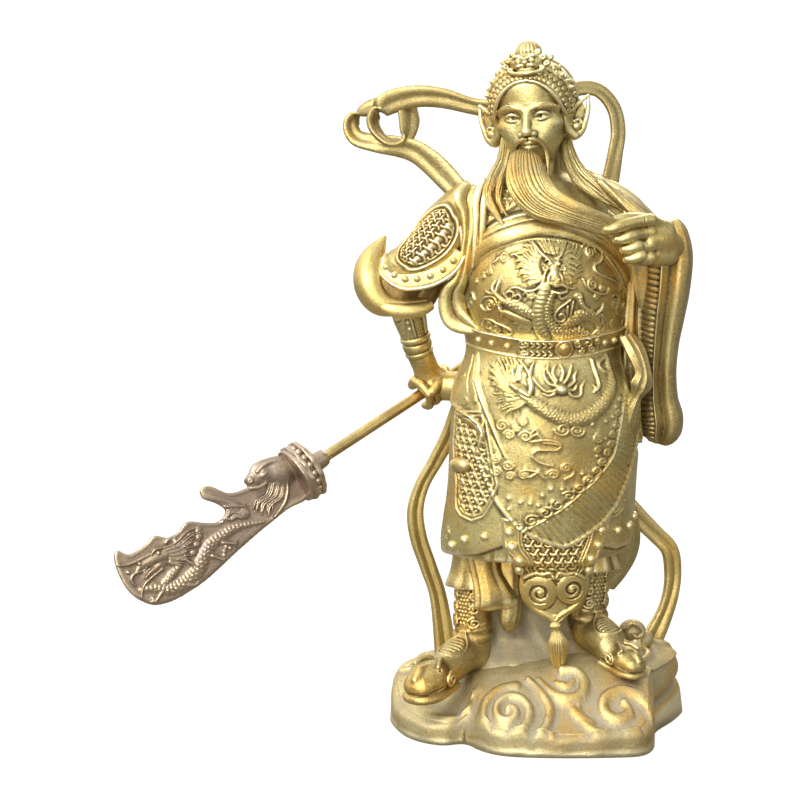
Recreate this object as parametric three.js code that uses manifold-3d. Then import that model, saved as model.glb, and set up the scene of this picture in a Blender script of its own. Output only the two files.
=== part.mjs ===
// A cast brass statue of a bearded warrior general on a cloud plinth, holding a long-handled glaive.
// Three pieces: the figure, cast in one with its plinth and ribbons; the turned glaive shaft, which passes
// through a bored hole in the fist; and the cast glaive blade, whose socket takes the end of the shaft.
// Millimetres, +Z up, the figure faces -Y, the origin is the middle of the plinth's underside.
import * as THREE from "three";
import { mergeVertices } from "three/addons/utils/BufferGeometryUtils.js";
import Module from "manifold-3d";

const wasm = await Module();
wasm.setup();

// Driving dimensions
const FIGURE_HEIGHT = 356; // soles to the top of the hair knot
const PLINTH_LENGTH = 180; // along X
const PLINTH_DEPTH = 135; // along Y
const PLINTH_CROWN = 44; // level of the cloud where the figure stands
const PLINTH_RIM = 15; // level of the cloud's front rim
const LEFT_CROWN = 30; // level of the cloud beyond the foot on the viewer's left
const LEFT_RIM = 25; // level of the front rim there
const SCROLL_RIDGE = 2.5; // half width of the ridges that curl on the cloud
const SHAFT_DIAMETER = 6.4;
const SHAFT_BELOW_FIST = 85; // from the fist to the socket's mouth
const SHAFT_ABOVE_FIST = 70; // from the fist to the butt cap
const SHAFT_CLEARANCE = 0.4; // radial, in the fist and in the socket
const BUTT_LENGTH = 20;
const BUTT_DIAMETER = 10;
const SOCKET_DEPTH = 14;
const SOCKET_WALL = 2.6;
const NUT_LENGTH = 8; // the plain neck of the socket, before the guard
const GUARD_DIAMETER = 36; // the beaded ring between the shaft and the blade
const GUARD_WIDTH = 10;
const BLADE_LENGTH = 118; // from the guard to the tip
const BLADE_BREADTH = 38; // across the dragon's head
const BLADE_THICKNESS = 5;
const MASK_THICKNESS = 12; // the cast dragon's head at the root of the blade

// The figure's tables are drawn at this height with the soles at this level, and scaled to FIGURE_HEIGHT.
const DRAWN_HEIGHT = 356;
const DRAWN_SOLE = 44;
const FIGURE_SCALE = FIGURE_HEIGHT / DRAWN_HEIGHT;

const BRASS = { color: 0xb59a4a, roughness: 0.42, metalness: 0.9 };
const SHAFT_BRASS = { color: 0xa8893c, roughness: 0.35, metalness: 0.95 };
const BLADE_BRASS = { color: 0x8d7a52, roughness: 0.45, metalness: 0.9 };

const radians = THREE.MathUtils.degToRad;
const degrees = THREE.MathUtils.radToDeg;
const clamp = THREE.MathUtils.clamp;
const lerp = THREE.MathUtils.lerp;
const smooth = (x) => THREE.MathUtils.smoothstep(x, 0, 1);

// Joining and cutting

const WELD = 0.03;
function solidOf(geometry) {
  const bare = geometry.clone();
  bare.deleteAttribute("normal");
  bare.deleteAttribute("uv");
  const merged = mergeVertices(bare, 1e-4);
  return new wasm.Manifold(
    new wasm.Mesh({
      numProp: 3,
      vertProperties: new Float32Array(merged.attributes.position.array),
      triVerts: new Uint32Array(merged.index.array),
      tolerance: WELD,
    }),
  );
}

// A vertex on a seam between joined forms is listed twice in the mesh, and its twin stands for it here.
function geometryOf(solid) {
  const mesh = solid.getMesh();
  const twins = new Map(Array.from(mesh.mergeFromVert, (from, i) => [from, mesh.mergeToVert[i]]));
  const index = Uint32Array.from(mesh.triVerts, (vertex) => twins.get(vertex) ?? vertex);
  const geometry = new THREE.BufferGeometry();
  geometry.setAttribute("position", new THREE.BufferAttribute(new Float32Array(mesh.vertProperties), 3));
  geometry.setIndex(new THREE.BufferAttribute(index, 1));
  return geometry;
}

const joined = (geometries) => geometries.map(solidOf).reduce((all, one) => all.add(one));

// The geometry without the small voids that overlapping folds close off: a casting is solid there.
// Each connected shell is kept when it encloses more than half of the largest one's volume.
function withoutVoids(geometry) {
  const place = geometry.attributes.position;
  const index = geometry.index.array;
  const parent = Array.from({ length: place.count }, (_, i) => i);
  const rootOf = (i) => {
    let at = i;
    while (parent[at] !== at) {
      parent[at] = parent[parent[at]];
      at = parent[at];
    }
    return at;
  };
  for (let i = 0; i < index.length; i += 3) {
    parent[rootOf(index[i + 1])] = rootOf(index[i]);
    parent[rootOf(index[i + 2])] = rootOf(index[i]);
  }
  const volumes = new Map();
  const corner = (i) => new THREE.Vector3().fromBufferAttribute(place, index[i]);
  for (let i = 0; i < index.length; i += 3) {
    const shell = rootOf(index[i]);
    const part = corner(i).dot(corner(i + 1).cross(corner(i + 2))) / 6;
    volumes.set(shell, (volumes.get(shell) ?? 0) + part);
  }
  const largest = Math.max(...volumes.values());
  const kept = [];
  for (let i = 0; i < index.length; i += 3) {
    if (volumes.get(rootOf(index[i])) > largest / 2) {
      kept.push(index[i], index[i + 1], index[i + 2]);
    }
  }
  geometry.setIndex(kept);
  return geometry;
}

// Smooth tables: each row is a list of numbers, and blend(rows, t) is the Catmull-Rom row at t from 0 to 1.

function blend(rows, t) {
  const place = clamp(t, 0, 1) * (rows.length - 1);
  const i = Math.min(Math.floor(place), rows.length - 2);
  const f = place - i;
  const [a, b, c, d] = [-1, 0, 1, 2].map((k) => rows[clamp(i + k, 0, rows.length - 1)]);
  return b.map((_, n) => {
    const cubic = 3 * (b[n] - c[n]) + d[n] - a[n];
    const square = 2 * a[n] - 5 * b[n] + 4 * c[n] - d[n];
    return b[n] + 0.5 * f * (c[n] - a[n] + f * (square + f * cubic));
  });
}

// The row at a level z of a table whose first column is z, rising.
function level(rows, z) {
  const last = rows.length - 1;
  if (z >= rows[last][0]) {
    return rows[last];
  }
  const i = Math.max(rows.findIndex((row) => row[0] > z) - 1, 0);
  return blend(rows, (i + (z - rows[i][0]) / (rows[i + 1][0] - rows[i][0])) / last);
}

// Every vertex of a geometry moved by a function of its place.
function moved(geometry, move) {
  const p = geometry.attributes.position;
  for (let i = 0; i < p.count; i++) {
    p.setXYZ(i, ...move(p.getX(i), p.getY(i), p.getZ(i)));
  }
  return geometry;
}

// A strand along rows of [x, y, z, half width, half thickness, across x, y, z]: limbs, ribbons, locks, fingers.
// ripple(t, angle) adds to the section's radius as a share of it.
function strand(rows, sides = 8, steps = 8, ripple = () => 0) {
  const path = (t) => new THREE.Vector3(...blend(rows, t));
  return moved(new THREE.CylinderGeometry(1, 1, 1, sides, steps), (x, y, z) => {
    const t = y + 0.5;
    const [, , , width, thickness, ax, ay, az] = blend(rows, t);
    const along = path(Math.min(t + 0.01, 1)).sub(path(Math.max(t - 0.01, 0))).normalize();
    const across = new THREE.Vector3(ax, ay, az);
    across.addScaledVector(along, -across.dot(along)).normalize();
    const through = new THREE.Vector3().crossVectors(across, along);
    const swell = 1 + ripple(t, Math.atan2(x, z));
    return path(t)
      .addScaledVector(across, x * width * swell)
      .addScaledVector(through, z * thickness * swell)
      .toArray();
  });
}

function ellipsoid([x, y, z], [rx, ry, rz], wide = 10, high = 7) {
  return new THREE.SphereGeometry(1, wide, high)
    .rotateX(Math.PI / 2)
    .scale(rx, ry, rz)
    .translate(x, y, z);
}

// The cloud plinth

// Its outline in plan, anticlockwise from the viewer's right, as shares of its half length and half depth.
const OUTLINE = [
  [1, 0.23], [0.91, 0.64], [0.67, 0.91], [0.33, 0.85], [0.01, 1], [-0.36, 0.87], [-0.69, 0.91],
  [-0.93, 0.61], [-1, 0.14], [-0.98, -0.16], [-0.87, -0.51], [-0.67, -0.69], [-0.52, -0.63],
  [-0.43, -0.81], [-0.27, -0.955], [0.07, -1], [0.42, -0.985], [0.6, -0.94], [0.69, -0.72],
  [0.73, -0.36], [0.87, -0.07],
];
const PLINTH_MIDDLE = [2, -5.5];
const EDGE_DROP = 0.34; // how far the cloud rounds down at its edge, as a share of its level
const SLOPE_START = -1.07; // where the front slope starts and how far it runs, in half depths
const SLOPE_RUN = 0.89;
const LEAN_START = -0.9; // where the cloud starts to rise from the viewer's left, in half lengths
const LEAN_RUN = 1.2;

const outlineCurve = new THREE.CatmullRomCurve3(
  OUTLINE.map(([x, y]) => {
    const px = PLINTH_MIDDLE[0] + (x * PLINTH_LENGTH) / 2;
    const py = PLINTH_MIDDLE[1] + (y * PLINTH_DEPTH) / 2;
    return new THREE.Vector3(px, py, 0);
  }),
  true,
);

function plinthTop(x, y, share = 0) {
  const along = ((x - PLINTH_MIDDLE[0]) * 2) / PLINTH_LENGTH;
  const deep = ((y - PLINTH_MIDDLE[1]) * 2) / PLINTH_DEPTH;
  const lean = smooth((along - LEAN_START) / LEAN_RUN);
  const crown = lerp(LEFT_CROWN, PLINTH_CROWN, lean);
  const rim = lerp(LEFT_RIM, PLINTH_RIM, smooth((along - LEAN_START + 0.2) / 0.3));
  const rise = smooth((deep - SLOPE_START) / SLOPE_RUN);
  return lerp(rim, crown, rise) * (1 - EDGE_DROP * share ** 6);
}

function plinthBody() {
  const around = 32;
  const rings = 4;
  const wall = 2; // rows of the side wall
  const outline = outlineCurve.getSpacedPoints(around).slice(0, around);
  return moved(new THREE.CylinderGeometry(1, 1, 1, around, rings + wall), (x, y, z) => {
    const turn = (Math.atan2(x, z) / (2 * Math.PI) + 1) % 1;
    const edge = outline[Math.round(turn * around) % around];
    const row = Math.round((y + 0.5) * (rings + wall));
    const share = Math.hypot(x, z) < 0.5 ? 0 : clamp((rings + wall - row + 0.35) / (rings + 0.35), 0, 1);
    const px = lerp(PLINTH_MIDDLE[0], edge.x, share);
    const py = lerp(PLINTH_MIDDLE[1], edge.y, share);
    const top = plinthTop(px, py, share);
    return [px, py, row >= wall ? top : (top * row) / wall];
  });
}

// The scrolls on the cloud: middle x and y in half lengths and half depths, outer radius, turns, start
// angle and direction of each.
const SCROLLS = [
  [-0.26, -0.66, 17, 1.6, 200, 1],
  [0.48, -0.67, 18, 1.5, 20, -1],
  [0.12, -0.42, 12, 1.2, 30, -1],
  [0.76, 0, 12, 1.2, 60, -1],
  [-0.73, -0.4, 16, 1.1, 190, 1],
  [-0.6, 0.6, 16, 1.1, 120, 1],
  [0.55, 0.62, 16, 1.1, 80, -1],
];

function scroll([along, deep, radius, turns, start, direction]) {
  const mx = PLINTH_MIDDLE[0] + (along * PLINTH_LENGTH) / 2;
  const my = PLINTH_MIDDLE[1] + (deep * PLINTH_DEPTH) / 2;
  const count = Math.ceil(7 * turns) + 3;
  const rows = Array.from({ length: count }, (_, i) => {
    const t = i / (count - 1);
    const angle = radians(start) + direction * 2 * Math.PI * turns * t;
    const reach = radius * (1 - 0.86 * t);
    const x = mx + reach * Math.cos(angle);
    const y = my + reach * Math.sin(angle);
    const half = SCROLL_RIDGE * (1 - 0.35 * t);
    return [x, y, plinthTop(x, y), half, half, Math.cos(angle), Math.sin(angle), 0];
  });
  return strand(rows, 3, Math.ceil(6 * turns));
}

// The drawn level of the cloud under a drawn point of the figure.
function ground(x, y) {
  return DRAWN_SOLE + (plinthTop(x * FIGURE_SCALE, y * FIGURE_SCALE) - PLINTH_CROWN) / FIGURE_SCALE;
}

// The robed body: level, middle x and y, half width and half depth.
const BODY = [
  [104, -1, -2, 55, 38],
  [125, -0.5, -2, 55, 40],
  [150, 1.5, -2, 54, 42],
  [175, 3, -2, 53.5, 42.5],
  [200, 3.5, -2, 50.5, 41],
  [213, 3, -1.5, 46.5, 39],
  [226, 2.5, -1, 43.5, 37.5],
  [238, 2.5, -4, 45, 39.5],
  [252, 2.5, -6, 47, 43],
  [268, 3, -6, 46.5, 42.5],
  [284, 2, -4, 44.5, 37],
  [298, 0, -2, 43, 31],
  [310, -1, 0, 41, 26],
  [319, -3, 2, 34, 20],
  [326, -5, 2, 20, 15],
  [334, -6, 0, 13, 13],
  [346, -6, 0, 12, 12],
];

// A point on the body at an angle from the front, in degrees, positive to the viewer's right, raised by lift.
function onBody(angle, z, lift = 0) {
  const [, mx, my, a, b] = level(BODY, z);
  const turn = radians(angle);
  return [mx + (a + lift) * Math.sin(turn), my - (b + lift) * Math.cos(turn), z];
}

// The upright folds of the skirt, at the sides and the back.
function foldAt(angle, z) {
  const side = smooth((Math.abs(angle) - 70) / 40) * smooth((215 - z) / 60);
  return 2.2 * side * Math.cos(radians(9 * angle));
}

// A closed ring of the body between two levels, raised by lift(angle, level).
function bodyRing(bottom, top, around, rows, lift) {
  return moved(new THREE.CylinderGeometry(1, 1, 1, around, rows), (x, y, z) => {
    const height = lerp(bottom, top, y + 0.5);
    const [, mx, my] = level(BODY, height);
    const angle = degrees(Math.atan2(x, z));
    return Math.hypot(x, z) < 0.5 ? [mx, my, height] : onBody(angle, height, lift(angle, height));
  });
}

// A plate wrapped on the body: rows of [level, left angle, right angle], from the bottom up.
function wrap(rows, lift, thickness, across, up) {
  return moved(new THREE.BoxGeometry(1, 1, 1, across, 1, up), (x, y, z) => {
    const [height, left, right] = blend(rows, z + 0.5);
    return onBody(lerp(left, right, x + 0.5), height, lift - thickness * (y + 0.5));
  });
}

const APRON = [
  [112, 8, 12], [118, -4, 20], [126, -16, 31], [138, -31, 43], [152, -39, 51], [165, -46, 56],
  [176, -41, 60], [184, -40, 66], [190, -52, 80], [197, -62, 92], [209, -66, 96], [222, -66, 96],
];
const LEFT_TASSET = [[103.5, -62, -40], [108, -78, -24], [125, -78, -20], [150, -78, -20], [190, -76, -24]];
const RIGHT_TASSET = [[109.5, 48, 66], [113, 40, 78], [130, 36, 84], [160, 40, 88]];

// A band that lies on the body along rows of [angle, level], as wide across its own run as half says.
function band(rows, half, thickness, lift, sides = 6, steps = 12, ripple = undefined) {
  const stations = rows.map(([angle, z], i) => {
    const before = new THREE.Vector3(...onBody(...rows[Math.max(i - 1, 0)]));
    const after = new THREE.Vector3(...onBody(...rows[Math.min(i + 1, rows.length - 1)]));
    const outward = new THREE.Vector3(Math.sin(radians(angle)), -Math.cos(radians(angle)), 0);
    const across = after.sub(before).cross(outward).normalize();
    const width = Array.isArray(half) ? half[i] : half;
    return [...onBody(angle, z, lift), width, thickness, ...across.toArray()];
  });
  return strand(stations, sides, steps, ripple);
}

const BELT_LOW = 221.5;
const BELT_HIGH = 233;
const BELT_LIFT = 4.6;

function belt() {
  const middle = (BELT_LOW + BELT_HIGH) / 2;
  const ring = bodyRing(BELT_LOW, BELT_HIGH, 24, 1, () => BELT_LIFT);
  const boss = ellipsoid(onBody(10, middle, BELT_LIFT), [5, 2.6, 5], 8, 4);
  return [ring, boss];
}

// The coiling dragon on the belly plate: its coils, its head and its mane of flames.
function bellyDragon() {
  const coil = band(
    [[1, 273], [-1, 263], [-7, 252], [-9, 243], [0, 236], [14, 239], [27, 246], [40, 239]],
    [3.4, 3.8, 4.2, 4.4, 4.2, 3.6, 3, 1.6],
    2.4,
    0.8,
    4,
    10,
  );
  const head = ellipsoid(onBody(1, 275, 1.6), [4, 3.2, 6], 6, 4);
  const flames = [-56, -18, 18, 56].map((lean) => {
    const run = 13 * Math.sin(radians(lean));
    const rise = 10 * Math.cos(radians(lean));
    return band([[1 + run * 0.3, 277], [1 + run * 1.4, 277 + rise]], [2, 0.5], 1.4, 0.8, 3, 1);
  });
  return [coil, head, ...flames];
}

// The dragon that rings the apron, with its mane and its pearl.
function apronDragon() {
  const coil = band(
    [[-15, 201], [-10, 197], [-3, 194], [4, 190], [11, 188], [20, 189], [27, 194], [36, 202], [43, 211], [44, 220]],
    [3, 3.2, 3.4, 3.6, 3.6, 3.4, 3.2, 2.8, 2.4, 1.8],
    2,
    4.4,
    4,
    9,
  );
  const head = ellipsoid(onBody(-19, 205, 4.6), [5.5, 2.4, 4.5], 6, 4);
  const mane = [[-37, 218], [-36, 210], [-34, 202], [-28, 194]].map((tip) =>
    band([[-20, 206], tip], [2.2, 0.6], 1.5, 4.4, 3, 1),
  );
  const pearl = ellipsoid(onBody(5, 205, 4.4), [3, 2.4, 3], 6, 4);
  return [coil, head, ...mane, pearl];
}

// Inner robe, trousers and boots

function lowerRobe() {
  const core = [
    [34, -1, 12, 50, 28], [44, -1, 12, 42, 22], [58, -2, 12, 36, 18], [90, 0, 9, 37, 20], [118, 0, 4, 44, 26],
  ];
  const wall = moved(new THREE.CylinderGeometry(1, 1, 1, 12, 3), (x, y, z) => {
    const [height, mx, my, a, b] = blend(core, y + 0.5);
    return [mx + a * x, my - b * z, height];
  });
  const tail = strand(
    [[47, 10, 126, 13, 9, 1, 0, 0], [49, 10, 106, 12, 8, 1, 0, 0], [46, 10, 90, 9, 7, 1, 0, 0], [43, 9, 78, 4, 5, 1, 0, 0]],
    6,
    4,
  );
  const fold = strand(
    [
      [-30, -8, 118, 11, 5, 1, 0.3, 0], [-26, -12, 92, 9, 4, 1, 0.3, 0], [-21, -12, 70, 8, 4, 1, 0.3, 0],
      [-18, -10, 50, 6, 4, 1, 0, 0],
    ],
    5,
    3,
  );
  return [wall, tail, fold];
}

// A leg: a bell-shaped trouser cuff, a boot shaft and a foot whose toe is a dragon's head.
function leg([ax, ay], [tx, ty], [kx, ky], hem) {
  const sole = ground(ax, ay);
  const toeSole = ground(tx, ty);
  const length = Math.hypot(tx - ax, ty - ay);
  const side = [-(ty - ay) / length, (tx - ax) / length, 0];
  const along = (t, lift) => [lerp(ax, tx, t), lerp(ay, ty, t), lerp(sole, toeSole, t) + lift];
  const round = [1, 0, 0];
  const cuff = strand(
    [[kx, ky, hem + 28, 13, 13, ...round], [kx, ky, hem + 13, 13, 13, ...round], [kx, ky, hem, 16, 15, ...round]],
    8,
    2,
  );
  const shaft = strand(
    [
      [kx, ky, hem + 12, 11, 11, ...round], [ax, ay, sole + 22, 10.5, 10.5, ...round],
      [ax, ay, sole + 16, 13, 13, ...round], [ax, ay, sole + 5, 11, 11, ...round],
    ],
    8,
    3,
  );
  const foot = strand(
    [
      [...along(-0.22, 3), 7, 6, ...side], [...along(0, 5), 12, 11, ...side], [...along(0.45, 6), 12.5, 11, ...side],
      [...along(0.8, 5), 11, 9, ...side], [...along(1, 5), 9.5, 8, ...side], [...along(1.14, 4), 5, 5, ...side],
    ],
    6,
    5,
  );
  const snout = ellipsoid(along(0.95, 12), [7, 7, 6], 6, 4);
  const eyes = [-1, 1].map((hand) => {
    const [ex, ey, ez] = along(0.86, 16);
    return ellipsoid([ex + hand * 5 * side[0], ey + hand * 5 * side[1], ez], [2.8, 2.8, 2.8], 5, 3);
  });
  return [cuff, shaft, foot, snout, ...eyes];
}

// The front tasset, which hangs between the legs and ends in a cloud head and a tassel.

const TASSET_DEPTH = [[44, -27], [68, -29], [92, -33], [112, -38], [132, -43]];
const TASSET_MIDDLE = 7;
const tassetFront = (z) => level(TASSET_DEPTH, z)[1];

function frontTasset() {
  const rows = [
    [66, 6, 10], [71, -1, 16], [78, -10, 22], [87, -13.5, 26], [94, -13, 25.5], [99, -16.5, 28], [108, -20, 32],
    [118, -25, 35], [130, -25.5, 37],
  ];
  const plate = moved(new THREE.BoxGeometry(1, 1, 1, 4, 1, 9), (x, y, z) => {
    const [height, left, right] = blend(rows, z + 0.5);
    const px = lerp(left, right, x + 0.5);
    return [px, tassetFront(height) + 7 * (y + 0.5) + 0.004 * (px - TASSET_MIDDLE) ** 2, height];
  });
  const curls = [-1, 1].map((hand) => {
    const rows = Array.from({ length: 10 }, (_, i) => {
      const t = i / 9;
      const angle = radians(-60 + 480 * t);
      const reach = 8.6 * (1 - 0.85 * t);
      const x = TASSET_MIDDLE + hand * (9.6 - reach * Math.cos(angle));
      const z = 86.5 + reach * Math.sin(angle) * 0.9;
      return [x, tassetFront(z) - 0.7, z, 2.1 - t, 1.8, Math.cos(angle), 0, Math.sin(angle)];
    });
    return strand(rows, 3, 8);
  });
  const rivets = [-1, 1].flatMap((hand) =>
    [104, 119].map((z, i) => {
      const x = TASSET_MIDDLE + hand * (21.6 + 5 * i);
      return ellipsoid([x, tassetFront(z) + 1.4, z], [2, 1.8, 2], 5, 3);
    }),
  );
  const tassel = strand(
    [
      [8, -31, 70, 2.2, 2.2, 1, 0, 0], [8.4, -31, 64, 2.8, 2.8, 1, 0, 0], [9.6, -30.5, 55, 5.4, 4.4, 1, 0, 0],
      [10.3, -29.5, 47, 5, 4.2, 1, 0, 0], [11, -28, 36, 2.4, 2.4, 1, 0, 0],
    ],
    6,
    5,
  );
  return [plate, ...curls, ...rivets, tassel];
}

// Chest, lapels and shoulders

function chest() {
  const roll = band(
    [[-78, 262], [-62, 276], [-33, 295], [-8, 302], [24, 297], [56, 283], [76, 266]],
    [3, 4.5, 5.5, 6, 5.5, 4.5, 3],
    4,
    1.5,
    4,
    8,
  );
  const lapel = strand(
    [
      [-26, -17, 322, 4, 4, 1, 0, 0.4], [-41, -17, 307, 6, 5, 1, 0, 0.2], [-44, -17, 290, 6, 5, 1, 0, 0],
      [-48, -14, 273, 6, 5, 1, 0, -0.2], [-52, -11, 258, 7, 5, 1, 0, -0.2], [-50, -11, 246, 6, 5, 1, 0, 0.4],
      [-42, -14, 240, 3, 4, 1, 0, 1],
    ],
    5,
    7,
  );
  return [roll, lapel];
}

// The arm on the viewer's left, with its pauldron, flared sleeve, vambrace and fist.

const OUT = [0.66, 0, -0.75]; // across the raised upper arm, seen from the front
const FIST = [-61.9, 15, 199.5]; // where the shaft passes through the fist
const SHAFT_AIM = new THREE.Vector3(0.778, 0.438, 0.45).normalize(); // from the blade to the butt

function leftArm() {
  const pauldron = strand(
    [
      [-42, 0, 313, 9, 13, ...OUT], [-51, -1, 300, 14, 17, ...OUT], [-59.5, -2, 288, 15.5, 18, ...OUT],
      [-68.5, -2, 279.5, 13.5, 17, ...OUT], [-78, -1, 272.5, 12, 15.5, ...OUT], [-88, 0, 270, 10.5, 13, ...OUT],
      [-94, 0, 272, 7, 8, ...OUT],
    ],
    8,
    5,
  );
  const upper = strand(
    [[-60, 1, 284, 13, 12, ...OUT], [-74, 2, 267, 14, 12, 1, 0, -0.3], [-79, 1, 250, 12, 11, 1, 0, 0]],
    8,
    2,
  );
  const flare = strand(
    [
      [-90.5, 4, 288.5, 1.5, 2, 1, 0, 0.2], [-97, 3, 279, 6, 8, 1, 0, 0.5], [-100.5, 2, 267, 8.5, 13, 1, 0, 0.1],
      [-98, 1, 256, 9, 14, 1, 0, -0.6], [-89, 0, 250, 7, 14, 0.3, 0, -1], [-77, 0, 249, 5.5, 13, 0, 0, -1],
      [-66, 1, 252, 4, 10, 0, 0, -1],
    ],
    6,
    7,
  );
  const forearm = strand(
    [
      [-78.5, 1, 252, 10.5, 10.5, 1, 0, 0.3], [-76, 2, 240, 10, 10, 1, 0, 0.3], [-72.5, 5, 229, 7.4, 7.4, 1, 0, 0.4],
      [-71, 6, 224, 9.2, 9.2, 1, 0, 0.4], [-69, 8, 218, 8.6, 8.6, 1, 0, 0.4], [-65, 12, 207, 7.6, 7.6, 1, 0, 0.4],
    ],
    8,
    5,
  );
  return [pauldron, upper, flare, forearm];
}

function leftFist() {
  const [fx, fy, fz] = FIST;
  const palm = ellipsoid([fx, fy - 1, fz + 2], [9.5, 11, 12.5], 8, 5);
  const fingers = [0, 1, 2, 3].map((i) => {
    const [x, y, z] = [fx - 9 + 3.4 * i, fy - 9 - 0.6 * i, fz + 6 - 2.6 * i];
    return strand(
      [[x - 1, y + 5, z + 5, 3, 3, 1, 0, 0], [x, y, z, 3, 3, 1, 0, 0], [x + 3.5, y + 1, z - 7, 2.6, 2.6, 1, 0, 0]],
      4,
      2,
    );
  });
  const hip = strand(
    [[fx + 3, fy - 2, fz + 1, 9, 8, 0, 0, 1], [-50, 9, 200, 10, 8, 0, 0, 1], [-40, 6, 200, 9, 9, 0, 0, 1]],
    6,
    2,
  );
  return [palm, ...fingers, hip];
}

// The arm on the viewer's right: the sleeve hangs from the wrist, and the hand gathers the beard.

// The groove down the sleeve's front where its edge folds back and shows the ribbed lining.
function sleeveFold(t, angle) {
  return -0.26 * Math.exp(-(((angle + 0.45) / 0.4) ** 2)) * smooth(t * 4);
}

function rightArm() {
  const shoulder = strand(
    [
      [26, 4, 313, 13, 15, 0, 0, 1], [44, 2, 304, 13, 15, 0.3, 0, 1], [58, 0, 291, 12, 14, 0.7, 0, 1],
      [68, -6, 277, 12, 14, 1, 0, 0.4],
    ],
    8,
    4,
  );
  const drape = strand(
    [[46, 0, 300, 12, 13, 1, 0, 0], [54, 0, 270, 13, 14, 1, 0, 0], [54, 1, 235, 12, 14, 1, 0, 0], [54, 2, 196, 10, 12, 1, 0, 0]],
    8,
    3,
  );
  const sleeve = strand(
    [
      [70, -20, 298, 6, 8, 1, 0, 0], [71, -20, 290, 11, 14, 1, 0, 0], [70.5, -19, 278, 15, 17, 1, 0, 0],
      [69.5, -18, 262, 15, 18, 1, 0, 0], [68, -16, 245, 14, 17.5, 1, 0, 0], [67, -14, 229, 12, 17, 1, 0, 0],
      [66.5, -13, 212, 11.5, 16, 1, 0, 0], [67.5, -12, 196, 12, 16, 1, 0, 0], [69.5, -12, 183, 13.5, 16, 1, 0, 0],
      [69, -12, 174, 11, 13, 1, 0, 0], [68, -12, 169.5, 5, 6, 1, 0, 0],
    ],
    8,
    8,
    sleeveFold,
  );
  const sash = strand(
    [[48, -24, 236, 6, 5, 1, 0.3, 0.4], [53, -26, 222, 7, 6, 1, 0.3, 0], [53, -26, 208, 6, 5, 1, 0.3, -0.4], [52, -24, 194, 5, 4, 1, 0.3, 0]],
    6,
    4,
  );
  const hand = strand(
    [
      [77, -28, 282, 8, 8, 0, 0.3, 1], [69, -36, 287, 10.5, 7.5, 0, 0.2, 1], [60, -43, 289.5, 12, 6, 0.1, 0, 1],
      [54, -45, 289, 11, 5, 0.1, 0, 1],
    ],
    7,
    3,
  );
  const fingers = [0, 1, 2, 3].map((i) => {
    const knuckle = 299 - 6.8 * i;
    const tip = 294 - 5.4 * i;
    const reach = 31 + [0, 6, 10, 12][i];
    return strand(
      [
        [57, -45, knuckle, 3.2, 3.2, 0, 0, 1], [49, -50, knuckle, 3.3, 3.2, 0, 0, 1],
        [reach + 6, -54, tip + 2, 3, 3, 0, 0, 1], [reach + 1, -52, tip, 2.2, 2.2, 0, 0, 1],
      ],
      4,
      3,
    );
  });
  return [shoulder, drape, sleeve, sash, hand, ...fingers];
}

// Head, helmet, hair and beard

const HEAD = [-5.5, -4, 357];
const HEAD_TURN = -10; // degrees to the viewer's left

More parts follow.
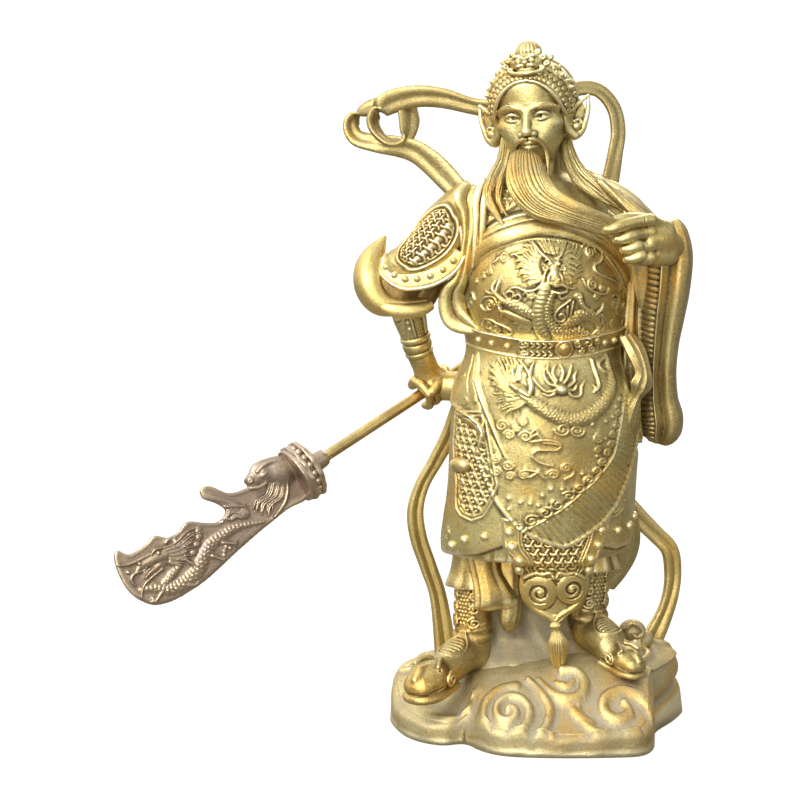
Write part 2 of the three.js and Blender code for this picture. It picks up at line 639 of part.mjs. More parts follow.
function head() {
  const turn = new THREE.Matrix4()
    .makeTranslation(...HEAD)
    .multiply(new THREE.Matrix4().makeRotationZ(radians(HEAD_TURN)));
  const skull = moved(new THREE.SphereGeometry(1, 12, 8).rotateX(Math.PI / 2), (x, y, z) => {
    const jaw = z < 0 ? 1 + 0.26 * z : 1 - 0.06 * z;
    const depth = y < 0 ? 23 : 22;
    return [18.5 * x * jaw, depth * y * (z < 0 ? 1 + 0.1 * z : 1) - (z < -0.3 ? 2 : 0), 25 * z];
  });
  const nose = strand(
    [[0, -22, 4, 1.6, 2, 1, 0, 0], [0, -25.5, -4, 2.4, 2.6, 1, 0, 0], [0, -26, -8, 4, 3, 1, 0, 0], [0, -23, -9.5, 3, 2, 1, 0, 0]],
    4,
    3,
  );
  const features = [-1, 1].flatMap((hand) => [
    strand(
      [[hand * 2, -23.2, 5.5, 1.6, 1.6, 0, 0, 1], [hand * 8, -22.4, 7.5, 1.9, 1.8, 0, 0, 1], [hand * 14, -16.5, 7, 1.2, 1.4, 0, 0, 1]],
      3,
      2,
    ),
    ellipsoid([hand * 7.6, -20.6, 1.4], [4, 1.9, 1.9], 6, 3),
    strand(
      [
        [hand, -24.5, -11.5, 1.3, 1.4, 0, 0, 1], [hand * 6, -22.5, -13.5, 1.6, 1.6, 0, 0, 1],
        [hand * 9, -19.5, -22, 1.3, 1.4, 1, 0, 0], [hand * 9.5, -19, -32, 1, 1.2, 1, 0, 0],
      ],
      3,
      4,
    ),
  ]);
  const lips = ellipsoid([0, -22.5, -15], [4.6, 2.2, 2.2], 5, 3);
  const neckGuard = strand(
    [[0, 12, 4, 20, 13, 1, 0, 0], [0, 14, -12, 19, 11, 1, 0, 0], [0, 16, -30, 20, 9, 1, 0, 0], [0, 16, -42, 24, 7, 1, 0, 0]],
    7,
    2,
  );
  const faceOpening = moved(new THREE.CylinderGeometry(1, 1, 1, 10, 1), (x, y, z) => [
    17.2 * x, -26 + 22 * y, 17.5 * z - 5,
  ]);
  const helmet = solidOf(ellipsoid([0, 1, 8], [23, 25, 23.5], 12, 7)).subtract(solidOf(faceOpening));
  const mask = ellipsoid([-2, -19.5, 26], [9, 5, 5.5], 7, 4);
  const knot = ellipsoid([-2.5, -8, 34], [6.5, 6.5, 9], 7, 5);
  const ears = [-1, 1].flatMap((hand) => [
    strand(
      [
        [hand * 18, -2, -14, 3, 3, 0, 1, 0], [hand * 24, 0, -9, 4.6, 2.6, 0, 1, 0], [hand * 27, 2, 0, 5.4, 2.6, 0, 1, 0],
        [hand * 29, 3, 7, 3.8, 2, 0, 1, 0], [hand * 30.5, 4, 12, 1, 1, 0, 1, 0],
      ],
      4,
      4,
    ),
    ellipsoid([hand * 23, -4.5, -8], [3.4, 3, 3.6], 5, 3),
  ]);
  const pieces = [skull, nose, ...features, lips, neckGuard, mask, knot, ...ears];
  return geometryOf(joined(pieces).add(helmet)).applyMatrix4(turn);
}

function beardAndLocks() {
  const rows = [
    [-11.5, -27, 341, 8.5, 5, 1, 0, 0], [-12.5, -34, 331, 10, 6, 1, 0, 0], [-11, -39, 320, 12, 6.5, 1, 0, 0.15],
    [-4, -44, 311, 13, 6.5, 0.8, 0, 0.6], [8, -48, 305.5, 10.5, 6, 0.45, 0, 0.9], [22, -50, 301, 8, 5, 0.3, 0, 1],
    [36, -49, 297, 6, 4.4, 0.3, 0, 1], [47, -47, 289, 5, 4, 0.9, 0, 0.3], [50.5, -46, 277, 4.6, 3.4, 1, 0, 0],
    [52, -45, 264, 3.6, 2.6, 1, 0, 0], [52.3, -45, 251, 1, 1, 1, 0, 0],
  ];
  const beard = strand(rows, 8, 12, (t, angle) => 0.06 * Math.cos(4 * angle));
  const locks = [
    [[-21, -8, 338, 3, 3, 1, 0, 0], [-28, -13, 324, 4, 3, 1, 0, 0], [-31, -20, 312, 3.4, 2.8, 1, 0, 0], [-24, -29, 298, 1.4, 1.4, 1, 0, 0]],
    [[10, -3, 340, 4, 4, 1, 0, 0], [19, -9, 327, 5, 4, 1, 0, 0.4], [30, -16, 316, 5, 4, 1, 0, 0.7], [46, -22, 304, 2, 2, 1, 0, 1]],
  ];
  return [beard, ...locks.map((lock) => strand(lock, 4, 4))];
}

// The ribbons that stream from the head and the hips.

const THIN = 1.9; // half thickness of the upper ribbons
const THICK = 2.9; // half thickness of the lower ones
const UPRIGHT = [0, 0.2, 1];

function ribbons() {
  const upperLeft = strand(
    [
      [-20, 15, 361, 5, THIN, ...UPRIGHT], [-40, 20, 364.5, 4.8, THIN, ...UPRIGHT], [-57, 22, 369, 6, THIN, ...UPRIGHT],
      [-73, 24, 370, 6.8, THIN, ...UPRIGHT], [-89, 25, 366, 7, THIN, 0.2, 0.2, 1], [-98, 22, 357, 4, THIN, 0.3, 1, 0.2],
      [-96, 17, 348, 4, THIN, 0.3, 1, 0], [-87, 14, 342, 4, THIN, 0, 1, 0.2], [-78, 16, 347, 5, THIN, 0.6, 0.7, 0],
      [-75.5, 20, 356, 5.5, THIN, 1, 0.3, 0], [-77, 23, 366, 5, THIN, 1, 0.3, 0],
    ],
    4,
    20,
  );
  const backLoop = strand(
    [
      [-86, 26, 369, 4, THIN, ...UPRIGHT], [-101, 29, 365, 4.5, THIN, 0.2, 0.5, 1], [-112, 29, 355, 5, THIN, 0.6, 0.8, 0.2],
      [-109, 26, 345.5, 5, THIN, 0.2, 0.8, 0.4], [-97, 22, 342, 4.6, THIN, 0, 0.5, 1], [-84, 19, 341, 6, THIN, ...UPRIGHT],
      [-73, 17, 338, 7, THIN, 0.3, 0.2, 1], [-63, 14, 331, 7.5, THIN, 0.5, 0.2, 1], [-54, 10, 322, 7, THIN, 0.6, 0.2, 1],
      [-45, 5, 312, 6, THIN, 0.6, 0.2, 1],
    ],
    4,
    18,
  );
  const upperRight = strand(
    [
      [4, 14, 363, 5, THIN, 0, 1, 0.5], [18, 18, 373, 4.7, THIN, 0, 0.6, 1], [33, 20, 374, 4.7, THIN, 0.2, 0.6, 1],
      [43, 20, 364, 4.7, THIN, 0.8, 0.6, 0.4], [46, 18, 350, 4.8, THIN, 1, 0.4, 0], [44, 15, 336, 4.8, THIN, 1, 0.3, 0],
      [41, 10, 321, 5, THIN, 1, 0.3, 0], [38, 4, 308, 5, THIN, 1, 0.3, 0],
    ],
    4,
    12,
  );
  const lowerLeft = strand(
    [
      [-44, 17, 192, 6, THICK, 1, 0.4, 0], [-51, 22, 171, 5.5, THICK, 1, 0.4, 0.2], [-60, 25, 153, 5, THICK, 1, 0.4, 0.3],
      [-68.5, 27, 137, 4.8, THICK, 1, 0.4, 0.2], [-72.5, 28, 121, 5, THICK, 1, 0.4, 0], [-70.5, 29, 104, 5.2, THICK, 1, 0.4, -0.2],
      [-64.5, 30, 86, 5.5, THICK, 1, 0.4, -0.3], [-58, 31, 65, 5.5, THICK, 1, 0.4, -0.3],
      [-53, 32, ground(-53, 32) - 5, 7, THICK + 1, 1, 0.4, 0],
    ],
    5,
    13,
  );
  const lowerRight = strand(
    [
      [48, 20, 134, 6, THICK, 1, 0.3, 0.4], [61, 24, 120, 6, THICK, 1, 0.3, 0.6], [74, 27, 107, 5.5, THICK, 1, 0.3, 0.6],
      [83, 28, 97, 5.3, THICK, 1, 0.3, 0.3], [85.5, 29, 83, 5.4, THICK, 1, 0.3, 0], [84.5, 29, 69, 5.5, THICK, 1, 0.3, -0.1],
      [80.5, 29, 55, 5.6, THICK, 1, 0.3, -0.3], [73, 29, ground(73, 29) - 5, 7, THICK + 1, 1, 0.3, -0.4],
    ],
    5,
    12,
  );
  const stub = ellipsoid([60, 4, 54], [7, 6, 5], 8, 6);
  const stubFoot = strand([[60, 4, 52, 3, 3, 1, 0, 0], [60, 4, 36, 4, 4, 1, 0, 0]], 6, 1);
  return [upperLeft, backLoop, upperRight, lowerLeft, lowerRight, stub, stubFoot];
}

// Placing the figure on the plinth

const toPlinth = new THREE.Matrix4()
  .makeTranslation(0, 0, PLINTH_CROWN)
  .multiply(new THREE.Matrix4().makeScale(FIGURE_SCALE, FIGURE_SCALE, FIGURE_SCALE))
  .multiply(new THREE.Matrix4().makeTranslation(0, 0, -DRAWN_SOLE));

const fistPoint = new THREE.Vector3(...FIST).applyMatrix4(toPlinth);

// A turned or bored form on the shaft's axis: points are [radius, distance from the fist towards the butt].
function turned(points, segments) {
  const profile = points.map(([radius, along]) => new THREE.Vector2(radius, along));
  const aim = new THREE.Quaternion().setFromUnitVectors(new THREE.Vector3(0, 1, 0), SHAFT_AIM);
  return new THREE.LatheGeometry(profile, segments).applyQuaternion(aim).translate(...fistPoint.toArray());
}

// A round hole on the shaft's axis between two distances from the fist.
function bore(from, to) {
  const radius = SHAFT_DIAMETER / 2 + SHAFT_CLEARANCE;
  return solidOf(turned([[0, from], [radius, from], [radius, to], [0, to]], 14));
}

function figure() {
  const fringe = band(
    [[2, 118], [12.5, 125], [26, 135], [38.5, 152], [47, 170], [57, 190]],
    7.5,
    2.2,
    4.8,
    4,
    10,
    (t) => 0.08 * Math.cos(10 * Math.PI * t),
  );
  const placed = [
    bodyRing(BODY[0][0], BODY[BODY.length - 1][0], 24, 13, foldAt),
    wrap(APRON, 4.2, 7, 6, 8),
    wrap(LEFT_TASSET, 1.8, 5, 4, 2),
    wrap(RIGHT_TASSET, 1.8, 5, 3, 2),
    fringe,
    ...belt(),
    ...bellyDragon(),
    ...apronDragon(),
    ...lowerRobe(),
    ...leg([-40, -10], [-69, -50], [-38, -6], 84),
    ...leg([31, -3], [52, -36], [33, 0], 93),
    ...frontTasset(),
    ...chest(),
    ...leftArm(),
    ...leftFist(),
    ...rightArm(),
    head(),
    ...beardAndLocks(),
    ...ribbons(),
  ];
  const statue = joined(placed.map((piece) => piece.applyMatrix4(toPlinth)));
  const plinth = joined([plinthBody(), ...SCROLLS.map(scroll)]);
  const butt = SHAFT_ABOVE_FIST + BUTT_LENGTH;
  return withoutVoids(geometryOf(plinth.add(statue).subtract(bore(-40, butt))));
}

// The shaft: a plain rod with a turned butt cap and point at its upper end.
function shaft() {
  const rod = SHAFT_DIAMETER / 2;
  const cap = BUTT_DIAMETER / 2;
  const low = -SHAFT_BELOW_FIST - SOCKET_DEPTH + SHAFT_CLEARANCE;
  const butt = SHAFT_ABOVE_FIST;
  const profile = [
    [0, low], [rod, low], [rod, butt], [cap, butt + 1.5], [cap, butt + 4], [cap * 0.7, butt + 5],
    [cap * 0.8, butt + 8], [0, butt + BUTT_LENGTH],
  ];
  return turned(profile, 14);
}

// The blade's outline as shares of its length from the guard and of its breadth up from its middle.
const BLADE_EDGE = [
  [0, -0.34], [0.15, -0.36], [0.42, -0.46], [0.64, -0.57], [0.77, -0.58], [0.87, -0.54], [0.95, -0.41],
  [1, -0.08], [0.99, 0.33], [0.95, 0.52],
];
const BLADE_BACK = [
  [0.91, 0.37], [0.82, 0.36], [0.76, 0.4], [0.71, 0.27], [0.65, 0.26], [0.59, 0.31], [0.52, 0.16], [0.46, 0.06],
  [0.4, 0.13], [0.42, 0.3], [0.465, 0.48], [0.445, 0.61], [0.4, 0.56], [0.34, 0.33], [0.24, 0.24], [0.19, 0.22],
  [0.2, 0.41], [0.13, 0.49], [0, 0.3],
];

function blade() {
  const mouth = -SHAFT_BELOW_FIST;
  const guardStart = mouth - NUT_LENGTH;
  const root = guardStart - GUARD_WIDTH;
  const shape = new THREE.Shape(
    [...BLADE_EDGE, ...BLADE_BACK].map(([s, w]) => new THREE.Vector2(s * BLADE_LENGTH, w * BLADE_BREADTH)),
  );
  const bevel = 1.1;
  const plate = new THREE.ExtrudeGeometry(shape, {
    depth: BLADE_THICKNESS - 2 * bevel,
    bevelThickness: bevel,
    bevelSize: bevel,
    bevelOffset: -bevel,
    bevelSegments: 1,
  }).translate(0, 0, bevel - BLADE_THICKNESS / 2);
  const outward = SHAFT_AIM.clone().negate();
  const face = new THREE.Vector3(0, 1, 0).addScaledVector(SHAFT_AIM, -SHAFT_AIM.y).normalize();
  const up = new THREE.Vector3().crossVectors(face, outward);
  const place = new THREE.Matrix4()
    .makeBasis(outward, up, face)
    .setPosition(fistPoint.clone().addScaledVector(SHAFT_AIM, root + 1));
  const mask = [
    ellipsoid([10, 6, 0], [15, 10, MASK_THICKNESS / 2], 9, 6),
    ellipsoid([20, 12, 0], [5.5, 4.5, MASK_THICKNESS / 2 - 1], 6, 5),
    ...[-1, 1].map((side) => ellipsoid([12, 10, side * (MASK_THICKNESS / 2 - 0.6)], [2.6, 2, 1.6], 5, 3)),
  ];
  const coil = (side) =>
    strand(
      Array.from({ length: 9 }, (_, i) => {
        const t = i / 8;
        const x = BLADE_LENGTH * (0.24 + 0.64 * t);
        const y = -3 - 5 * t + 4.2 * Math.sin(9 * t);
        return [x, y, (side * BLADE_THICKNESS) / 2, 3 - 1.4 * t, 1.5, 0, 1, 0];
      }),
      3,
      8,
    );
  const cast = joined([plate, ...mask, coil(1), coil(-1)].map((piece) => piece.applyMatrix4(place)));
  const rim = GUARD_DIAMETER / 2;
  const neck = SHAFT_DIAMETER / 2 + SHAFT_CLEARANCE + SOCKET_WALL;
  const guard = turned(
    [
      [0, root - 5], [rim * 0.45, root - 5], [rim * 0.86, root], [rim, root + GUARD_WIDTH * 0.25],
      [rim * 0.86, root + GUARD_WIDTH * 0.3], [rim * 0.86, root + GUARD_WIDTH * 0.7],
      [rim, root + GUARD_WIDTH * 0.75], [rim, guardStart], [neck, guardStart + 1], [neck, mouth], [0, mouth],
    ],
    14,
  );
  const beadCount = 8;
  const beads = Array.from({ length: beadCount }, (_, i) => {
    const angle = (2 * Math.PI * i) / beadCount;
    const centre = fistPoint
      .clone()
      .addScaledVector(SHAFT_AIM, root + GUARD_WIDTH / 2)
      .addScaledVector(up, rim * 0.88 * Math.cos(angle))
      .addScaledVector(face, rim * 0.88 * Math.sin(angle));
    return ellipsoid(centre.toArray(), [2.2, 2.2, 2.2], 4, 3);
  });
  const body = cast.add(joined([guard, ...beads]));
  return withoutVoids(geometryOf(body.subtract(bore(mouth - SOCKET_DEPTH, mouth + 2))));
}

const part = new THREE.Group();
part.name = "warrior_statue";
const pieces = [
  ["figure_on_cloud_plinth", figure(), BRASS],
  ["glaive_shaft", shaft(), SHAFT_BRASS],
  ["glaive_blade", blade(), BLADE_BRASS],
];
for (const [name, geometry, finish] of pieces) {
  const mesh = new THREE.Mesh(geometry, new THREE.MeshStandardMaterial(finish));
  mesh.name = name;
  part.add(mesh);
}

export default part;
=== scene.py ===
# %% [markdown]
# # A bearded general in cast brass
# The real object is a hollow brass casting about 400 mm high: a general in armour on a cloud plinth,
# with a separate rod and blade for his glaive. The casting is dressed here around the solids of the part.
# All sizes are in millimetres until a mesh is made, and the frame gives the object's own box.

# %% The frame
import math

import bpy
import numpy as np
import openvdb
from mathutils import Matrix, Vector


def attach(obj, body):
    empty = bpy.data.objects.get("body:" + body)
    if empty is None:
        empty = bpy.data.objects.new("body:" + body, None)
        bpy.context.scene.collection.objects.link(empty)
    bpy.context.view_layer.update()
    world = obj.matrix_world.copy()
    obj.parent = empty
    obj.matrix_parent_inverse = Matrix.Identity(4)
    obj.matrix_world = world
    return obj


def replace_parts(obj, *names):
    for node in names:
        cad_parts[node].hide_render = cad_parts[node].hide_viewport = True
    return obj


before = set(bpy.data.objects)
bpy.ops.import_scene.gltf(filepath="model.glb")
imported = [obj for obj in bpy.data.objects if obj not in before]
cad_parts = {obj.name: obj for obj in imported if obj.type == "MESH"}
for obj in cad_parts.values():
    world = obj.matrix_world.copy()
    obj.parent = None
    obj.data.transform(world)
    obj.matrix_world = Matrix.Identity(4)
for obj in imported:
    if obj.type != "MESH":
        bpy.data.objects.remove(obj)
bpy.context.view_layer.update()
MM = 0.001
FIGURE = "figure_on_cloud_plinth"

# %% [markdown]
# ## Smooth lines and surfaces
# A carver works from a few chosen points and a steady hand. The helpers here do the same: a curve is
# drawn through a few rows of numbers, and a strand or a loft is a skin over such a curve.

# %% Curves through chosen points
def smooth(t):
    t = np.clip(t, 0.0, 1.0)
    return t * t * (3.0 - 2.0 * t)


def through(rows, count):
    """Rows of numbers become count rows on the Catmull-Rom curve through them."""
    rows = np.asarray(rows, dtype=float)
    place = np.linspace(0.0, len(rows) - 1.0, count)
    i = np.minimum(place.astype(int), len(rows) - 2)
    f = (place - i)[:, None]
    a, b, c, d = (rows[np.clip(i + k, 0, len(rows) - 1)] for k in (-1, 0, 1, 2))
    bend = 2 * a - 5 * b + 4 * c - d + f * (3 * (b - c) + d - a)
    return b + 0.5 * f * (c - a + f * bend)


def table_at(rows, z):
    """The row of a table at each level z; its first column is the level, rising."""
    rows = np.asarray(rows, dtype=float)
    fine = through(rows, 40 * len(rows))
    order = np.maximum.accumulate(fine[:, 0])
    return [np.interp(z, order, fine[:, k]) for k in range(1, rows.shape[1])]


def unit(v):
    v = np.asarray(v, dtype=float)
    return v / np.maximum(np.linalg.norm(v, axis=-1, keepdims=True), 1e-9)


# %% [markdown]
# ## Hollows and ridges
# Cast brass that has stood in a room for years isn't one colour. Its high spots are rubbed pale, its
# hollows keep dust and dark casting skin, and the metal between them is olive gold. The finishes also paint
# shade into the hollows and a highlight onto the ridges. Each mesh therefore stores how far every point lies
# under or over its surroundings, and the finishes read that. The mesh is made fine enough for the carving,
# and afterwards its faces are joined where the skin is nearly flat.

# %% How hollow each point of a mesh lies
def mark_hollows(piece, reach=2.0, full=0.5, keep=0.45):
    """Stores 'hollow': 1 deep in a hollow, 0 on a flat, -1 on a ridge; reach and full in millimetres."""
    mesh = piece.data
    count = len(mesh.vertices)
    place = np.empty(count * 3, np.float32)
    mesh.vertices.foreach_get("co", place)
    place = place.reshape(-1, 3).astype(float) / MM
    normal = np.empty(count * 3, np.float32)
    mesh.vertices.foreach_get("normal", normal)
    normal = normal.reshape(-1, 3)
    edges = np.empty(len(mesh.edges) * 2, np.int32)
    mesh.edges.foreach_get("vertices", edges)
    a, b = edges.reshape(-1, 2).T
    length = np.median(np.linalg.norm(place[a] - place[b], axis=1))
    ends, others = np.concatenate([a, b]), np.concatenate([b, a])
    share = 1.0 / np.maximum(np.bincount(ends, minlength=count), 1)

    def spread(values):
        return np.bincount(ends, weights=values[others], minlength=count) * share

    total = np.zeros(count)
    for size, weight in ((reach * 0.4, 0.5), (reach, 0.5)):
        rounds = int(np.clip((size / length) ** 2, 2, 24))
        soft = place.copy()
        for _ in range(rounds):
            for k in range(3):
                soft[:, k] = 0.5 * soft[:, k] + 0.5 * spread(soft[:, k])
        depth = np.sum((soft - place) * normal, axis=1)
        total += weight * np.clip(depth / (full * size / reach), -1, 1)
    for _ in range(2):
        total = 0.5 * total + 0.5 * spread(total)
    total *= 1 - 0.68 * np.clip((place[:, 1] - 8) / 22, 0, 1)  # the hollows and ridges are marked more weakly towards the back
    store = mesh.attributes.new("hollow", "FLOAT", "POINT")
    store.data.foreach_set("value", total.astype(np.float32))
    thin_out(piece, keep)


def made_plain(piece):
    """The piece's modifiers are worked into its mesh, and taken off."""
    mesh = bpy.data.meshes.new_from_object(piece.evaluated_get(bpy.context.evaluated_depsgraph_get()))
    piece.modifiers.clear()
    piece.data = mesh
    return mesh


def thin_out(piece, keep):
    """Joins faces where the skin is nearly flat, until this share of them is left."""
    piece.modifiers.new("thin", "DECIMATE").ratio = keep
    faces = made_plain(piece).polygons
    print(piece.name, "keeps", sum(len(face.vertices) - 2 for face in faces), "triangles")


# %% [markdown]
# ## Stock for one piece
# A piece is built from several closed skins that overlap, as a founder joins wax parts before casting.
# The stock collects their points and faces, turns each skin outwards and makes one mesh at the end.

# %% Stock
class Stock:
    def __init__(self, name):
        self.name = name
        self.points = []
        self.faces = {3: [], 4: []}
        self.count = 0

    def add(self, points, *faces):
        points = np.asarray(points, dtype=float).reshape(-1, 3)
        volume = 0.0
        for face in faces:
            a, b, c = points[face[:, 0]], points[face[:, 1]], points[face[:, 2]]
            volume += np.einsum("ij,ij->", a, np.cross(b, c))
            if face.shape[1] == 4:
                volume += np.einsum("ij,ij->", a, np.cross(c, points[face[:, 3]]))
        for face in faces:
            face = face if volume > 0 else face[:, ::-1]
            self.faces[face.shape[1]].append(face + self.count)
        self.points.append(points)
        self.count += len(points)

    def sheet(self, grid, cap_start=True, cap_end=True):
        """A closed tube of skin: rows of points, each row a closed ring."""
        rows, around = grid.shape[:2]
        ring = np.arange(around)
        base = np.arange(rows - 1)[:, None] * around
        quads = np.stack(
            [base + ring, base + (ring + 1) % around,
             base + around + (ring + 1) % around, base + around + ring], axis=-1).reshape(-1, 4)
        points = [grid.reshape(-1, 3)]
        fans = []
        count = rows * around
        for wanted, row, flip in ((cap_start, 0, True), (cap_end, rows - 1, False)):
            if wanted:
                points.append(grid[row].mean(axis=0, keepdims=True))
                fan = np.stack([row * around + ring, row * around + (ring + 1) % around,
                                np.full(around, count)], axis=-1)
                fans.append(fan[:, ::-1] if flip else fan)
                count += 1
        self.add(np.concatenate(points), quads, *fans)

    def ball(self, centre, radii, wide=12, high=8):
        around = np.linspace(0, 2 * np.pi, wide, endpoint=False)
        down = np.linspace(0, np.pi, high + 1)
        down[0], down[-1] = 0.02, np.pi - 0.02
        grid = np.stack([np.outer(np.sin(down), np.cos(around)),
                         np.outer(np.sin(down), np.sin(around)),
                         np.outer(np.cos(down), np.ones(wide))], axis=-1) * np.asarray(radii)
        self.sheet(grid + np.asarray(centre))

    def strand(self, rows, sides=10, steps=24, ripple=None, power=1.0, lift=None):
        """A tapered bar along rows of x, y, z, half width and half thickness; its width lies across x, or
        across the direction that the rows end with. ripple(t, angle) swells it as a share of its size, and
        lift(run, angle, t) raises its skin in millimetres."""
        fine = through(rows, steps)
        if fine.shape[1] == 5:
            fine = np.hstack([fine, np.tile([1.0, 0.0, 0.0], (steps, 1))])
        path = fine[:, :3]
        along = unit(np.gradient(path, axis=0))
        across = fine[:, 5:8]
        across = unit(across - along * np.sum(across * along, axis=1, keepdims=True))
        out = np.cross(across, along)
        angle = np.linspace(0, 2 * np.pi, sides, endpoint=False)
        c, s = np.cos(angle), np.sin(angle)
        c, s = np.sign(c) * abs(c) ** power, np.sign(s) * abs(s) ** power
        swell = np.ones((steps, sides))
        if ripple:
            swell = swell + ripple(np.linspace(0, 1, steps)[:, None], angle[None, :])
        wide = (np.abs(fine[:, 3:4]) * c * swell)[:, :, None] * across[:, None, :]
        thick = (np.abs(fine[:, 4:5]) * s * swell)[:, :, None] * out[:, None, :]
        grid = path[:, None, :] + wide + thick
        if lift:
            run = np.concatenate([[0], np.cumsum(np.linalg.norm(np.diff(path, axis=0), axis=1))])
            rise = lift(run[:, None], angle[None, :], np.linspace(0, 1, steps)[:, None])
            grid = grid + unit(grid - path[:, None, :]) * rise[:, :, None]
        self.sheet(grid)
        return grid

    def bake(self, material, reach=2.0, full=0.5, keep=0.45):
        """The finished piece: one mesh with its material and its hollows."""
        mesh = bpy.data.meshes.new(self.name)
        points = np.concatenate(self.points)
        loops = [np.concatenate(f) for f in self.faces.values() if f]
        sizes = np.concatenate([np.full(len(f), f.shape[1]) for f in loops])
        corners = np.concatenate([f.ravel() for f in loops])
        mesh.vertices.add(len(points))
        mesh.vertices.foreach_set("co", (points * MM).astype(np.float32).ravel())
        mesh.loops.add(len(corners))
        mesh.loops.foreach_set("vertex_index", corners.astype(np.int32))
        mesh.polygons.add(len(sizes))
        mesh.polygons.foreach_set("loop_start", (np.cumsum(sizes) - sizes).astype(np.int32))
        mesh.update(calc_edges=True)
        mesh.validate()
        mesh.polygons.foreach_set("use_smooth", np.ones(len(mesh.polygons), bool))
        piece = bpy.data.objects.new(self.name, mesh)
        bpy.context.collection.objects.link(piece)
        mesh.materials.append(material)
        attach(piece, "root")
        mark_hollows(piece, reach, full, keep)
        return piece


# %% [markdown]
# ## Finishes
# Two effects are shared by all the brass: the grain of sand casting, whose pale specks also paint glints,
# and the patina that follows the hollows, which also paints shade into the hollows and a highlight onto the
# ridges. Each is a node group with its own inputs, so a finish can turn it up or down. Long chains of nodes
# are easier to read as sums, so a small class lets plus, minus and times add the nodes for them.

# %% Node helpers
def fill(tree, node, inputs):
    """Gives each input of a node, by its label or its place, a link or a value."""
    for label, value in inputs.items():
        value = getattr(value, "socket", value)
        if isinstance(value, bpy.types.NodeSocket):
            tree.links.new(value, node.inputs[label])
        else:
            node.inputs[label].default_value = value


def add_node(tree, kind, inputs={}, **settings):
    node = tree.nodes.new(kind)
    for name, value in settings.items():
        setattr(node, name, value)
    fill(tree, node, inputs)
    return node


class Flow:
    """A value that flows through a node tree."""

    def __init__(self, tree, socket):
        self.tree, self.socket = tree, socket

    def math(self, operation, *values):
        node = add_node(self.tree, "ShaderNodeMath", dict(enumerate(values)), operation=operation)
        return Flow(self.tree, node.outputs[0])

    def __add__(self, other):
        return self.math("ADD", self, other)

    def __sub__(self, other):
        return self.math("SUBTRACT", self, other)

    def __rsub__(self, other):
        return self.math("SUBTRACT", other, self)

    def __mul__(self, other):
        return self.math("MULTIPLY", self, other)

    def ramp(self, start, end):
        limits = {"Value": self, "From Min": start, "From Max": end}
        node = add_node(self.tree, "ShaderNodeMapRange", limits, interpolation_type="SMOOTHSTEP")
        return Flow(self.tree, node.outputs["Result"])

    def mix(self, a, b):
        """From colour a, where this value is 0, to colour b, where it is 1."""
        return Flow(self.tree, add_node(self.tree, "ShaderNodeMix", {0: self, 6: a, 7: b},
            data_type="RGBA").outputs[2])


def noise(tree, scale, detail, roughness):
    place = tree.nodes.new("ShaderNodeTexCoord").outputs["Object"]
    inputs = {"Vector": place, "Scale": scale, "Detail": detail, "Roughness": roughness}
    return Flow(tree, add_node(tree, "ShaderNodeTexNoise", inputs).outputs["Fac"])


def shared_effect(name, inputs, make):
    """A node group with named inputs; make(tree, inputs) returns its outputs by name."""
    tree = bpy.data.node_groups.new(name, "ShaderNodeTree")
    for label, value in inputs.items():
        tree.interface.new_socket(label, in_out="INPUT", socket_type="NodeSocketFloat").default_value = value
    made = make(tree, tree.nodes.new("NodeGroupInput").outputs)
    for label in made:
        kind = "NodeSocketVector" if label == "Normal" else "NodeSocketFloat"
        tree.interface.new_socket(label, in_out="OUTPUT", socket_type=kind)
    add_node(tree, "NodeGroupOutput", made)
    return tree


# %% Casting grain
def casting_grain(tree, given):
    fine = noise(tree, given["Grain Scale"], 3.0, 0.6)
    height = noise(tree, 420.0, 2.0, 0.5) * 0.8 + fine
    bump = add_node(tree, "ShaderNodeBump", {"Distance": 0.0003, "Strength": given["Strength"], "Height": height})
    return {"Normal": bump.outputs["Normal"], "Speckle": fine}


GRAIN = shared_effect("casting grain", {"Grain Scale": 1150.0, "Strength": 0.3}, casting_grain)


# %% Dust, patina and painted shade in the hollows, wear and a painted highlight on the ridges
def patina_and_painted_light(tree, given):
    hollow = Flow(tree, add_node(tree, "ShaderNodeAttribute", attribute_name="hollow").outputs["Fac"])
    ragged = (noise(tree, 160.0, 5.0, 0.6) - 0.5) * 0.55 + hollow
    patches = noise(tree, 21.0, 5.0, 0.65) - hollow * 0.12
    # The hollows are marked for dust and painted shade, the ridges for wear and a painted highlight.
    return {"Dust": ragged.ramp(given["Dust and Shade Start"], given["Dust and Shade End"]),
            "Wear": (ragged * -1.0).ramp(given["Wear and Sheen Start"], given["Wear and Sheen End"]),
            "Cloudy": noise(tree, 38.0, 4.0, 0.6).ramp(0.38, 0.66), "Rubbed": patches.ramp(0.48, 0.66)}


PATINA_AND_PAINTED_LIGHT = shared_effect("patina_and_painted_light", {"Dust and Shade Start": 0.1, "Dust and Shade End": 0.75, "Wear and Sheen Start": 0.15, "Wear and Sheen End": 0.85},
    patina_and_painted_light)
print("shared effects:", [tree.name for tree in (GRAIN, PATINA_AND_PAINTED_LIGHT)])


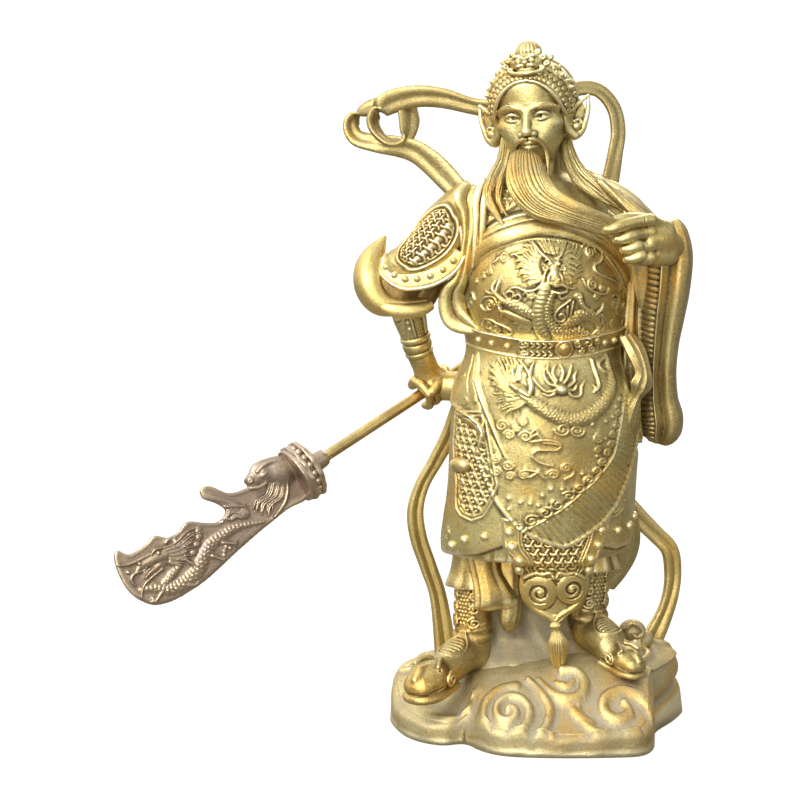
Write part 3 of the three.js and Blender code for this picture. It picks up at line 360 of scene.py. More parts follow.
# %% Brass finishes
def brass(name, metal, pale, dark, dust_and_shade, rubbed=(0.7, 0.43, 0.1), roughness=0.42, wear=0.8, grain=0.6, dust_and_shade_share=1.0,
          dust_and_shade_start=-0.05, dust_and_shade_end=0.5):
    material = bpy.data.materials.new(name)
    material.use_nodes = True
    tree = material.node_tree
    metal, pale, dark, dust_and_shade, rubbed = ((*colour, 1) for colour in (metal, pale, dark, dust_and_shade, rubbed))

    def placed(group, inputs):
        node = add_node(tree, "ShaderNodeGroup", node_tree=group)
        fill(tree, node, inputs)
        return {socket.name: Flow(tree, socket) for socket in node.outputs}

    age_and_light = placed(PATINA_AND_PAINTED_LIGHT, {"Dust and Shade Start": dust_and_shade_start, "Dust and Shade End": dust_and_shade_end})
    sand = placed(GRAIN, {"Strength": grain})
    # Pale specks: grains of the cast skin, and painted glints of the metal.
    pits, specks_and_glints = sand["Speckle"].ramp(0.5, 0.34), sand["Speckle"].ramp(0.56, 0.72)
    shown = (age_and_light["Cloudy"] * 0.6).mix(metal, dark)
    # The pale colour on the ridges is rubbed metal and a painted highlight; the dust colour in the hollows is dust,
    # dark casting skin and painted shade.
    for share, colour in ((age_and_light["Rubbed"] * 0.7, rubbed), (pits * 0.75, dark), (age_and_light["Wear"] * wear, pale),
                          (age_and_light["Dust"] * dust_and_shade_share, dust_and_shade), (specks_and_glints * 0.35, pale)):
        shown = share.mix(shown, colour)
    fill(tree, tree.nodes["Principled BSDF"], {
        "Base Color": shown, "Roughness": age_and_light["Dust"] * 0.3 + roughness - age_and_light["Wear"] * 0.06,
        "Metallic": 1.0 - age_and_light["Dust"] * 0.5, "Normal": sand["Normal"]})
    return material


# The colours are those of the metal, of its rubbed ridges with their painted highlight, of its stains, of its
# dust and the painted shade in its hollows, and of its worn patches.
BRASS = brass("cast brass", (0.68, 0.59, 0.27), (1.0, 0.94, 0.66), (0.37, 0.26, 0.075), (0.085, 0.056, 0.02))
# A darker copy of the brass with painted shade, for the hanging sleeve, the hair, the helmet ribbons, the boots and
# the robe's folds.
SHADE_PAINTED_BRASS = brass("shaded brass", (0.5, 0.41, 0.18), (0.95, 0.85, 0.54), (0.27, 0.18, 0.06), (0.06, 0.04, 0.016),
                   wear=0.55)
# A dark brown copy of the brass, which paints the shadow on the sleeve under the shoulder plate.
SHADOW_PAINTED_BRASS = brass("brass in shade", (0.27, 0.19, 0.085), (0.6, 0.48, 0.25), (0.16, 0.1, 0.04), (0.06, 0.04, 0.016),
    (0.36, 0.22, 0.07), roughness=0.5, wear=0.5)
ROBE_BRASS = brass("dusty brass", (0.46, 0.39, 0.21), (0.8, 0.72, 0.46), (0.28, 0.21, 0.09), (0.27, 0.235, 0.165),
    roughness=0.52, grain=0.7, wear=0.5, dust_and_shade_share=0.9, dust_and_shade_start=-0.6, dust_and_shade_end=0.4)
BASE_BRASS = brass("plinth brass", (0.57, 0.475, 0.23), (0.98, 0.88, 0.56), (0.36, 0.25, 0.085),
    (0.36, 0.315, 0.235), roughness=0.48, grain=0.7, dust_and_shade_share=0.85, dust_and_shade_start=-0.3, dust_and_shade_end=0.4)
# A lighter, more orange copy of the brass: worn metal, with a painted orange highlight, for the front tasset, the
# flared cuff and the belt ribbons.
WORN_AND_HIGHLIGHT_BRASS = brass("worn brass with painted highlight", (0.72, 0.58, 0.25), (1.0, 0.9, 0.54), (0.5, 0.35, 0.1), (0.12, 0.08, 0.03),
    (0.8, 0.52, 0.14), grain=0.5)
ROD_BRASS = brass("rod brass", (0.66, 0.53, 0.24), (0.9, 0.8, 0.45), (0.27, 0.18, 0.06), (0.1, 0.065, 0.025),
    roughness=0.34, grain=0.15)
BLADE_BRASS = brass("blade brass", (0.44, 0.35, 0.265), (0.68, 0.59, 0.46), (0.32, 0.235, 0.17), (0.2, 0.14, 0.1),
    (0.5, 0.4, 0.24), grain=0.4)


# %% [markdown]
# ## Low relief
# A chaser raises dragons and clouds from the cloth of the robe by a millimetre or two. A relief here is a
# sheet of heights over a surface. Lines and patches are laid on it in millimetres, u across and v up.

# %% Relief
def spiral(centre, radius, turns=1.6, start=0.0, hand=1, inner=0.12):
    t = np.linspace(0, 1, int(16 * turns) + 4)
    angle = math.radians(start) + hand * 2 * math.pi * turns * t
    reach = radius * (1 - (1 - inner) * t)
    return np.stack([centre[0] + reach * np.cos(angle), centre[1] + reach * np.sin(angle)], axis=1)


class Relief:
    def __init__(self, u, v):
        self.u, self.v = np.asarray(u, float), np.asarray(v, float)
        self.layer = np.zeros((len(self.u), len(self.v)))
        self.line = np.zeros_like(self.layer)
        self.cut = np.zeros_like(self.layer)

    def window(self, path, reach):
        low, high = path.min(axis=0) - reach, path.max(axis=0) + reach
        i = slice(*np.searchsorted(self.u, (low[0], high[0])))
        j = slice(*np.searchsorted(self.v, (low[1], high[1])))
        return (i, j), self.u[i][:, None], self.v[j][None, :]

    def measure(self, path, reach):
        """Distance to a path, the share of its length at the nearest point, and the side (+ is left)."""
        where, u, v = self.window(path, reach)
        best = np.full((u.size, v.size), 1e9)
        share, side = np.zeros_like(best), np.zeros_like(best)
        steps = np.linalg.norm(np.diff(path, axis=0), axis=1)
        run = np.concatenate([[0], np.cumsum(steps)])
        for k in range(len(path) - 1):
            (au, av), (du, dv) = path[k], path[k + 1] - path[k]
            f = np.clip(((u - au) * du + (v - av) * dv) / max(steps[k] ** 2, 1e-9), 0, 1)
            eu, ev = u - au - f * du, v - av - f * dv
            far = eu * eu + ev * ev
            near = far < best
            best = np.where(near, far, best)
            share = np.where(near, run[k] + f * steps[k], share)
            side = np.where(near, np.sign(du * ev - dv * eu), side)
        return where, np.sqrt(best), share / max(run[-1], 1e-9), side, run[-1]

    def ridge(self, path, half, tall, curve=True, sink=False, power=1.0, detail=None):
        """A raised line. half and tall may be lists that run along it; sink cuts it in instead."""
        path = np.asarray(path, float).reshape(-1, 2)
        if curve and len(path) > 2:
            path = through(path, 5 * len(path))
        half, tall = np.atleast_1d(half).astype(float), np.atleast_1d(tall).astype(float)
        where, far, share, side, length = self.measure(path, half.max() * 1.3)
        half = np.interp(share, np.linspace(0, 1, len(half)), half)
        tall = np.interp(share, np.linspace(0, 1, len(tall)), tall)
        if detail:
            half, tall = detail(share * length, far * side, half, tall)
        rise = tall * np.clip(1 - (far / np.maximum(half, 1e-3)) ** 2, 0, 1) ** power
        sheet = self.cut if sink else self.line
        sheet[where] = np.maximum(sheet[where], rise)

    def inside(self, outline, reach=3.0):
        """Signed distance to a closed outline, positive inside."""
        path = np.asarray(outline, float).reshape(-1, 2)
        path = np.concatenate([path, path[:1]])
        where, far, share, _, length = self.measure(path, reach)
        u, v = self.u[where[0]][:, None], self.v[where[1]][None, :]
        within = np.zeros(far.shape, bool)
        for (au, av), (bu, bv) in zip(path[:-1], path[1:]):
            crosses = (av > v) != (bv > v)
            edge = au + (v - av) * (bu - au) / (bv - av if bv != av else 1e-9)
            within ^= crosses & (u < edge)
        return where, np.where(within, far, -far), share * length

    def patch(self, outline, tall, edge=0.8, reach=3.0):
        where, depth, run = self.inside(outline, reach)
        self.layer[where] = np.maximum(self.layer[where], tall * smooth(depth / edge + 0.5))
        return where, depth, run

    def disc(self, centre, radius, tall, power=0.5):
        self.ridge(np.array([centre, (centre[0] + 1e-3, centre[1])]), radius, tall, False, power=power)

    def pit(self, centre, radius, deep, power=1.0):
        self.ridge(np.array([centre, centre + [0.01, 0]]), radius, deep, False, True, power)

    def cloud(self, centre, radius, hand=1, start=90, tall=0.9, turns=1.5):
        self.disc(centre, radius * 1.1, tall * 0.25, 0.35)
        self.ridge(spiral(centre, radius * 0.98, turns + 0.2, start, hand), max(radius * 0.17, 0.5), tall, False)

    def heights(self):
        return self.layer + self.line - self.cut


# %% Patterns that fill a patch
def star_mail(u, v, pitch=5.2, tall=0.9):
    """Interlocked three-armed stars, whose arms hook past each other."""
    best = np.zeros(np.broadcast(u, v).shape)
    row = np.round(v / (0.866 * pitch))
    for up in (-1, 0, 1):
        level = row + up
        odd = 0.5 * (level % 2)
        column = np.round(u / pitch - odd)
        for aside in (-1, 0, 1):
            du, dv = u / pitch - (column + aside + odd), v / pitch - 0.866 * level
            far = np.hypot(du, dv)
            turn = (np.arctan2(dv, du) - np.pi / 2 + 0.9 * far) / (2 * np.pi / 3)
            lobe = np.abs((turn + 0.5) % 1 - 0.5) * 2 * np.pi / 3
            across = far * np.sin(np.minimum(lobe, np.pi / 2))
            arm = np.clip(1 - (across / 0.16) ** 2, 0, 1) ** 0.5 * np.clip((0.72 - far) / 0.14, 0, 1)
            best = np.maximum(best, arm * (1 - 0.5 * far))
    return tall * best


# %% [markdown]
# ## The robed body
# The body under its robe is a tall rounded column, so its carving is laid out by the angle round from the
# front and the level. The same levels, middles and half widths shape the solid, so the two agree.

# %% The column of the body
BODY = [(104, -1, -2, 55, 38), (125, -0.5, -2, 55, 40), (150, 1.5, -2, 54, 42), (175, 3, -2, 53.5, 42.5),
    (200, 3.5, -2, 50.5, 41), (213, 3, -1.5, 46.5, 39), (226, 2.5, -1, 43.5, 37.5), (238, 2.5, -4, 45, 39.5),
    (252, 2.5, -6, 47, 43), (268, 3, -6, 46.5, 42.5), (284, 2, -4, 44.5, 37), (298, 0, -2, 43, 31),
    (310, -1, 0, 41, 26), (319, -3, 2, 34, 20), (326, -5, 2, 20, 15), (334, -6, 0, 13, 13), (346, -6, 0, 12, 12)]
ROUND = 47.0  # mm of cloth in one radian of turn round the body


def bent(*places):
    """Angles in degrees and levels, in turn, become points in millimetres on the cloth."""
    angles, levels = np.asarray(places, float).reshape(-1, 2).T
    return np.stack([np.radians(angles) * ROUND, levels], axis=-1)


def around_body(front, fine, coarse):
    """Angles round the body, closer together within the front."""
    near = np.arange(-front, front + 1e-6, math.degrees(fine / ROUND))
    back = np.linspace(front, 360 - front, int((360 - 2 * front) * math.radians(1) * ROUND / coarse))[1:-1]
    return np.concatenate([back[back > 180] - 360, near, back[back <= 180]])


def on_body(angle, z, lift=0.0):
    mx, my, a, b = table_at(BODY, z)
    turn = np.radians(angle)
    return np.stack([mx + (a + lift) * np.sin(turn), my - (b + lift) * np.cos(turn), z + 0 * turn], axis=-1)


def body_sheet(stock, relief, angles, levels, extra=0.0):
    lift = relief.heights().T + extra
    stock.sheet(on_body(angles[None, :] + 0 * levels[:, None], levels[:, None] + 0 * angles[None, :], lift))


def body_relief(front, fine, coarse, low, high):
    angles = around_body(front, fine, coarse)
    levels = np.linspace(low, high, int((high - low) / fine) + 1)
    return Relief(np.radians(angles) * ROUND, levels), angles, levels


# %% [markdown]
# ## Wax for the rounded forms
# A head, a hand or a boot is built up as a sculptor builds wax: lumps pressed together, with soft joints,
# and hollows cut away. The lump is a grid of distances to its skin, and its skin becomes a mesh at the end.

# %% Wax
class Wax:
    def __init__(self, low, high, pitch):
        self.low, self.pitch = np.asarray(low, float), pitch
        size = np.ceil((np.asarray(high, float) - self.low) / pitch).astype(int) + 1
        self.field = np.full(size, 5.0, np.float32)

    def window(self, low, high):
        first = np.clip(np.floor((np.asarray(low) - self.low) / self.pitch).astype(int), 0, self.field.shape)
        last = np.clip(np.ceil((np.asarray(high) - self.low) / self.pitch).astype(int) + 1, first, self.field.shape)
        axes = [self.low[k] + self.pitch * np.arange(first[k], last[k]) for k in range(3)]
        return tuple(map(slice, first, last)), np.meshgrid(*axes, indexing="ij", sparse=True)

    def press(self, where, shape, soft=0.5, cut=False):
        """Joins a shape to the wax, or cuts it away, with a joint as soft as asked."""
        sign = -1 if cut else 1
        old = sign * self.field[where]
        near = np.maximum(soft - np.abs(old - shape), 0) / soft
        self.field[where] = sign * (np.minimum(old, shape) - near * near * soft * 0.25)

    def ball(self, centre, radii, soft=0.5, cut=False, turn=None):
        centre, radii = np.asarray(centre, float), np.broadcast_to(np.asarray(radii, float), (3,))
        reach = (radii if turn is None else radii.max()) + soft + 1
        where, (x, y, z) = self.window(centre - reach, centre + reach)
        place = [x - centre[0], y - centre[1], z - centre[2]]
        if turn is not None:
            place = [sum(row[k] * place[k] for k in range(3)) for row in np.asarray(turn, float)]
        one = np.sqrt(sum((p / r) ** 2 for p, r in zip(place, radii)))
        two = np.sqrt(sum((p / r ** 2) ** 2 for p, r in zip(place, radii)))
        self.press(where, one * (one - 1) / np.maximum(two, 1e-4), soft, cut)

    def rod(self, rows, soft=0.5, cut=False, curve=True):
        """A round bar along rows of x, y, z and radius."""
        rows = np.asarray(rows, float)
        if curve and len(rows) > 2:
            rows = through(rows, 4 * len(rows))
        reach = rows[:, 3].max() + soft + 1
        where, (x, y, z) = self.window(rows[:, :3].min(axis=0) - reach, rows[:, :3].max(axis=0) + reach)
        best = None
        for a, b in zip(rows[:-1], rows[1:]):
            d = b[:3] - a[:3]
            share = ((x - a[0]) * d[0] + (y - a[1]) * d[1] + (z - a[2]) * d[2]) / max(d @ d, 1e-9)
            share = np.clip(share, 0, 1)
            far = np.sqrt((x - a[0] - share * d[0]) ** 2 + (y - a[1] - share * d[1]) ** 2
                          + (z - a[2] - share * d[2]) ** 2) - a[3] - share * (b[3] - a[3])
            best = far if best is None else np.minimum(best, far)
        self.press(where, best, soft, cut)

    def carve(self, low, high, depth):
        """Cuts the skin back by depth(x, y, z), or raises it where the depth is below nothing."""
        where, (x, y, z) = self.window(low, high)
        self.field[where] += depth(x, y, z)

    def skin(self, stock, turn=np.eye(3), place=(0, 0, 0), squeeze=None):
        grid = openvdb.FloatGrid(5.0)
        grid.copyFromArray(self.field)
        points, triangles, quads = grid.convertToPolygons(isovalue=0.0, adaptivity=0.0)
        points = self.low + np.asarray(points) * self.pitch
        if squeeze:
            points = squeeze(points)
        points = points @ np.asarray(turn).T + np.asarray(place)
        faces = [np.asarray(f, int) for f in (triangles, quads) if len(f)]
        stock.add(points, *faces)


def turned_by(up=0.0, roll=0.0, nod=0.0):
    """A turn about the upright axis, after a lean to a side and a nod, in degrees."""
    (cu, su), (cr, sr), (cn, sn) = ((math.cos(math.radians(a)), math.sin(math.radians(a))) for a in (up, roll, nod))
    about_z = np.array([(cu, -su, 0), (su, cu, 0), (0, 0, 1)])
    about_y = np.array([(cr, 0, sr), (0, 1, 0), (-sr, 0, cr)])
    about_x = np.array([(1, 0, 0), (0, cn, -sn), (0, sn, cn)])
    return about_z @ about_y @ about_x


def folds(*terms):
    """A ripple for cloth: each term is a height, a count of folds round the strand and their twist along it."""
    return lambda t, angle: sum(height * np.cos(count * angle + twist * t) for height, count, twist in terms)


def combed(count, depth=0.06, wander=0.5, seed=1):
    """A ripple for a strand of hair: narrow grooves that wander and join along it."""
    random = np.random.default_rng(seed)
    lean, beat = random.uniform(0, 2 * np.pi, 3), random.uniform(0.6, 1.4, 3)

    def ripple(t, angle):
        phase = count * angle / (2 * np.pi)
        phase = phase + wander * np.sin(2 * angle + lean[0] + 3 * beat[0] * t)
        phase = phase + 0.5 * wander * np.sin(5 * angle + lean[1] + 9 * beat[1] * t)
        return depth * (np.abs(np.sin(np.pi * phase)) ** 0.6 - 1) * (0.6 + 0.4 * np.sin(3 * angle + lean[2]) ** 2)

    return ripple


# %% [markdown]
# ## Studs and beads
# Rivets and beads repeat all over the armour, so one tree of geometry nodes sets them. It puts a dome on
# every point that it is given, turned to the point's facing, each a little different in size.

# %% Stud tree
def stud_tree():
    tree = bpy.data.node_groups.new("studs", "GeometryNodeTree")
    for label, kind in (("Geometry", "Geometry"), ("Size", "Float"), ("Height", "Float"), ("Uneven", "Float"),
                        ("Seed", "Int"), ("Finish", "Material")):
        tree.interface.new_socket(label, in_out="INPUT", socket_type="NodeSocket" + kind)
    tree.interface.new_socket("Geometry", in_out="OUTPUT", socket_type="NodeSocketGeometry")
    given = tree.nodes.new("NodeGroupInput").outputs
    dome = add_node(tree, "GeometryNodeMeshUVSphere", {"Segments": 14, "Rings": 9, "Radius": 1.0})
    smoothed = add_node(tree, "GeometryNodeSetShadeSmooth", {"Geometry": dome.outputs["Mesh"]})
    facing = add_node(tree, "GeometryNodeInputNamedAttribute", {"Name": "facing"}, data_type="FLOAT_VECTOR")
    align = add_node(tree, "FunctionNodeAlignRotationToVector", {"Vector": facing.outputs["Attribute"]}, axis="Z")
    chance = add_node(tree, "FunctionNodeRandomValue", {"Seed": given["Seed"]}, data_type="FLOAT").outputs[1]
    size = ((Flow(tree, chance) - 0.5) * given["Uneven"] + 1.0) * given["Size"]
    scale = add_node(tree, "ShaderNodeCombineXYZ", {0: size, 1: size, 2: size * given["Height"]})
    place = add_node(tree, "GeometryNodeInstanceOnPoints", {
        "Points": given["Geometry"], "Instance": smoothed.outputs[0], "Rotation": align.outputs[0],
        "Scale": scale.outputs[0]})
    real = add_node(tree, "GeometryNodeRealizeInstances", {0: place.outputs[0]})
    finish = add_node(tree, "GeometryNodeSetMaterial", {"Geometry": real.outputs[0], "Material": given["Finish"]})
    add_node(tree, "NodeGroupOutput", {0: finish.outputs[0]})
    return tree


STUDS = stud_tree()


def grown(name, points, facings, tree, values, material):
    """A mesh of bare points is grown by a geometry tree into one plain mesh."""
    mesh = bpy.data.meshes.new(name)
    mesh.from_pydata([tuple(p) for p in np.asarray(points) * MM], [], [])
    store = mesh.attributes.new("facing", "FLOAT_VECTOR", "POINT")
    store.data.foreach_set("vector", np.asarray(facings, np.float32).ravel())
    piece = bpy.data.objects.new(name, mesh)
    bpy.context.collection.objects.link(piece)
    growth = piece.modifiers.new("growth", "NODES")
    growth.node_group = tree
    for item in tree.interface.items_tree:
        if item.in_out == "INPUT" and item.name in values:
            growth[item.identifier] = values[item.name]
    bpy.context.view_layer.update()
    made = made_plain(piece)
    made.materials.clear()
    made.materials.append(material)
    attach(piece, "root")
    print(name, len(made.polygons), "faces")
    mark_hollows(piece, 1.5, 0.6)
    return piece


def studs(name, points, facings, size=2.2, height=0.7, uneven=0.08, seed=4, material=BRASS, slot="cast_brass"):
    values = {"Size": size * MM, "Height": height, "Uneven": uneven, "Seed": seed, "Finish": material}
    return grown(name, points, unit(facings), STUDS, values, material)


# %% [markdown]
# ### Belly plate
# A domed plate covers the belly. A dragon's face looks out from its middle, with a mane of hair like rays,
# and its belly-plated neck sinks into coils and clouds. A thick sash lies over the plate's upper edge.

# %% Dragon on the belly plate
def whiskered_fan(relief, root, tips, count, half, tall, bow=0.15):
    """Hair that fans out from a root line to a line of tips, each hair a little bowed."""
    roots = through(root, count) if len(root) > 1 else np.repeat(np.asarray(root, float), count, axis=0)
    ends = through(tips, count)
    for k, (a, b) in enumerate(zip(roots, ends)):
        run = (b - a) * (1, 0.84, 0.93)[k % 3]
        bend = np.array([-run[1], run[0]]) * bow
        relief.ridge([a, a + 0.35 * run + 0.5 * bend, a + 0.7 * run - 0.3 * bend, a + run],
            [half, half, half * 0.4], tall * (1, 0.75, 0.9)[k % 3])


def serpent(pitch, spines=0.0):
    """Scales across a dragon's coil, and spines along its back."""
    def detail(run, side, half, tall):
        phase = run / pitch
        arch = phase - 0.35 * (side / half) ** 2
        split = 0.5 * (np.floor(arch) % 2)
        lanes = np.abs(np.sin(math.pi * (1.6 * side / half + split)))
        scale = 0.5 + 0.5 * np.abs(np.sin(math.pi * arch)) ** 0.6 * (0.45 + 0.55 * lanes)
        spine = np.where(side > 0, 1 + spines * (1 - 2 * np.abs((phase * 0.7) % 1 - 0.5)), 1)
        return half * spine, tall * scale
    return detail


def plated(pitch):
    """The smooth belly plates under a dragon's throat."""
    def detail(run, side, half, tall):
        return half, tall * (0.7 + 0.3 * np.sqrt(np.abs(np.sin(math.pi * (run / pitch + 0.2 * side / half)))))
    return detail


def belly_dragon(relief):
    # Hair that stands up over the brow, and the mane on both sides.
    whiskered_fan(relief, bent(-4, 282, 2, 281, 7, 282.4), bent(-8, 288, -3, 289.6, 2, 290, 7, 289.4, 10.5, 288),
        13, 0.45, 1.1, 0.0)
    whiskered_fan(relief, bent(-6.5, 281, -9.5, 275.5, -7, 268.5),
        bent(-15, 288, -20, 286, -25, 282, -26.5, 277.5, -27, 274, -25.5, 270, -23, 267, -19, 264, -15, 262.5),
        23, 0.62, 1.4, 0.2)
    whiskered_fan(relief, bent(7.5, 280, 8, 274, 6, 267), bent(14, 287, 20, 286, 22.5, 282.5, 22, 278.5, 21, 275,
        22, 272, 20, 269, 17, 266, 13, 264), 21, 0.6, 1.3, 0.2)
    # Horns, a hanging whisker, the plated neck, and the coils behind it.
    for horn in ([-12, 288, -8.3, 283.2, -4.4, 279.8, 0.3, 278.6], [12.4, 288, 9.2, 284.2, 6.2, 280.4, 2.7, 278.8]):
        relief.ridge(bent(horn), [0.7, 1.2, 1.5, 1.5], [1.4, 2.4, 2.8, 2.4])
    relief.ridge(bent(-6, 260.5, -10.5, 254, -11.5, 246, -10.5, 239, -6.5, 234.5), 0.6, 1.1)
    neck = bent(-5, 263, -7.2, 256, -8.4, 250.7, -8.7, 245.5, -7.5, 240.3, -4.2, 234.6)
    relief.ridge(neck, [3.6, 3.9, 4.1, 4.2, 4.1, 3.8], 2.6, power=0.6, detail=plated(2.5))
    back = bent(0.3, 260.5, -2, 255.8, -3.6, 249.7, -2.8, 244.5, 1.4, 239.6, 7, 236.6, 13.2, 236.4, 19.7, 236.6, 27,
        236)
    relief.ridge(back, [1.8, 2.4, 2.8, 3.2, 3.8, 4.0, 4.0, 3.4, 2.0], 2.2, detail=serpent(1.9, 0.4))
    coil = bent(9.5, 240.6, 15.6, 243.8, 21, 247, 27.7, 247.2, 34.3, 243.8, 37, 240)
    relief.ridge(coil, [3.0, 3.6, 3.8, 3.6, 3.0, 2.0], 2.3, detail=serpent(1.9, 0.2))
    relief.ridge(bent(-34, 254.6, -26, 252.6, -18.7, 249.5, -12, 247), [2.0, 3.8, 4.0, 3.2],
        2.3, detail=serpent(2.0))
    relief.ridge(bent(-37, 249, -29, 246.8, -21, 244.4, -13, 242), [1.6, 2.6, 2.8, 2.0], [0.8, 1.5, 1.5, 0.8])
    whiskered_fan(relief, bent(-22, 243, -14, 241.4), bent(-27, 242, -24.5, 239.4, -20.7, 238, -16, 237.6),
        8, 0.6, 1.2)
    # Legs with their claws, and the flames and tendrils that curl between them.
    for arm, claws in (([-33.5, 254.5, -37.5, 256.5, -40.6, 258.6],
            ([-39.3, 263, -37.8, 268.4], [-44, 262, -43, 265.6], [-45.5, 258.8, -51.5, 259.8])),
            ([-34, 255, -37.3, 253, -36.5, 250], ([-35.1, 248, -37, 244.6],)),
            ([18.8, 258, 20.5, 253.5, 25.2, 249.8, 32, 247], ([37, 250, 39, 253],)),
            ([34, 246, 38, 246, 39, 243], ([36, 238, 31.7, 235], [38.6, 238, 36.4, 234.6], [42, 239, 40.4, 236]))):
        relief.ridge(bent(arm), [2.2, 1.9, 1.6], 2.2, detail=serpent(1.7))
        for claw in claws:
            relief.ridge(bent(*arm[-2:], *claw), [1.3, 1.1, 0.4], [2.0, 1.8, 0.9])
    for curve, half in (([-2.6, 273.5, -5.5, 270.5, -6.6, 266.6, -9.3, 263.2, -13.3, 261, -18.6, 261, -23.6, 262.4,
            -28.6, 262.1, -33, 259.4], 0.85), ([4.8, 273.5, 5.8, 269, 8.4, 264.7, 12.4, 262.2, 16, 262.6], 0.8),
            ([-33.6, 257.9, -31, 260, -27.5, 260.1, -26.7, 258, -28.8, 256.1, -31.5, 256.8], 0.6),
            ([-25.7, 257.4, -23.3, 259, -21.4, 257, -23.1, 254.9, -26.2, 255.4, -27.1, 253.3], 0.6),
            ([-20, 258.6, -18, 260, -16.4, 257.4, -18.6, 255], 0.55), ([-30, 254.4, -32, 257, -35, 259], 0.5),
            ([12.5, 256, 8.9, 253.7, 4.6, 250.9, 2.4, 247.6, 3.3, 244.5, 7.3, 243.4, 9.6, 245.7, 7.5, 247.8, 5.2,
            247], 0.75), ([14.4, 255, 13.4, 248.5, 12.4, 244.4, 9.2, 241.4, 5.3, 242.2], 0.65),
            ([10.8, 252.6, 10.8, 248.6, 11, 246], 0.5)):
        relief.ridge(bent(curve), [half, half, half, half * 0.6], [1.6, 1.8, 1.6, 1.1])
    # Nose, upper lip, lower lip and tongue, and then what the face has twice: eye, brow, nostril, ear and cheek.
    relief.ridge(bent(0.8, 276, 1.3, 270.5, 1.8, 266), [3.6, 2.8, 3.6], [2.8, 3.4, 3.8], power=0.6)
    relief.ridge(bent(-3.4, 265.4, 1.8, 264, 6.4, 264.4, 10.4, 262), [0.8, 1.5, 1.4, 0.7], [2.0, 3.6, 3.0, 1.6])
    relief.ridge(bent(-1, 261, 4, 259.8, 9.4, 260.6), [1.0, 1.5, 1.0], [1.6, 3.0, 2.0])
    relief.ridge(bent(4, 259, 5.6, 256.6, 9, 257), [1.2, 0.8, 0.4], [2.0, 1.6, 1.0])
    for side in (-1, 1):
        eye = bent(1.2 + 2.9 * side, 276.0)[0]
        relief.disc(eye, 1.5, 4.0)
        relief.pit(eye, 0.5, 1.2)
        relief.ridge(bent(1.2 + 0.6 * side, 275, 1.2 + 3.4 * side, 278.2, 1.2 + 6 * side, 277.4), [0.9, 1.0, 0.5],
            3.6)
        relief.disc(bent(1.8 + 1.7 * side, 267.4)[0], 1.2, 4.6)
        relief.ridge(spiral(bent(1.2 + 6.6 * side, 273.4)[0], 1.9, 1.2, 90, side), 0.5, 2.2, False)
        relief.ridge(bent(1.4 + 3 * side, 271, 1.4 + 4.6 * side, 268, 1.4 + 4.4 * side, 265), [1.0, 1.2, 0.8], 2.6)


def belly_clouds(relief):
    for angle, level, radius, hand, start in ((-34.6, 278.4, 3.2, 1, 0), (-48.4, 270.9, 2.4, -1, 90),
            (-54, 268.2, 2.2, 1, 45), (-62, 264.8, 1.7, 1, 45), (-69, 251.4, 3.2, 1, 90),
            (-45.5, 252.4, 3.6, -1, 0), (-49.1, 240.6, 2.8, 1, 180), (-41.3, 238.6, 2.8, -1, 90),
            (-33.2, 237.8, 2.2, 1, 0), (-13.9, 257.9, 2.2, 1, 0), (30, 282, 3.8, 1, 0), (28.5, 264.3, 3.4, 1, 90),
            (37.1, 262.3, 2.4, -1, 0), (32.4, 257.2, 2.2, 1, 0), (50.9, 252.4, 3.0, -1, 90),
            (17.5, 257.8, 1.8, 1, 0), (52, 241, 2.4, 1, 90), (60, 262, 2.4, -1, 0), (66, 250, 2.8, 1, 0),
            (-70, 240, 2.6, -1, 0), (72, 240, 2.4, 1, 0)):
        relief.cloud(bent(angle, level)[0], radius, hand, start, 1.3)
    for tail in ([24, 284.8, 28.7, 287.4, 36.7, 285.8, 40.4, 280.3, 37.2, 276.4, 31.8, 274.8, 31.4, 271.9, 36.8,
            269, 45.2, 266.8, 55, 263.4, 57, 259.7], [-29.3, 280, -26, 280.8, -23.4, 279.1],
            [-39, 279, -42, 276.6, -45, 275.4], [47.2, 256.6, 50.7, 258, 55.4, 255.2, 52.4, 249.2, 58, 245.4],
            [21, 267.5, 24.4, 262.6, 30.8, 259.8, 40.2, 258.7, 43.8, 262],
            [-44.1, 249.2, -50.9, 249, -54.5, 252.2, -50.8, 256, -42.6, 256.6, -38.7, 252.4],
            [-57, 239.5, -52, 243.4, -45, 243.2, -41, 241.8, -36.1, 240.6, -29.2, 238.2, -30, 235.6, -44, 235.2,
            -54, 236.4], [-72, 257, -66, 258, -62, 254]):
        relief.ridge(bent(tail), [0.5, 0.75, 0.75, 0.5], 1.4)


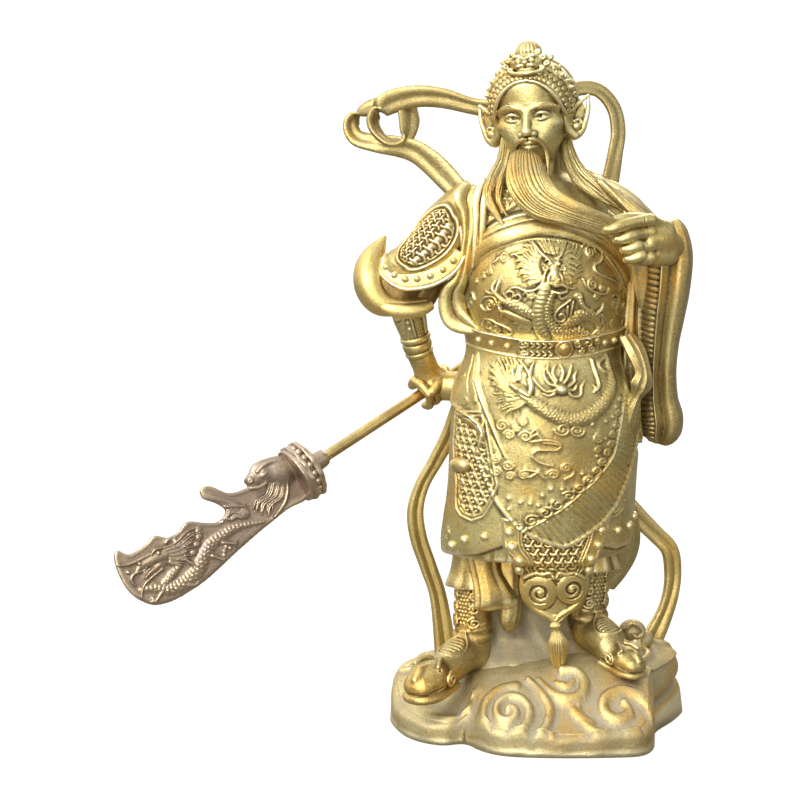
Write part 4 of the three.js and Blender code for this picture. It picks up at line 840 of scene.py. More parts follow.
def belly():
    relief, angles, levels = body_relief(96, 0.52, 4.0, 226, 344)
    turn, v = np.degrees(relief.u[:, None] / ROUND), relief.v[None, :]
    back = smooth((np.abs(turn) - 92) / 28) * smooth((v - 234) / 14) * smooth((332 - v) / 26)
    broad, fine = np.cos(np.radians(7 * turn + 34 * np.sin(v / 27))), np.cos(np.radians(15 * turn - 2 * v))
    relief.layer += 1.7 * back * broad + 0.6 * back * fine  # the robe's folds on the back
    rim = [(-84, 262), (-69.3, 273.6), (-53, 281.5), (-37.6, 286.7), (-22, 290.3), (-8.5, 292), (5, 291.6),
        (17.9, 289.6), (30, 286), (41.9, 281), (55.8, 268.6), (66, 258)]
    sash = [(-88, 258), (-74, 273), (-58, 284), (-42, 290.5), (-24, 295.5), (-6, 298.6), (10, 297.6), (25.3, 293.5),
        (40, 287.5), (54, 279), (68, 266)]
    relief.ridge(bent(rim), 1.1, 1.4)
    relief.ridge(bent([(a, z - 2.6) for a, z in rim]), 0.6, 0.7)
    relief.ridge(bent(sash), [3.0, 4.6, 6.2, 7.4, 7.6, 7.0, 6.0, 5.0, 4.0], [1.8, 2.6, 3.6, 4.0, 3.8, 3.2, 2.6],
        power=0.6)
    lip = [(a, z + 5.6) for a, z in sash[2:9]]
    relief.ridge(bent(lip), [0.6, 1.6, 1.8, 1.6, 0.6], [1.5, 3.6, 4.2, 3.6, 1.5], power=0.8)
    relief.ridge(bent([(a, z + 1.0) for a, z in sash[1:10]]), 0.8, [0.3, 0.8, 0.8, 0.3], sink=True, power=0.7)
    belly_dragon(relief)
    belly_clouds(relief)
    collar, depth, _ = relief.patch(bent(-60, 292, -36, 302, -20, 308, -22, 330, -60, 330), 1.2, 1.0)
    pattern = star_mail(relief.u[collar[0]][:, None], relief.v[collar[1]][None, :], 5.0, 1.0)
    relief.line[collar] = np.maximum(relief.line[collar], pattern * smooth(depth / 1.5 - 0.6))
    stock = Stock("belly_plate_and_sash")
    body_sheet(stock, relief, angles, levels)
    return stock.bake(BRASS)


belly_piece = belly()
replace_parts(belly_piece, FIGURE)


# %% [markdown]
# ### Belt
# A broad belt is cast over the waist, with a scrolled plaque and a round boss in front. It's a ring with
# its own relief, so its edges stand clear of the plate above and the apron below.

# %% Belt
BELT_LOW, BELT_HIGH, BELT_LIFT = 221.5, 233.0, 2.8
BOSS_ANGLE = 9.5


def belt_rise(angle):
    """The belt climbs a little from the middle to the hips."""
    return 6 * (1 - np.exp(-0.0021 * (angle + 3) ** 2 / 6))


def body_studs(name, spots, lift, size, height):
    """Studs at angles and levels round the body, each facing straight out."""
    places = [on_body(angle, level, lift) for angle, level in spots]
    facings = [on_body(angle, level, 3.2) - on_body(angle, level, 2.2) for angle, level in spots]
    return studs(name, places, facings, size, height)


def belt():
    angles = around_body(80, 0.5, 3.0)
    levels = np.linspace(BELT_LOW, BELT_HIGH, 26)
    relief = Relief(np.radians(angles) * ROUND, levels)
    middle = (BELT_LOW + BELT_HIGH) / 2
    relief.layer += 0.6 * np.sqrt(np.clip(1 - ((levels - middle) / (0.54 * (BELT_HIGH - BELT_LOW))) ** 2, 0, 1))
    low, high = BELT_LOW + 1.0, BELT_HIGH - 1.0
    plaque = bent(-22, low - 0.6, 37, low - 0.6, 39, middle, 37, high + 0.4, -22, high + 0.4, -24, middle)
    relief.patch(plaque, 1.3, 1.0)
    boss = bent(BOSS_ANGLE, middle)[0]
    relief.disc(boss, 5.2, 2.2, 0.25)
    relief.pit(boss, 4.6, 0.8, 0.2)
    relief.disc(boss, 4.0, 4.4, 0.55)
    for k in range(5):
        angle = -15.6 + 4.1 * k
        relief.ridge(bent(angle - 1.6, high - 1.2, angle + 0.6, middle + 2.4, angle - 1.4, middle + 0.9), 0.6, 1.5)
        relief.ridge(bent(angle - 1.6, low + 1.2, angle + 0.6, middle - 2.6, angle - 1.4, middle - 1.2), 0.6, 1.5)
    for angle, level, hand, size in ((19.5, 1.9, 1, 2.3), (22, -2.4, -1, 2.0), (27, 1.8, -1, 2.6),
            (30.5, -2.0, 1, 2.4), (35, 1.6, 1, 2.0), (-19.2, 1.9, 1, 2.2), (-19, -2.4, -1, 1.8)):
        relief.ridge(spiral(bent(angle, middle + level)[0], size, 1.4, 90, hand), 0.55, 1.5, False)
    for edge in (low - 0.3, high + 0.3):
        relief.ridge(bent(-88, edge, 88, edge), 0.6, 0.9, False)
    stock = Stock("belt")
    around = angles[None, :] + 0 * levels[:, None]
    stock.sheet(on_body(around, levels[:, None] + belt_rise(around), relief.heights().T + BELT_LIFT - 0.6))
    piece = stock.bake(BRASS, 1.6)
    spots = [(angle, middle - 0.2 + belt_rise(angle)) for angle in (-58, -44.5, -31, 43.5, 54, 66)]
    return [piece, body_studs("belt_rivets", spots, BELT_LIFT, 2.4, 0.8)]


# %% [markdown]
# ### Skirt, flaps and apron
# Under the belt hang, from the back to the front: the robe with its folds, an armoured flap over each hip,
# and a wide silk apron whose lower edge swings to the right in a pleated fringe. A second dragon rings it.

# %% Dragon and clouds on the apron
def apron_dragon(relief):
    # The long body and its tail, the mane, and the head in profile.
    body = [-16, 202, -12.1, 198.6, -5.6, 194.4, 0.6, 190.9, 6.9, 188.6, 13.1, 187.9, 19.7, 189, 26.7, 192.4, 32.6,
        196.7, 37.4, 201.7, 41.7, 207.4, 44.4, 214, 45.5, 222]
    relief.ridge(bent(body), [2.6, 3.2, 3.7, 3.9, 3.9, 3.7, 3.4, 3.0, 2.6, 2.2], 2.0, detail=serpent(1.6, 0.35))
    relief.ridge(bent(44.5, 222, 36, 219, 38, 214.5, 42, 214), [1.6, 1.4, 1.0], 1.3, detail=serpent(1.5))
    tips = [-29, 222.5, -40, 221.5, -46, 218.5, -43, 213.5, -41.5, 209.7, -38, 205, -35, 199.5, -31, 195, -28,
        190.5]
    roots = [-22, 210, -24.5, 208, -24, 206, -22.5, 204, -20.5, 202.5, -18, 200.5, -15, 198.3]
    whiskered_fan(relief, bent(roots), bent(tips), 27, 0.62, 1.3, 0.08)
    whiskered_fan(relief, bent(-25, 209, -19, 211), bent(-33, 222.5, -20, 222), 7, 0.5, 1.0)
    relief.ridge(bent(-25, 208, -21.5, 206.2, -17, 203.8, -13.5, 202), [1.6, 3.0, 2.6, 1.5], 2.3)
    relief.ridge(bent(-20, 203, -16, 200.5, -13, 199.5), [1.2, 1.4, 0.9], 1.7)
    relief.ridge(bent(-12.8, 203, -12.2, 208, -13.8, 213, -17, 217.6, -22.5, 221.8), [0.9, 0.9, 0.9, 0.4], 1.6)
    relief.ridge(bent(-13.6, 212, -13, 217, -10.6, 221), [1.0, 1.0, 0.3], 1.6)
    relief.ridge(bent(-14.5, 201.5, -13.2, 206, -14.6, 211), 0.7, 1.4)
    eye = bent(-21, 205.8)[0]
    relief.disc(eye, 1.5, 3.4)
    relief.pit(eye, 0.5, 1.0)
    relief.disc(bent(-13.6, 202.2)[0], 1.1, 2.9)
    # The pearl in front of the dragon, with its flames, and the claw that reaches for it.
    pearl = bent(5.6, 205.8)[0]
    relief.disc(pearl, 3.2, 3.4, 0.55)
    for flame in ([2.3, 205.1, -3.4, 204.4, -7.4, 207.3, -10, 210, -11.6, 212.4], [1.5, 203.4, -2, 202, -6, 203.4],
            [2.2, 207.6, -2, 209, -4.6, 213.4, -3.4, 217.6], [2.5, 208.8, -0.6, 213.2, -2.2, 216.1, -1.4, 219.9],
            [3.4, 210.2, 1.2, 215, 4, 219.2], [5.9, 210.2, 8, 214.6, 7, 219], [7.6, 209, 11.4, 213, 15, 219],
            [8.9, 206.5, 14.6, 210, 15, 212.5, 18.6, 216.5],
            [9.5, 204.3, 12, 201.6, 16.8, 202, 18.4, 207, 22.7, 210.6], [9.3, 205.6, 13, 205, 16, 208.4]):
        relief.ridge(bent(flame), [0.9, 0.8, 0.7, 0.3], 1.3)
    relief.ridge(bent(30.6, 221, 31, 213, 30.5, 207.5, 28, 205), [1.4, 1.4, 1.2, 1.4], 1.5)
    for toe in ((25.4, 203.2), (26.8, 207.6), (29.6, 202.4)):
        relief.ridge(bent(28.2, 205, *toe), [0.8, 0.4], 1.3, False)


APRON_LEFT = [(-46.5, 166.8), (-42.5, 159), (-36, 149), (-29, 139), (-21, 130.4), (-12, 123.2), (-3, 118),
    (10.9, 113.4)]
FRINGE_INNER = [(-8.7, 125.4), (0.2, 131), (10, 137.9), (18.6, 145.4), (27.1, 152.7), (33.9, 159.9), (39.3, 167.2),
    (42.6, 177.7), (46.5, 189.6), (50.1, 199.2)]
FRINGE_OUTER = [(16, 114.6), (24, 118.9), (36, 126.6), (45.7, 136), (54.5, 150.6), (61, 165.4), (66, 178.3),
    (65, 187.9), (58, 196), (56, 204)]


def apron_clouds(relief):
    for angle, level, radius, hand, start in ((-28.8, 184.4, 3.4, 1, 0), (-24, 179.4, 3.0, -1, 180),
            (-19.6, 183.2, 2.2, 1, 90), (-16.5, 187, 2.3, -1, 90), (-14.4, 178.8, 3.4, -1, 180),
            (6.2, 183, 3.8, 1, 180), (14.6, 182.2, 3.7, -1, 0), (9.5, 161.2, 2.9, 1, 0), (2.3, 157.4, 3.0, -1, 180),
            (-31, 164.9, 2.8, 1, 90), (-36.2, 162, 2.2, -1, 90), (-30, 158.5, 2.9, 1, 180),
            (-23.3, 162.2, 3.0, -1, 0), (-21.4, 156, 2.6, 1, 0), (-13.6, 156.9, 2.7, 1, 90),
            (28.1, 177.2, 3.0, 1, 90), (27.4, 171, 2.2, -1, 90), (23.8, 185.4, 0.9, 1, 0),
            (-69.9, 209.8, 2.4, 1, 0), (-59.2, 196.5, 2.6, -1, 0), (-52.6, 206.9, 2.2, 1, 90),
            (-50, 198.2, 2.2, -1, 90)):
        relief.cloud(bent(angle, level)[0], radius, hand, start, 1.1)
    for tail, half in (([-11.6, 175.9, -3.5, 177, 3, 176, 5.6, 173.6, 3, 171.4, -3.1, 171.4, -8, 171, -10, 168,
            -7.1, 165.1, -3, 163.4, 2, 162.4], 0.55), ([-11, 178.6, -8, 180.4, -5.6, 177.8], 0.6),
            ([-11, 181, -9, 183, -7.4, 181], 0.5), ([-4, 175.4, 2.4, 174.8, 4, 173.6], 0.45),
            ([14, 161, 13.4, 157, 9, 154.6], 0.5), ([-11, 155.4, -6.5, 158.6, -9, 159.4, -14, 160], 0.6),
            ([-2, 155, -5, 157.4, -6, 160], 0.5)):
        relief.ridge(bent(tail), half, 1.0)


def wave_border(relief):
    crest = through([(-13.5, 126.6), (-6.5, 131), (1.2, 136), (7.6, 141), (14, 146.6), (20, 151), (25.4, 156),
        (29.6, 161.4), (33.4, 166.8), (36, 172), (38, 177.5), (40, 183), (43, 190.5), (46.4, 198)], 15)
    for k, (angle, level) in enumerate(crest):
        size = 3.3 - 0.11 * k
        centre = bent(angle, level)[0]
        relief.cloud(centre, size * 1.1, 1 if k % 2 else -1, 40 * k, 2.1 - 0.06 * k, 1.3)
        if k % 2 == 0 and k < 12:
            relief.disc(centre + [-3.4, 4.2 - 0.1 * k], 0.95, 1.0)
    for angle, level in ((-21.1, 142.9), (-14, 140.9), (-20.4, 136.7), (-8.8, 140.3), (-2.4, 145.1), (2, 149),
            (47.3, 198.7), (41.4, 194.2), (38.3, 188.7), (33.1, 186.6)):
        relief.disc(bent(angle, level)[0], 1.0, 0.9)


def hip_flaps(relief):
    left = [-84, 104.6, -76, 103.8, -56.4, 105.2, -40.3, 107.8, -31.7, 111, -22, 115, -20, 150, -24, 200, -92, 200,
        -88, 180, -80, 150, -78, 136, -80, 124, -86, 112]
    relief.patch(bent(left), 2.2, 1.4)
    panel = [-76, 190, -72.6, 168, -66, 152, -64.2, 147.9, -62.4, 138, -60, 132.6, -54.5, 129, -44.2, 127, -36,
        130.4, -31.9, 138, -28, 150, -40, 192]
    where, depth, _ = relief.patch(bent(panel), 2.2, 1.0)
    trim = np.clip(1 - (depth - 0.6) ** 2 / 0.8, 0, 1) * 1.1 + np.clip(1 - (depth - 2.7) ** 2 / 0.25, 0, 1) * 0.6
    mail = star_mail(relief.u[where[0]][:, None], relief.v[where[1]][None, :], 5.6, 1.6) * smooth(depth - 3.0)
    relief.line[where] = np.maximum(relief.line[where], trim + mail)
    relief.cut[where] = np.maximum(relief.cut[where], 0.8 * smooth(depth / 1.0 - 3.0))
    knob = bent(-60, 159.5)[0]
    relief.ridge(np.array([knob - [2.4, 0.6], knob + [2.4, -0.6]]), 4.6, 5.0, False, power=0.5)
    relief.cloud(bent(-67, 117.6)[0], 2.6, 1, 90, 1.3)
    relief.cloud(bent(-70, 113.4)[0], 1.8, -1, 90, 1.1)
    right = [34, 116, 41, 112.4, 52, 109.8, 66, 110.4, 73, 112.6, 84, 118, 88, 160, 60, 175, 30, 150]
    relief.patch(bent(right), 2.2, 1.4)
    centre = bent(46, 139)[0]
    relief.ridge(spiral(centre, 9.0, 0.5, 180, 1, 1.0), 0.6, 0.9, False)
    relief.ridge(spiral(centre, 7.2, 0.5, 180, 1, 1.0), 0.5, 0.7, False)


def robe_folds(relief):
    u, v = relief.u[:, None], relief.v[None, :]
    angle = np.degrees(u / ROUND)
    side = smooth((np.abs(angle) - 66) / 26) * smooth((216 - v) / 60)
    wave = np.cos(np.radians(9 * angle + 24 * np.sin(v / 26.0)))
    relief.layer -= 5.0 * smooth((124 - v) / 12) * smooth((100 - np.abs(angle)) / 10)
    relief.layer += 1.9 * side * (np.abs(wave) ** 0.7 * np.sign(wave)) + 0.5 * side * np.cos(np.radians(23 * angle))


def skirt():
    relief, angles, levels = body_relief(97, 0.58, 3.2, 104, 230)
    robe_folds(relief)
    hip_flaps(relief)
    outline = [(-84, 236), (-84, 193), (-72.7, 190.5), (-60, 189), (-52.3, 187.4), (-45.1, 184), (-41.6, 179.5),
        (-43.4, 171.4)] + APRON_LEFT + FRINGE_OUTER + [(62, 212), (76, 236)]
    where, depth, _ = relief.patch(bent(outline), 4.6, 1.5, 4.0)
    soft_edge = 0.8 * np.clip(1 - ((depth - 1.6) / 1.6) ** 2, 0, 1)
    relief.layer[where] += np.where(depth > 0, soft_edge, 0)
    relief.layer -= 2.4 * smooth((levels - 206) / 16)[None, :] * (relief.layer > 3)
    relief.ridge(bent(-70, 188.6, -58, 186.6, -49.5, 184.4, -43.5, 180, -43.4, 173.5, -46, 167),
        [2.4, 3.4, 3.6, 3.4, 2.6, 1.6], [2.8, 3.6, 4.2, 4.0, 3.0, 1.4], power=0.7)
    relief.ridge(bent(-60, 222, -52.5, 209, -42.5, 195, -34.2, 182, -27.5, 169.5, -24.6, 166),
        [2.8, 3.0, 2.6, 2.0, 1.0], [1.0, 1.6, 1.6, 1.2, 0.5], power=1.4)
    relief.ridge(bent(-62, 222, -56, 211, -46, 197, -37.8, 185, -30.6, 173, -26.4, 166.6),
        [0.8, 1.1, 1.1, 0.9, 0.5], [1.4, 2.0, 2.2, 1.8, 0.8], sink=True)
    relief.ridge(bent(-66, 222, -63, 212, -58, 202), [0.8, 1.0, 0.6], 1.2, sink=True)
    inner = through(bent(FRINGE_INNER), 60)
    band, far, share, side, length = relief.measure(inner, 17.0)
    outside = (side < 0) & (relief.layer[band] > 4.0)
    pleat = np.abs(np.sin(math.pi * share * length / 2.7 + 0.06 * far))
    fringe = outside & (far > 0.9) & (share > 0.01)
    relief.line[band] = np.where(fringe, 0.8 * pleat ** 0.3 - 0.2, relief.line[band])
    relief.ridge(inner, 0.75, 1.2, False)
    relief.ridge(through(bent([(a - 2.2, z + 1.4) for a, z in FRINGE_INNER]), 60), 0.4, 0.8, False, sink=True)
    apron_dragon(relief)
    apron_clouds(relief)
    wave_border(relief)
    stock = Stock("skirt_and_apron")
    body_sheet(stock, relief, angles, levels)
    piece = stock.bake(BRASS)
    spots = [(-49.7, 115.6), (-34.9, 119.1), (-62, 110.6), (51.7, 121), (66.3, 122), (78, 126)]
    return [piece, body_studs("hem_rivets", spots, 2.2, 2.9, 0.9)]


for piece in [*belt(), *skirt()]:
    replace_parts(piece, FIGURE)


# %% [markdown]
# ### Cloud plinth
# The figure stands on a low cloud bank with a flat underside. Its top is rounded at the rim, and fat
# spiral curls roll over it. The outline and the levels are those of the solid.

# %% Plinth
PLINTH_LENGTH, PLINTH_DEPTH, PLINTH_MIDDLE = 180.0, 135.0, (2.0, -5.5)
PLINTH_CROWN, PLINTH_RIM, LEFT_CROWN, LEFT_RIM = 44.0, 15.0, 30.0, 25.0
OUTLINE = [(1, 0.23), (0.91, 0.64), (0.67, 0.91), (0.33, 0.85), (0.01, 1), (-0.36, 0.87), (-0.69, 0.91),
    (-0.93, 0.61), (-1, 0.14), (-0.98, -0.16), (-0.87, -0.51), (-0.67, -0.69), (-0.52, -0.63), (-0.43, -0.81),
    (-0.27, -0.955), (0.07, -1), (0.42, -0.985), (0.6, -0.94), (0.69, -0.72), (0.73, -0.36), (0.87, -0.07)]


def plinth_top(x, y):
    """The level of the plinth's top, without its curls."""
    along = (x - PLINTH_MIDDLE[0]) * 2 / PLINTH_LENGTH
    deep = (y - PLINTH_MIDDLE[1]) * 2 / PLINTH_DEPTH
    lean = smooth((along + 0.9) / 1.2)
    crown = LEFT_CROWN + (PLINTH_CROWN - LEFT_CROWN) * lean
    rim = LEFT_RIM + (PLINTH_RIM - LEFT_RIM) * smooth((along + 0.7) / 0.3)
    rise = smooth((deep + 1.07) / 0.89)
    return rim + (crown - rim) * rise


# Each curl: middle x and y, radius, turns, start angle, hand and height.
CURLS = [(-20, -57, 17.5, 2.1, 75, 1, 4.6), (-52, 36, 18, 1.7, 120, 1, 3.6), (52, 36, 17, 1.7, 80, -1, 3.6),
    (0, 46, 15, 1.6, 60, 1, 3.4), (78, 22, 12, 1.4, 0, 1, 3.2), (-78, 10, 12, 1.4, 180, -1, 3.2),
    (69, -38, 8.5, 1.3, 100, -1, 3.4)]
# Ridges that sweep between the curls, and along the front edge into the right-hand one.
SWEEPS = [([2, -71, 14, -74, 30, -76, 46, -73, 58, -67, 63, -59, 60, -51, 52, -47, 42, -47, 35, -51, 34, -58, 41,
    -62, 48, -58, 46, -53], 3.9, 4.6), ([20, -54, 21, -62, 28, -68, 40, -70, 52, -66], 2.6, 2.6),
    ([-2, -38, 5, -47, 14, -51, 22, -48, 24, -41, 20, -35, 12, -34], 3.6, 4.4),
    ([8, -40, 14, -43, 18, -40], 2.4, 2.6), ([14, -52, 18, -58, 26, -64], 3.2, 2.4),
    ([-8, -36, -1, -46, 3, -56, 0, -66, -7, -73], 3.2, 3.6), ([-40, -36, -44, -46, -45, -56], 3.0, 2.4),
    ([56, -30, 62, -26, 72, -26, 80, -16], 3.0, 2.6), ([60, -20, 66, -6, 60, 10], 3.0, 2.4),
    ([-88, 22, -72, 30, -62, 50], 3.0, 2.4), ([20, 52, 30, 40, 44, 50], 3.0, 2.4),
    ([-34, 52, -22, 40, -12, 34], 3.0, 2.2)]


def closed_through(points, count):
    points = np.asarray(points, float)
    ring = np.concatenate([points[-2:], points, points[:3]])
    fine = through(ring, 12 * len(ring))
    fine = fine[24:24 + 12 * len(points) + 1]
    run = np.concatenate([[0], np.cumsum(np.linalg.norm(np.diff(fine, axis=0), axis=1))])
    at = np.linspace(0, run[-1], count, endpoint=False)
    return np.stack([np.interp(at, run, fine[:, k]) for k in (0, 1)], axis=1)


def plinth():
    around, rings, wall = 460, 96, 34
    middle = np.array(PLINTH_MIDDLE)
    edge = closed_through([(PLINTH_MIDDLE[0] + x * PLINTH_LENGTH / 2, PLINTH_MIDDLE[1] + y * PLINTH_DEPTH / 2)
                           for x, y in OUTLINE], around)
    reach = np.abs(edge - middle).max(axis=0)
    for _ in range(26):
        edge = 0.5 * edge + 0.25 * (np.roll(edge, 1, axis=0) + np.roll(edge, -1, axis=0))
    edge = middle + (edge - middle) * np.minimum(reach / np.abs(edge - middle).max(axis=0), 1.0)
    share = 0.945 * np.linspace(0.02, 1, rings) ** 0.85
    plan = middle + (edge - middle)[None, :, :] * share[:, None, None]
    x, y = plan[..., 0], plan[..., 1]
    lobe = smooth((-34 - x) / 16) * smooth((-2 - y) / 16)
    near = share[:, None] / 0.945
    top = plinth_top(x, y) * (1 - 0.16 * near ** 8 - 0.38 * lobe * smooth((near - 0.42) / 0.5))
    cloth = Relief(np.arange(-100, 100, 0.5), np.arange(-85, 75, 0.5))
    for cx, cy, radius, turns, start, hand, tall in CURLS:
        path = spiral((cx, cy), radius, turns, start, hand, 0.06)
        cloth.disc((cx, cy), radius * 1.15, tall * 0.3, 0.5)
        cloth.ridge(path, [radius * 0.22, radius * 0.2, radius * 0.17], [tall * 0.7, tall, tall * 1.15],
            False, power=0.55)
    for path, half, tall in SWEEPS:
        cloth.ridge(np.array(path, float), [half * 0.6, half, half, half * 0.8],
            [tall * 0.6, tall, tall, tall * 0.9], power=0.55)
    u = np.clip(((x + 100) / 0.5).astype(int), 0, len(cloth.u) - 1)
    v = np.clip(((y + 85) / 0.5).astype(int), 0, len(cloth.v) - 1)
    lift = cloth.heights()[u, v] - 1.2 * smooth((near - 0.3) * 3)
    lift = lift + lobe * (3.0 * np.exp(-((near - 0.95) / 0.06) ** 2) - 2.6 * np.exp(-((near - 0.80) / 0.06) ** 2))
    top = np.minimum(top + lift, PLINTH_CROWN + 5)
    for _ in range(2):
        top[1:-1] = 0.5 * top[1:-1] + 0.25 * (top[2:] + top[:-2])
    turn = np.linspace(0, 2 * np.pi, around, endpoint=False)[None, :]
    down = np.sqrt(np.linspace(1, 0, wall))[1:, None]
    rim = top[-1][None, :]
    out = 1 - 0.055 * np.clip((down - 0.5) / 0.5, 0, 1) ** 3
    out = out - 0.006 * (1 + np.sin(13 * turn + 2 * np.sin(5 * turn))) * np.sin(math.pi * down)
    right = smooth((edge[None, :, 0] - 62) / 12) * smooth((edge[None, :, 1] + 50) / 14)
    out = out - right * (0.05 * np.exp(-((down - 0.52 - 0.12 * np.sin(7 * turn)) / 0.13) ** 2) + 0.02 * down)
    out = out - 0.004
    side_plan = middle + (edge - middle)[None, :, :] * out[..., None]
    side = np.concatenate([side_plan, (down * rim)[..., None]], axis=-1)
    cap = np.concatenate([plan, top[..., None]], axis=-1)
    stock = Stock("cloud_plinth")
    stock.sheet(np.concatenate([cap, side]))
    return stock.bake(BASE_BRASS, 2.6, 0.7, 0.6)


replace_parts(plinth(), FIGURE)


# %% [markdown]
# ### Lower robe, boots and front tasset
# Under the armour skirt the robe hangs in a few deep folds down to the cloud, and closes the space between
# the legs. Each boot has a banded shaft, a ribbed tongue and a dragon's head at the toe.

# %% Lower robe
def lower_robe():
    stock = Stock("lower_robe")
    core = [(28, -1, 12, 54, 40), (38, -1, 12, 50, 35), (44, -1, 12, 46, 29), (50, -1, 12, 42, 24),
        (60, -2, 12, 37, 19), (90, 0, 10, 37, 19), (120, 0, 4, 43, 25)]
    levels = np.linspace(28, 120, 130)[:, None]
    turn = np.linspace(0, 2 * np.pi, 280, endpoint=False)[None, :]
    mx, my, a, b = table_at(core, levels)
    front = smooth((-np.sin(turn) - 0.72) / 0.16)
    fold = 1.8 * np.cos(11 * turn + 0.9 * np.sin(levels / 19)) + 0.7 * np.cos(23 * turn + levels / 14)
    fold = fold * smooth((levels - 34) / 30) * (1 - 0.85 * front) - 0.3
    fold = fold + front * (0.7 * np.sin(5 * turn + levels / 5) * np.cos(9 * turn - levels / 7) + 0.35
        * np.sin(21 * turn + levels / 2.6))
    stock.sheet(np.stack([mx + (a + fold) * np.cos(turn), my + (b + fold) * np.sin(turn), levels + 0 * turn],
        axis=-1))
    column = stock.bake(ROBE_BRASS, 3.0, 0.8, 0.3)
    stock = Stock("robe_folds")
    for rows, count, sway in (([(-37, -12, 118, 8, 5, 1, 0.2, 0), (-34.5, -16, 106, 9, 5, 1, 0.2, 0),
            (-31.5, -18, 93, 8.5, 5, 1, 0.2, 0), (-28, -20, 83, 10.5, 5, 1, 0.2, 0),
            (-26, -21, 77.5, 12.5, 4.6, 1, 0.2, 0), (-25.6, -20.6, 76, 12, 4, 1, 0.2, 0),
            (-26, -17, 77, 8, 2, 1, 0.2, 0)], 5, 1.0),
            ([(-18, -10, 100, 8, 4), (-17, -14, 84, 7, 4), (-17, -16, 70, 6.4, 4), (-17.5, -16.4, 62, 5, 3.6),
            (-17, -14, 58, 2, 2)], 3, 2.0),
            ([(47, 10, 128, 13, 9), (49, 10, 106, 12, 8), (46, 10, 90, 9, 7), (43, 9, 78, 4, 5)], 4, 3.0),
            ([(22, -9, 116, 9, 4, 1, -0.3, 0), (24, -10, 96, 8, 4, 1, -0.3, 0), (23, -11, 78, 5.4, 4, 1, 0, 0),
            (22, -10, 66, 2, 2, 1, 0, 0)], 4, 4.0)):
        def hanging(t, angle):
            fold = 0.13 * np.abs(np.cos(0.5 * count * angle + sway + 1.2 * t)) * smooth(t * 3)
            return fold - 0.05 + 0.03 * np.cos(9 * angle + 5 * t)

        stock.strand(rows, 110, 90, hanging, 0.85)
    # The robe's folds take the darker brass with painted shade.
    return [column, stock.bake(SHADE_PAINTED_BRASS, 3.0, 0.8, 0.3)]


# %% Boots
def boot_wax():
    """One boot, with its ankle at the origin, its toe along x and its sole at z = 0."""
    wax = Wax((-16, -17, -6), (62, 17, 56), 0.5)
    wax.rod([(-5, 0, 6, 7), (0, 0, 9, 10), (10, 0, 11.5, 11), (24, 0, 10, 10.8), (36, 0, 8, 9.6), (46, 0, 7, 8)], 3)
    wax.rod([(0, 0, 10, 10.8), (-1, 0, 22, 10.4), (-0.5, 0, 40, 10.6), (0, 0, 58, 11)], 4)
    for z, reach, half in ((20.6, 9.8, 2.6), (25.6, 9.9, 1.3), (28.2, 9.9, 1.0)):
        ring = [(-1 + reach * math.cos(a), reach * math.sin(a), z, half) for a in np.linspace(0, 6.2832, 25)]
        wax.rod(ring, 1.2, curve=False)
    for y in (-5.4, 5.4):
        wax.rod([(9.3, y, 27, 0.7), (9.2, y, 40, 0.7), (9.4, y, 54, 0.7)], 0.4)
    for side in (-1, 1):
        for z, size, turns in ((30.5, 3.6, 1.6), (38.5, 3.0, 1.4), (46, 2.8, 1.4)):
            curl = spiral((0, z), size, turns, 90, side, 0.15)
            across = 6.6 + curl[::2, 0]
            out = np.sqrt(np.maximum(11.0 ** 2 - across ** 2, 1))
            wax.rod(np.stack([out, side * across, curl[::2, 1], out * 0 + 0.85], axis=1), 0.4)

    def shaft_dots(x, y, z):
        du, dv = y / 2.3, z / 2.3
        far = np.hypot((du + 0.5 * (np.round(dv) % 2)) % 1 - 0.5, dv - np.round(dv))
        return -0.8 * np.clip(1 - (far / 0.42) ** 2, 0, 1) * (np.abs(y) < 4.4) * (x > 4)

    wax.carve((0, -5, 29), (16, 5, 56), shaft_dots)

    def tongue(x, y, z):
        oval = np.hypot((x - 21) / 10.5, y / 8.4)
        ribs = 0.45 * np.cos(2 * np.pi * (x + 0.03 * y * y) / 2.7) * smooth((0.8 - oval) * 8)
        edge = -0.9 * np.exp(-((oval - 1.0) / 0.07) ** 2) + 0.6 * np.exp(-((oval - 0.86) / 0.05) ** 2)
        return ribs + edge + 0 * z

    wax.carve((8, -12, 8), (34, 12, 26), tongue)
    wax.ball((46, 0, 10), (13.2, 12, 10.2), 3)
    wax.ball((55, 0, 9.6), (7.2, 9.6, 6.8), 2.5)
    wax.rod([(49, 0, 18, 2.2), (55, 0, 18, 2.6), (59.4, 0, 14.6, 2.2)], 1.2)
    wax.rod([(30, -10, 2.4, 2.2), (48, -10.4, 2.4, 2.4), (57, -7, 3, 2.4), (60, 0, 3.2, 2.4), (57, 7, 3, 2.4),
        (48, 10.4, 2.4, 2.4), (30, 10, 2.4, 2.2)], 1.2)
    wax.rod([(46, -11.6, 7.6, 0.7), (56, -8.4, 6.6, 0.8), (61.4, 0, 6.4, 0.8), (56, 8.4, 6.6, 0.8),
        (46, 11.6, 7.6, 0.7)], 0.6, True)
    for side in (-1, 1):
        wax.ball((46, side * 7.4, 15.4), 3.8, 1.0)
        wax.rod([(45.8 + 2.3 * math.cos(a), side * (9.7 + 1.4 * math.sin(a)), 17.2 + 1.6 * math.sin(a), 0.5)
                 for a in np.linspace(0, 6.2832, 13)], 0.4, True, curve=False)
        wax.rod([(38, side * 3.6, 19, 1.5), (42.5, side * 6, 20.6, 1.6), (48, side * 8.2, 19.2, 1.3)], 1.0)
        wax.ball((57.4, side * 4.4, 13.2), 2.2, 0.8)
        curl = spiral((39.6, 9.8), 4.4, 1.4, 90, -1, 0.2)
        wax.rod([(a, side * 12.6 * math.sqrt(max(1 - ((b - 9) / 16) ** 2, 0.1)), b, 1.0) for a, b in curl[::2]],
            0.6)
    return wax


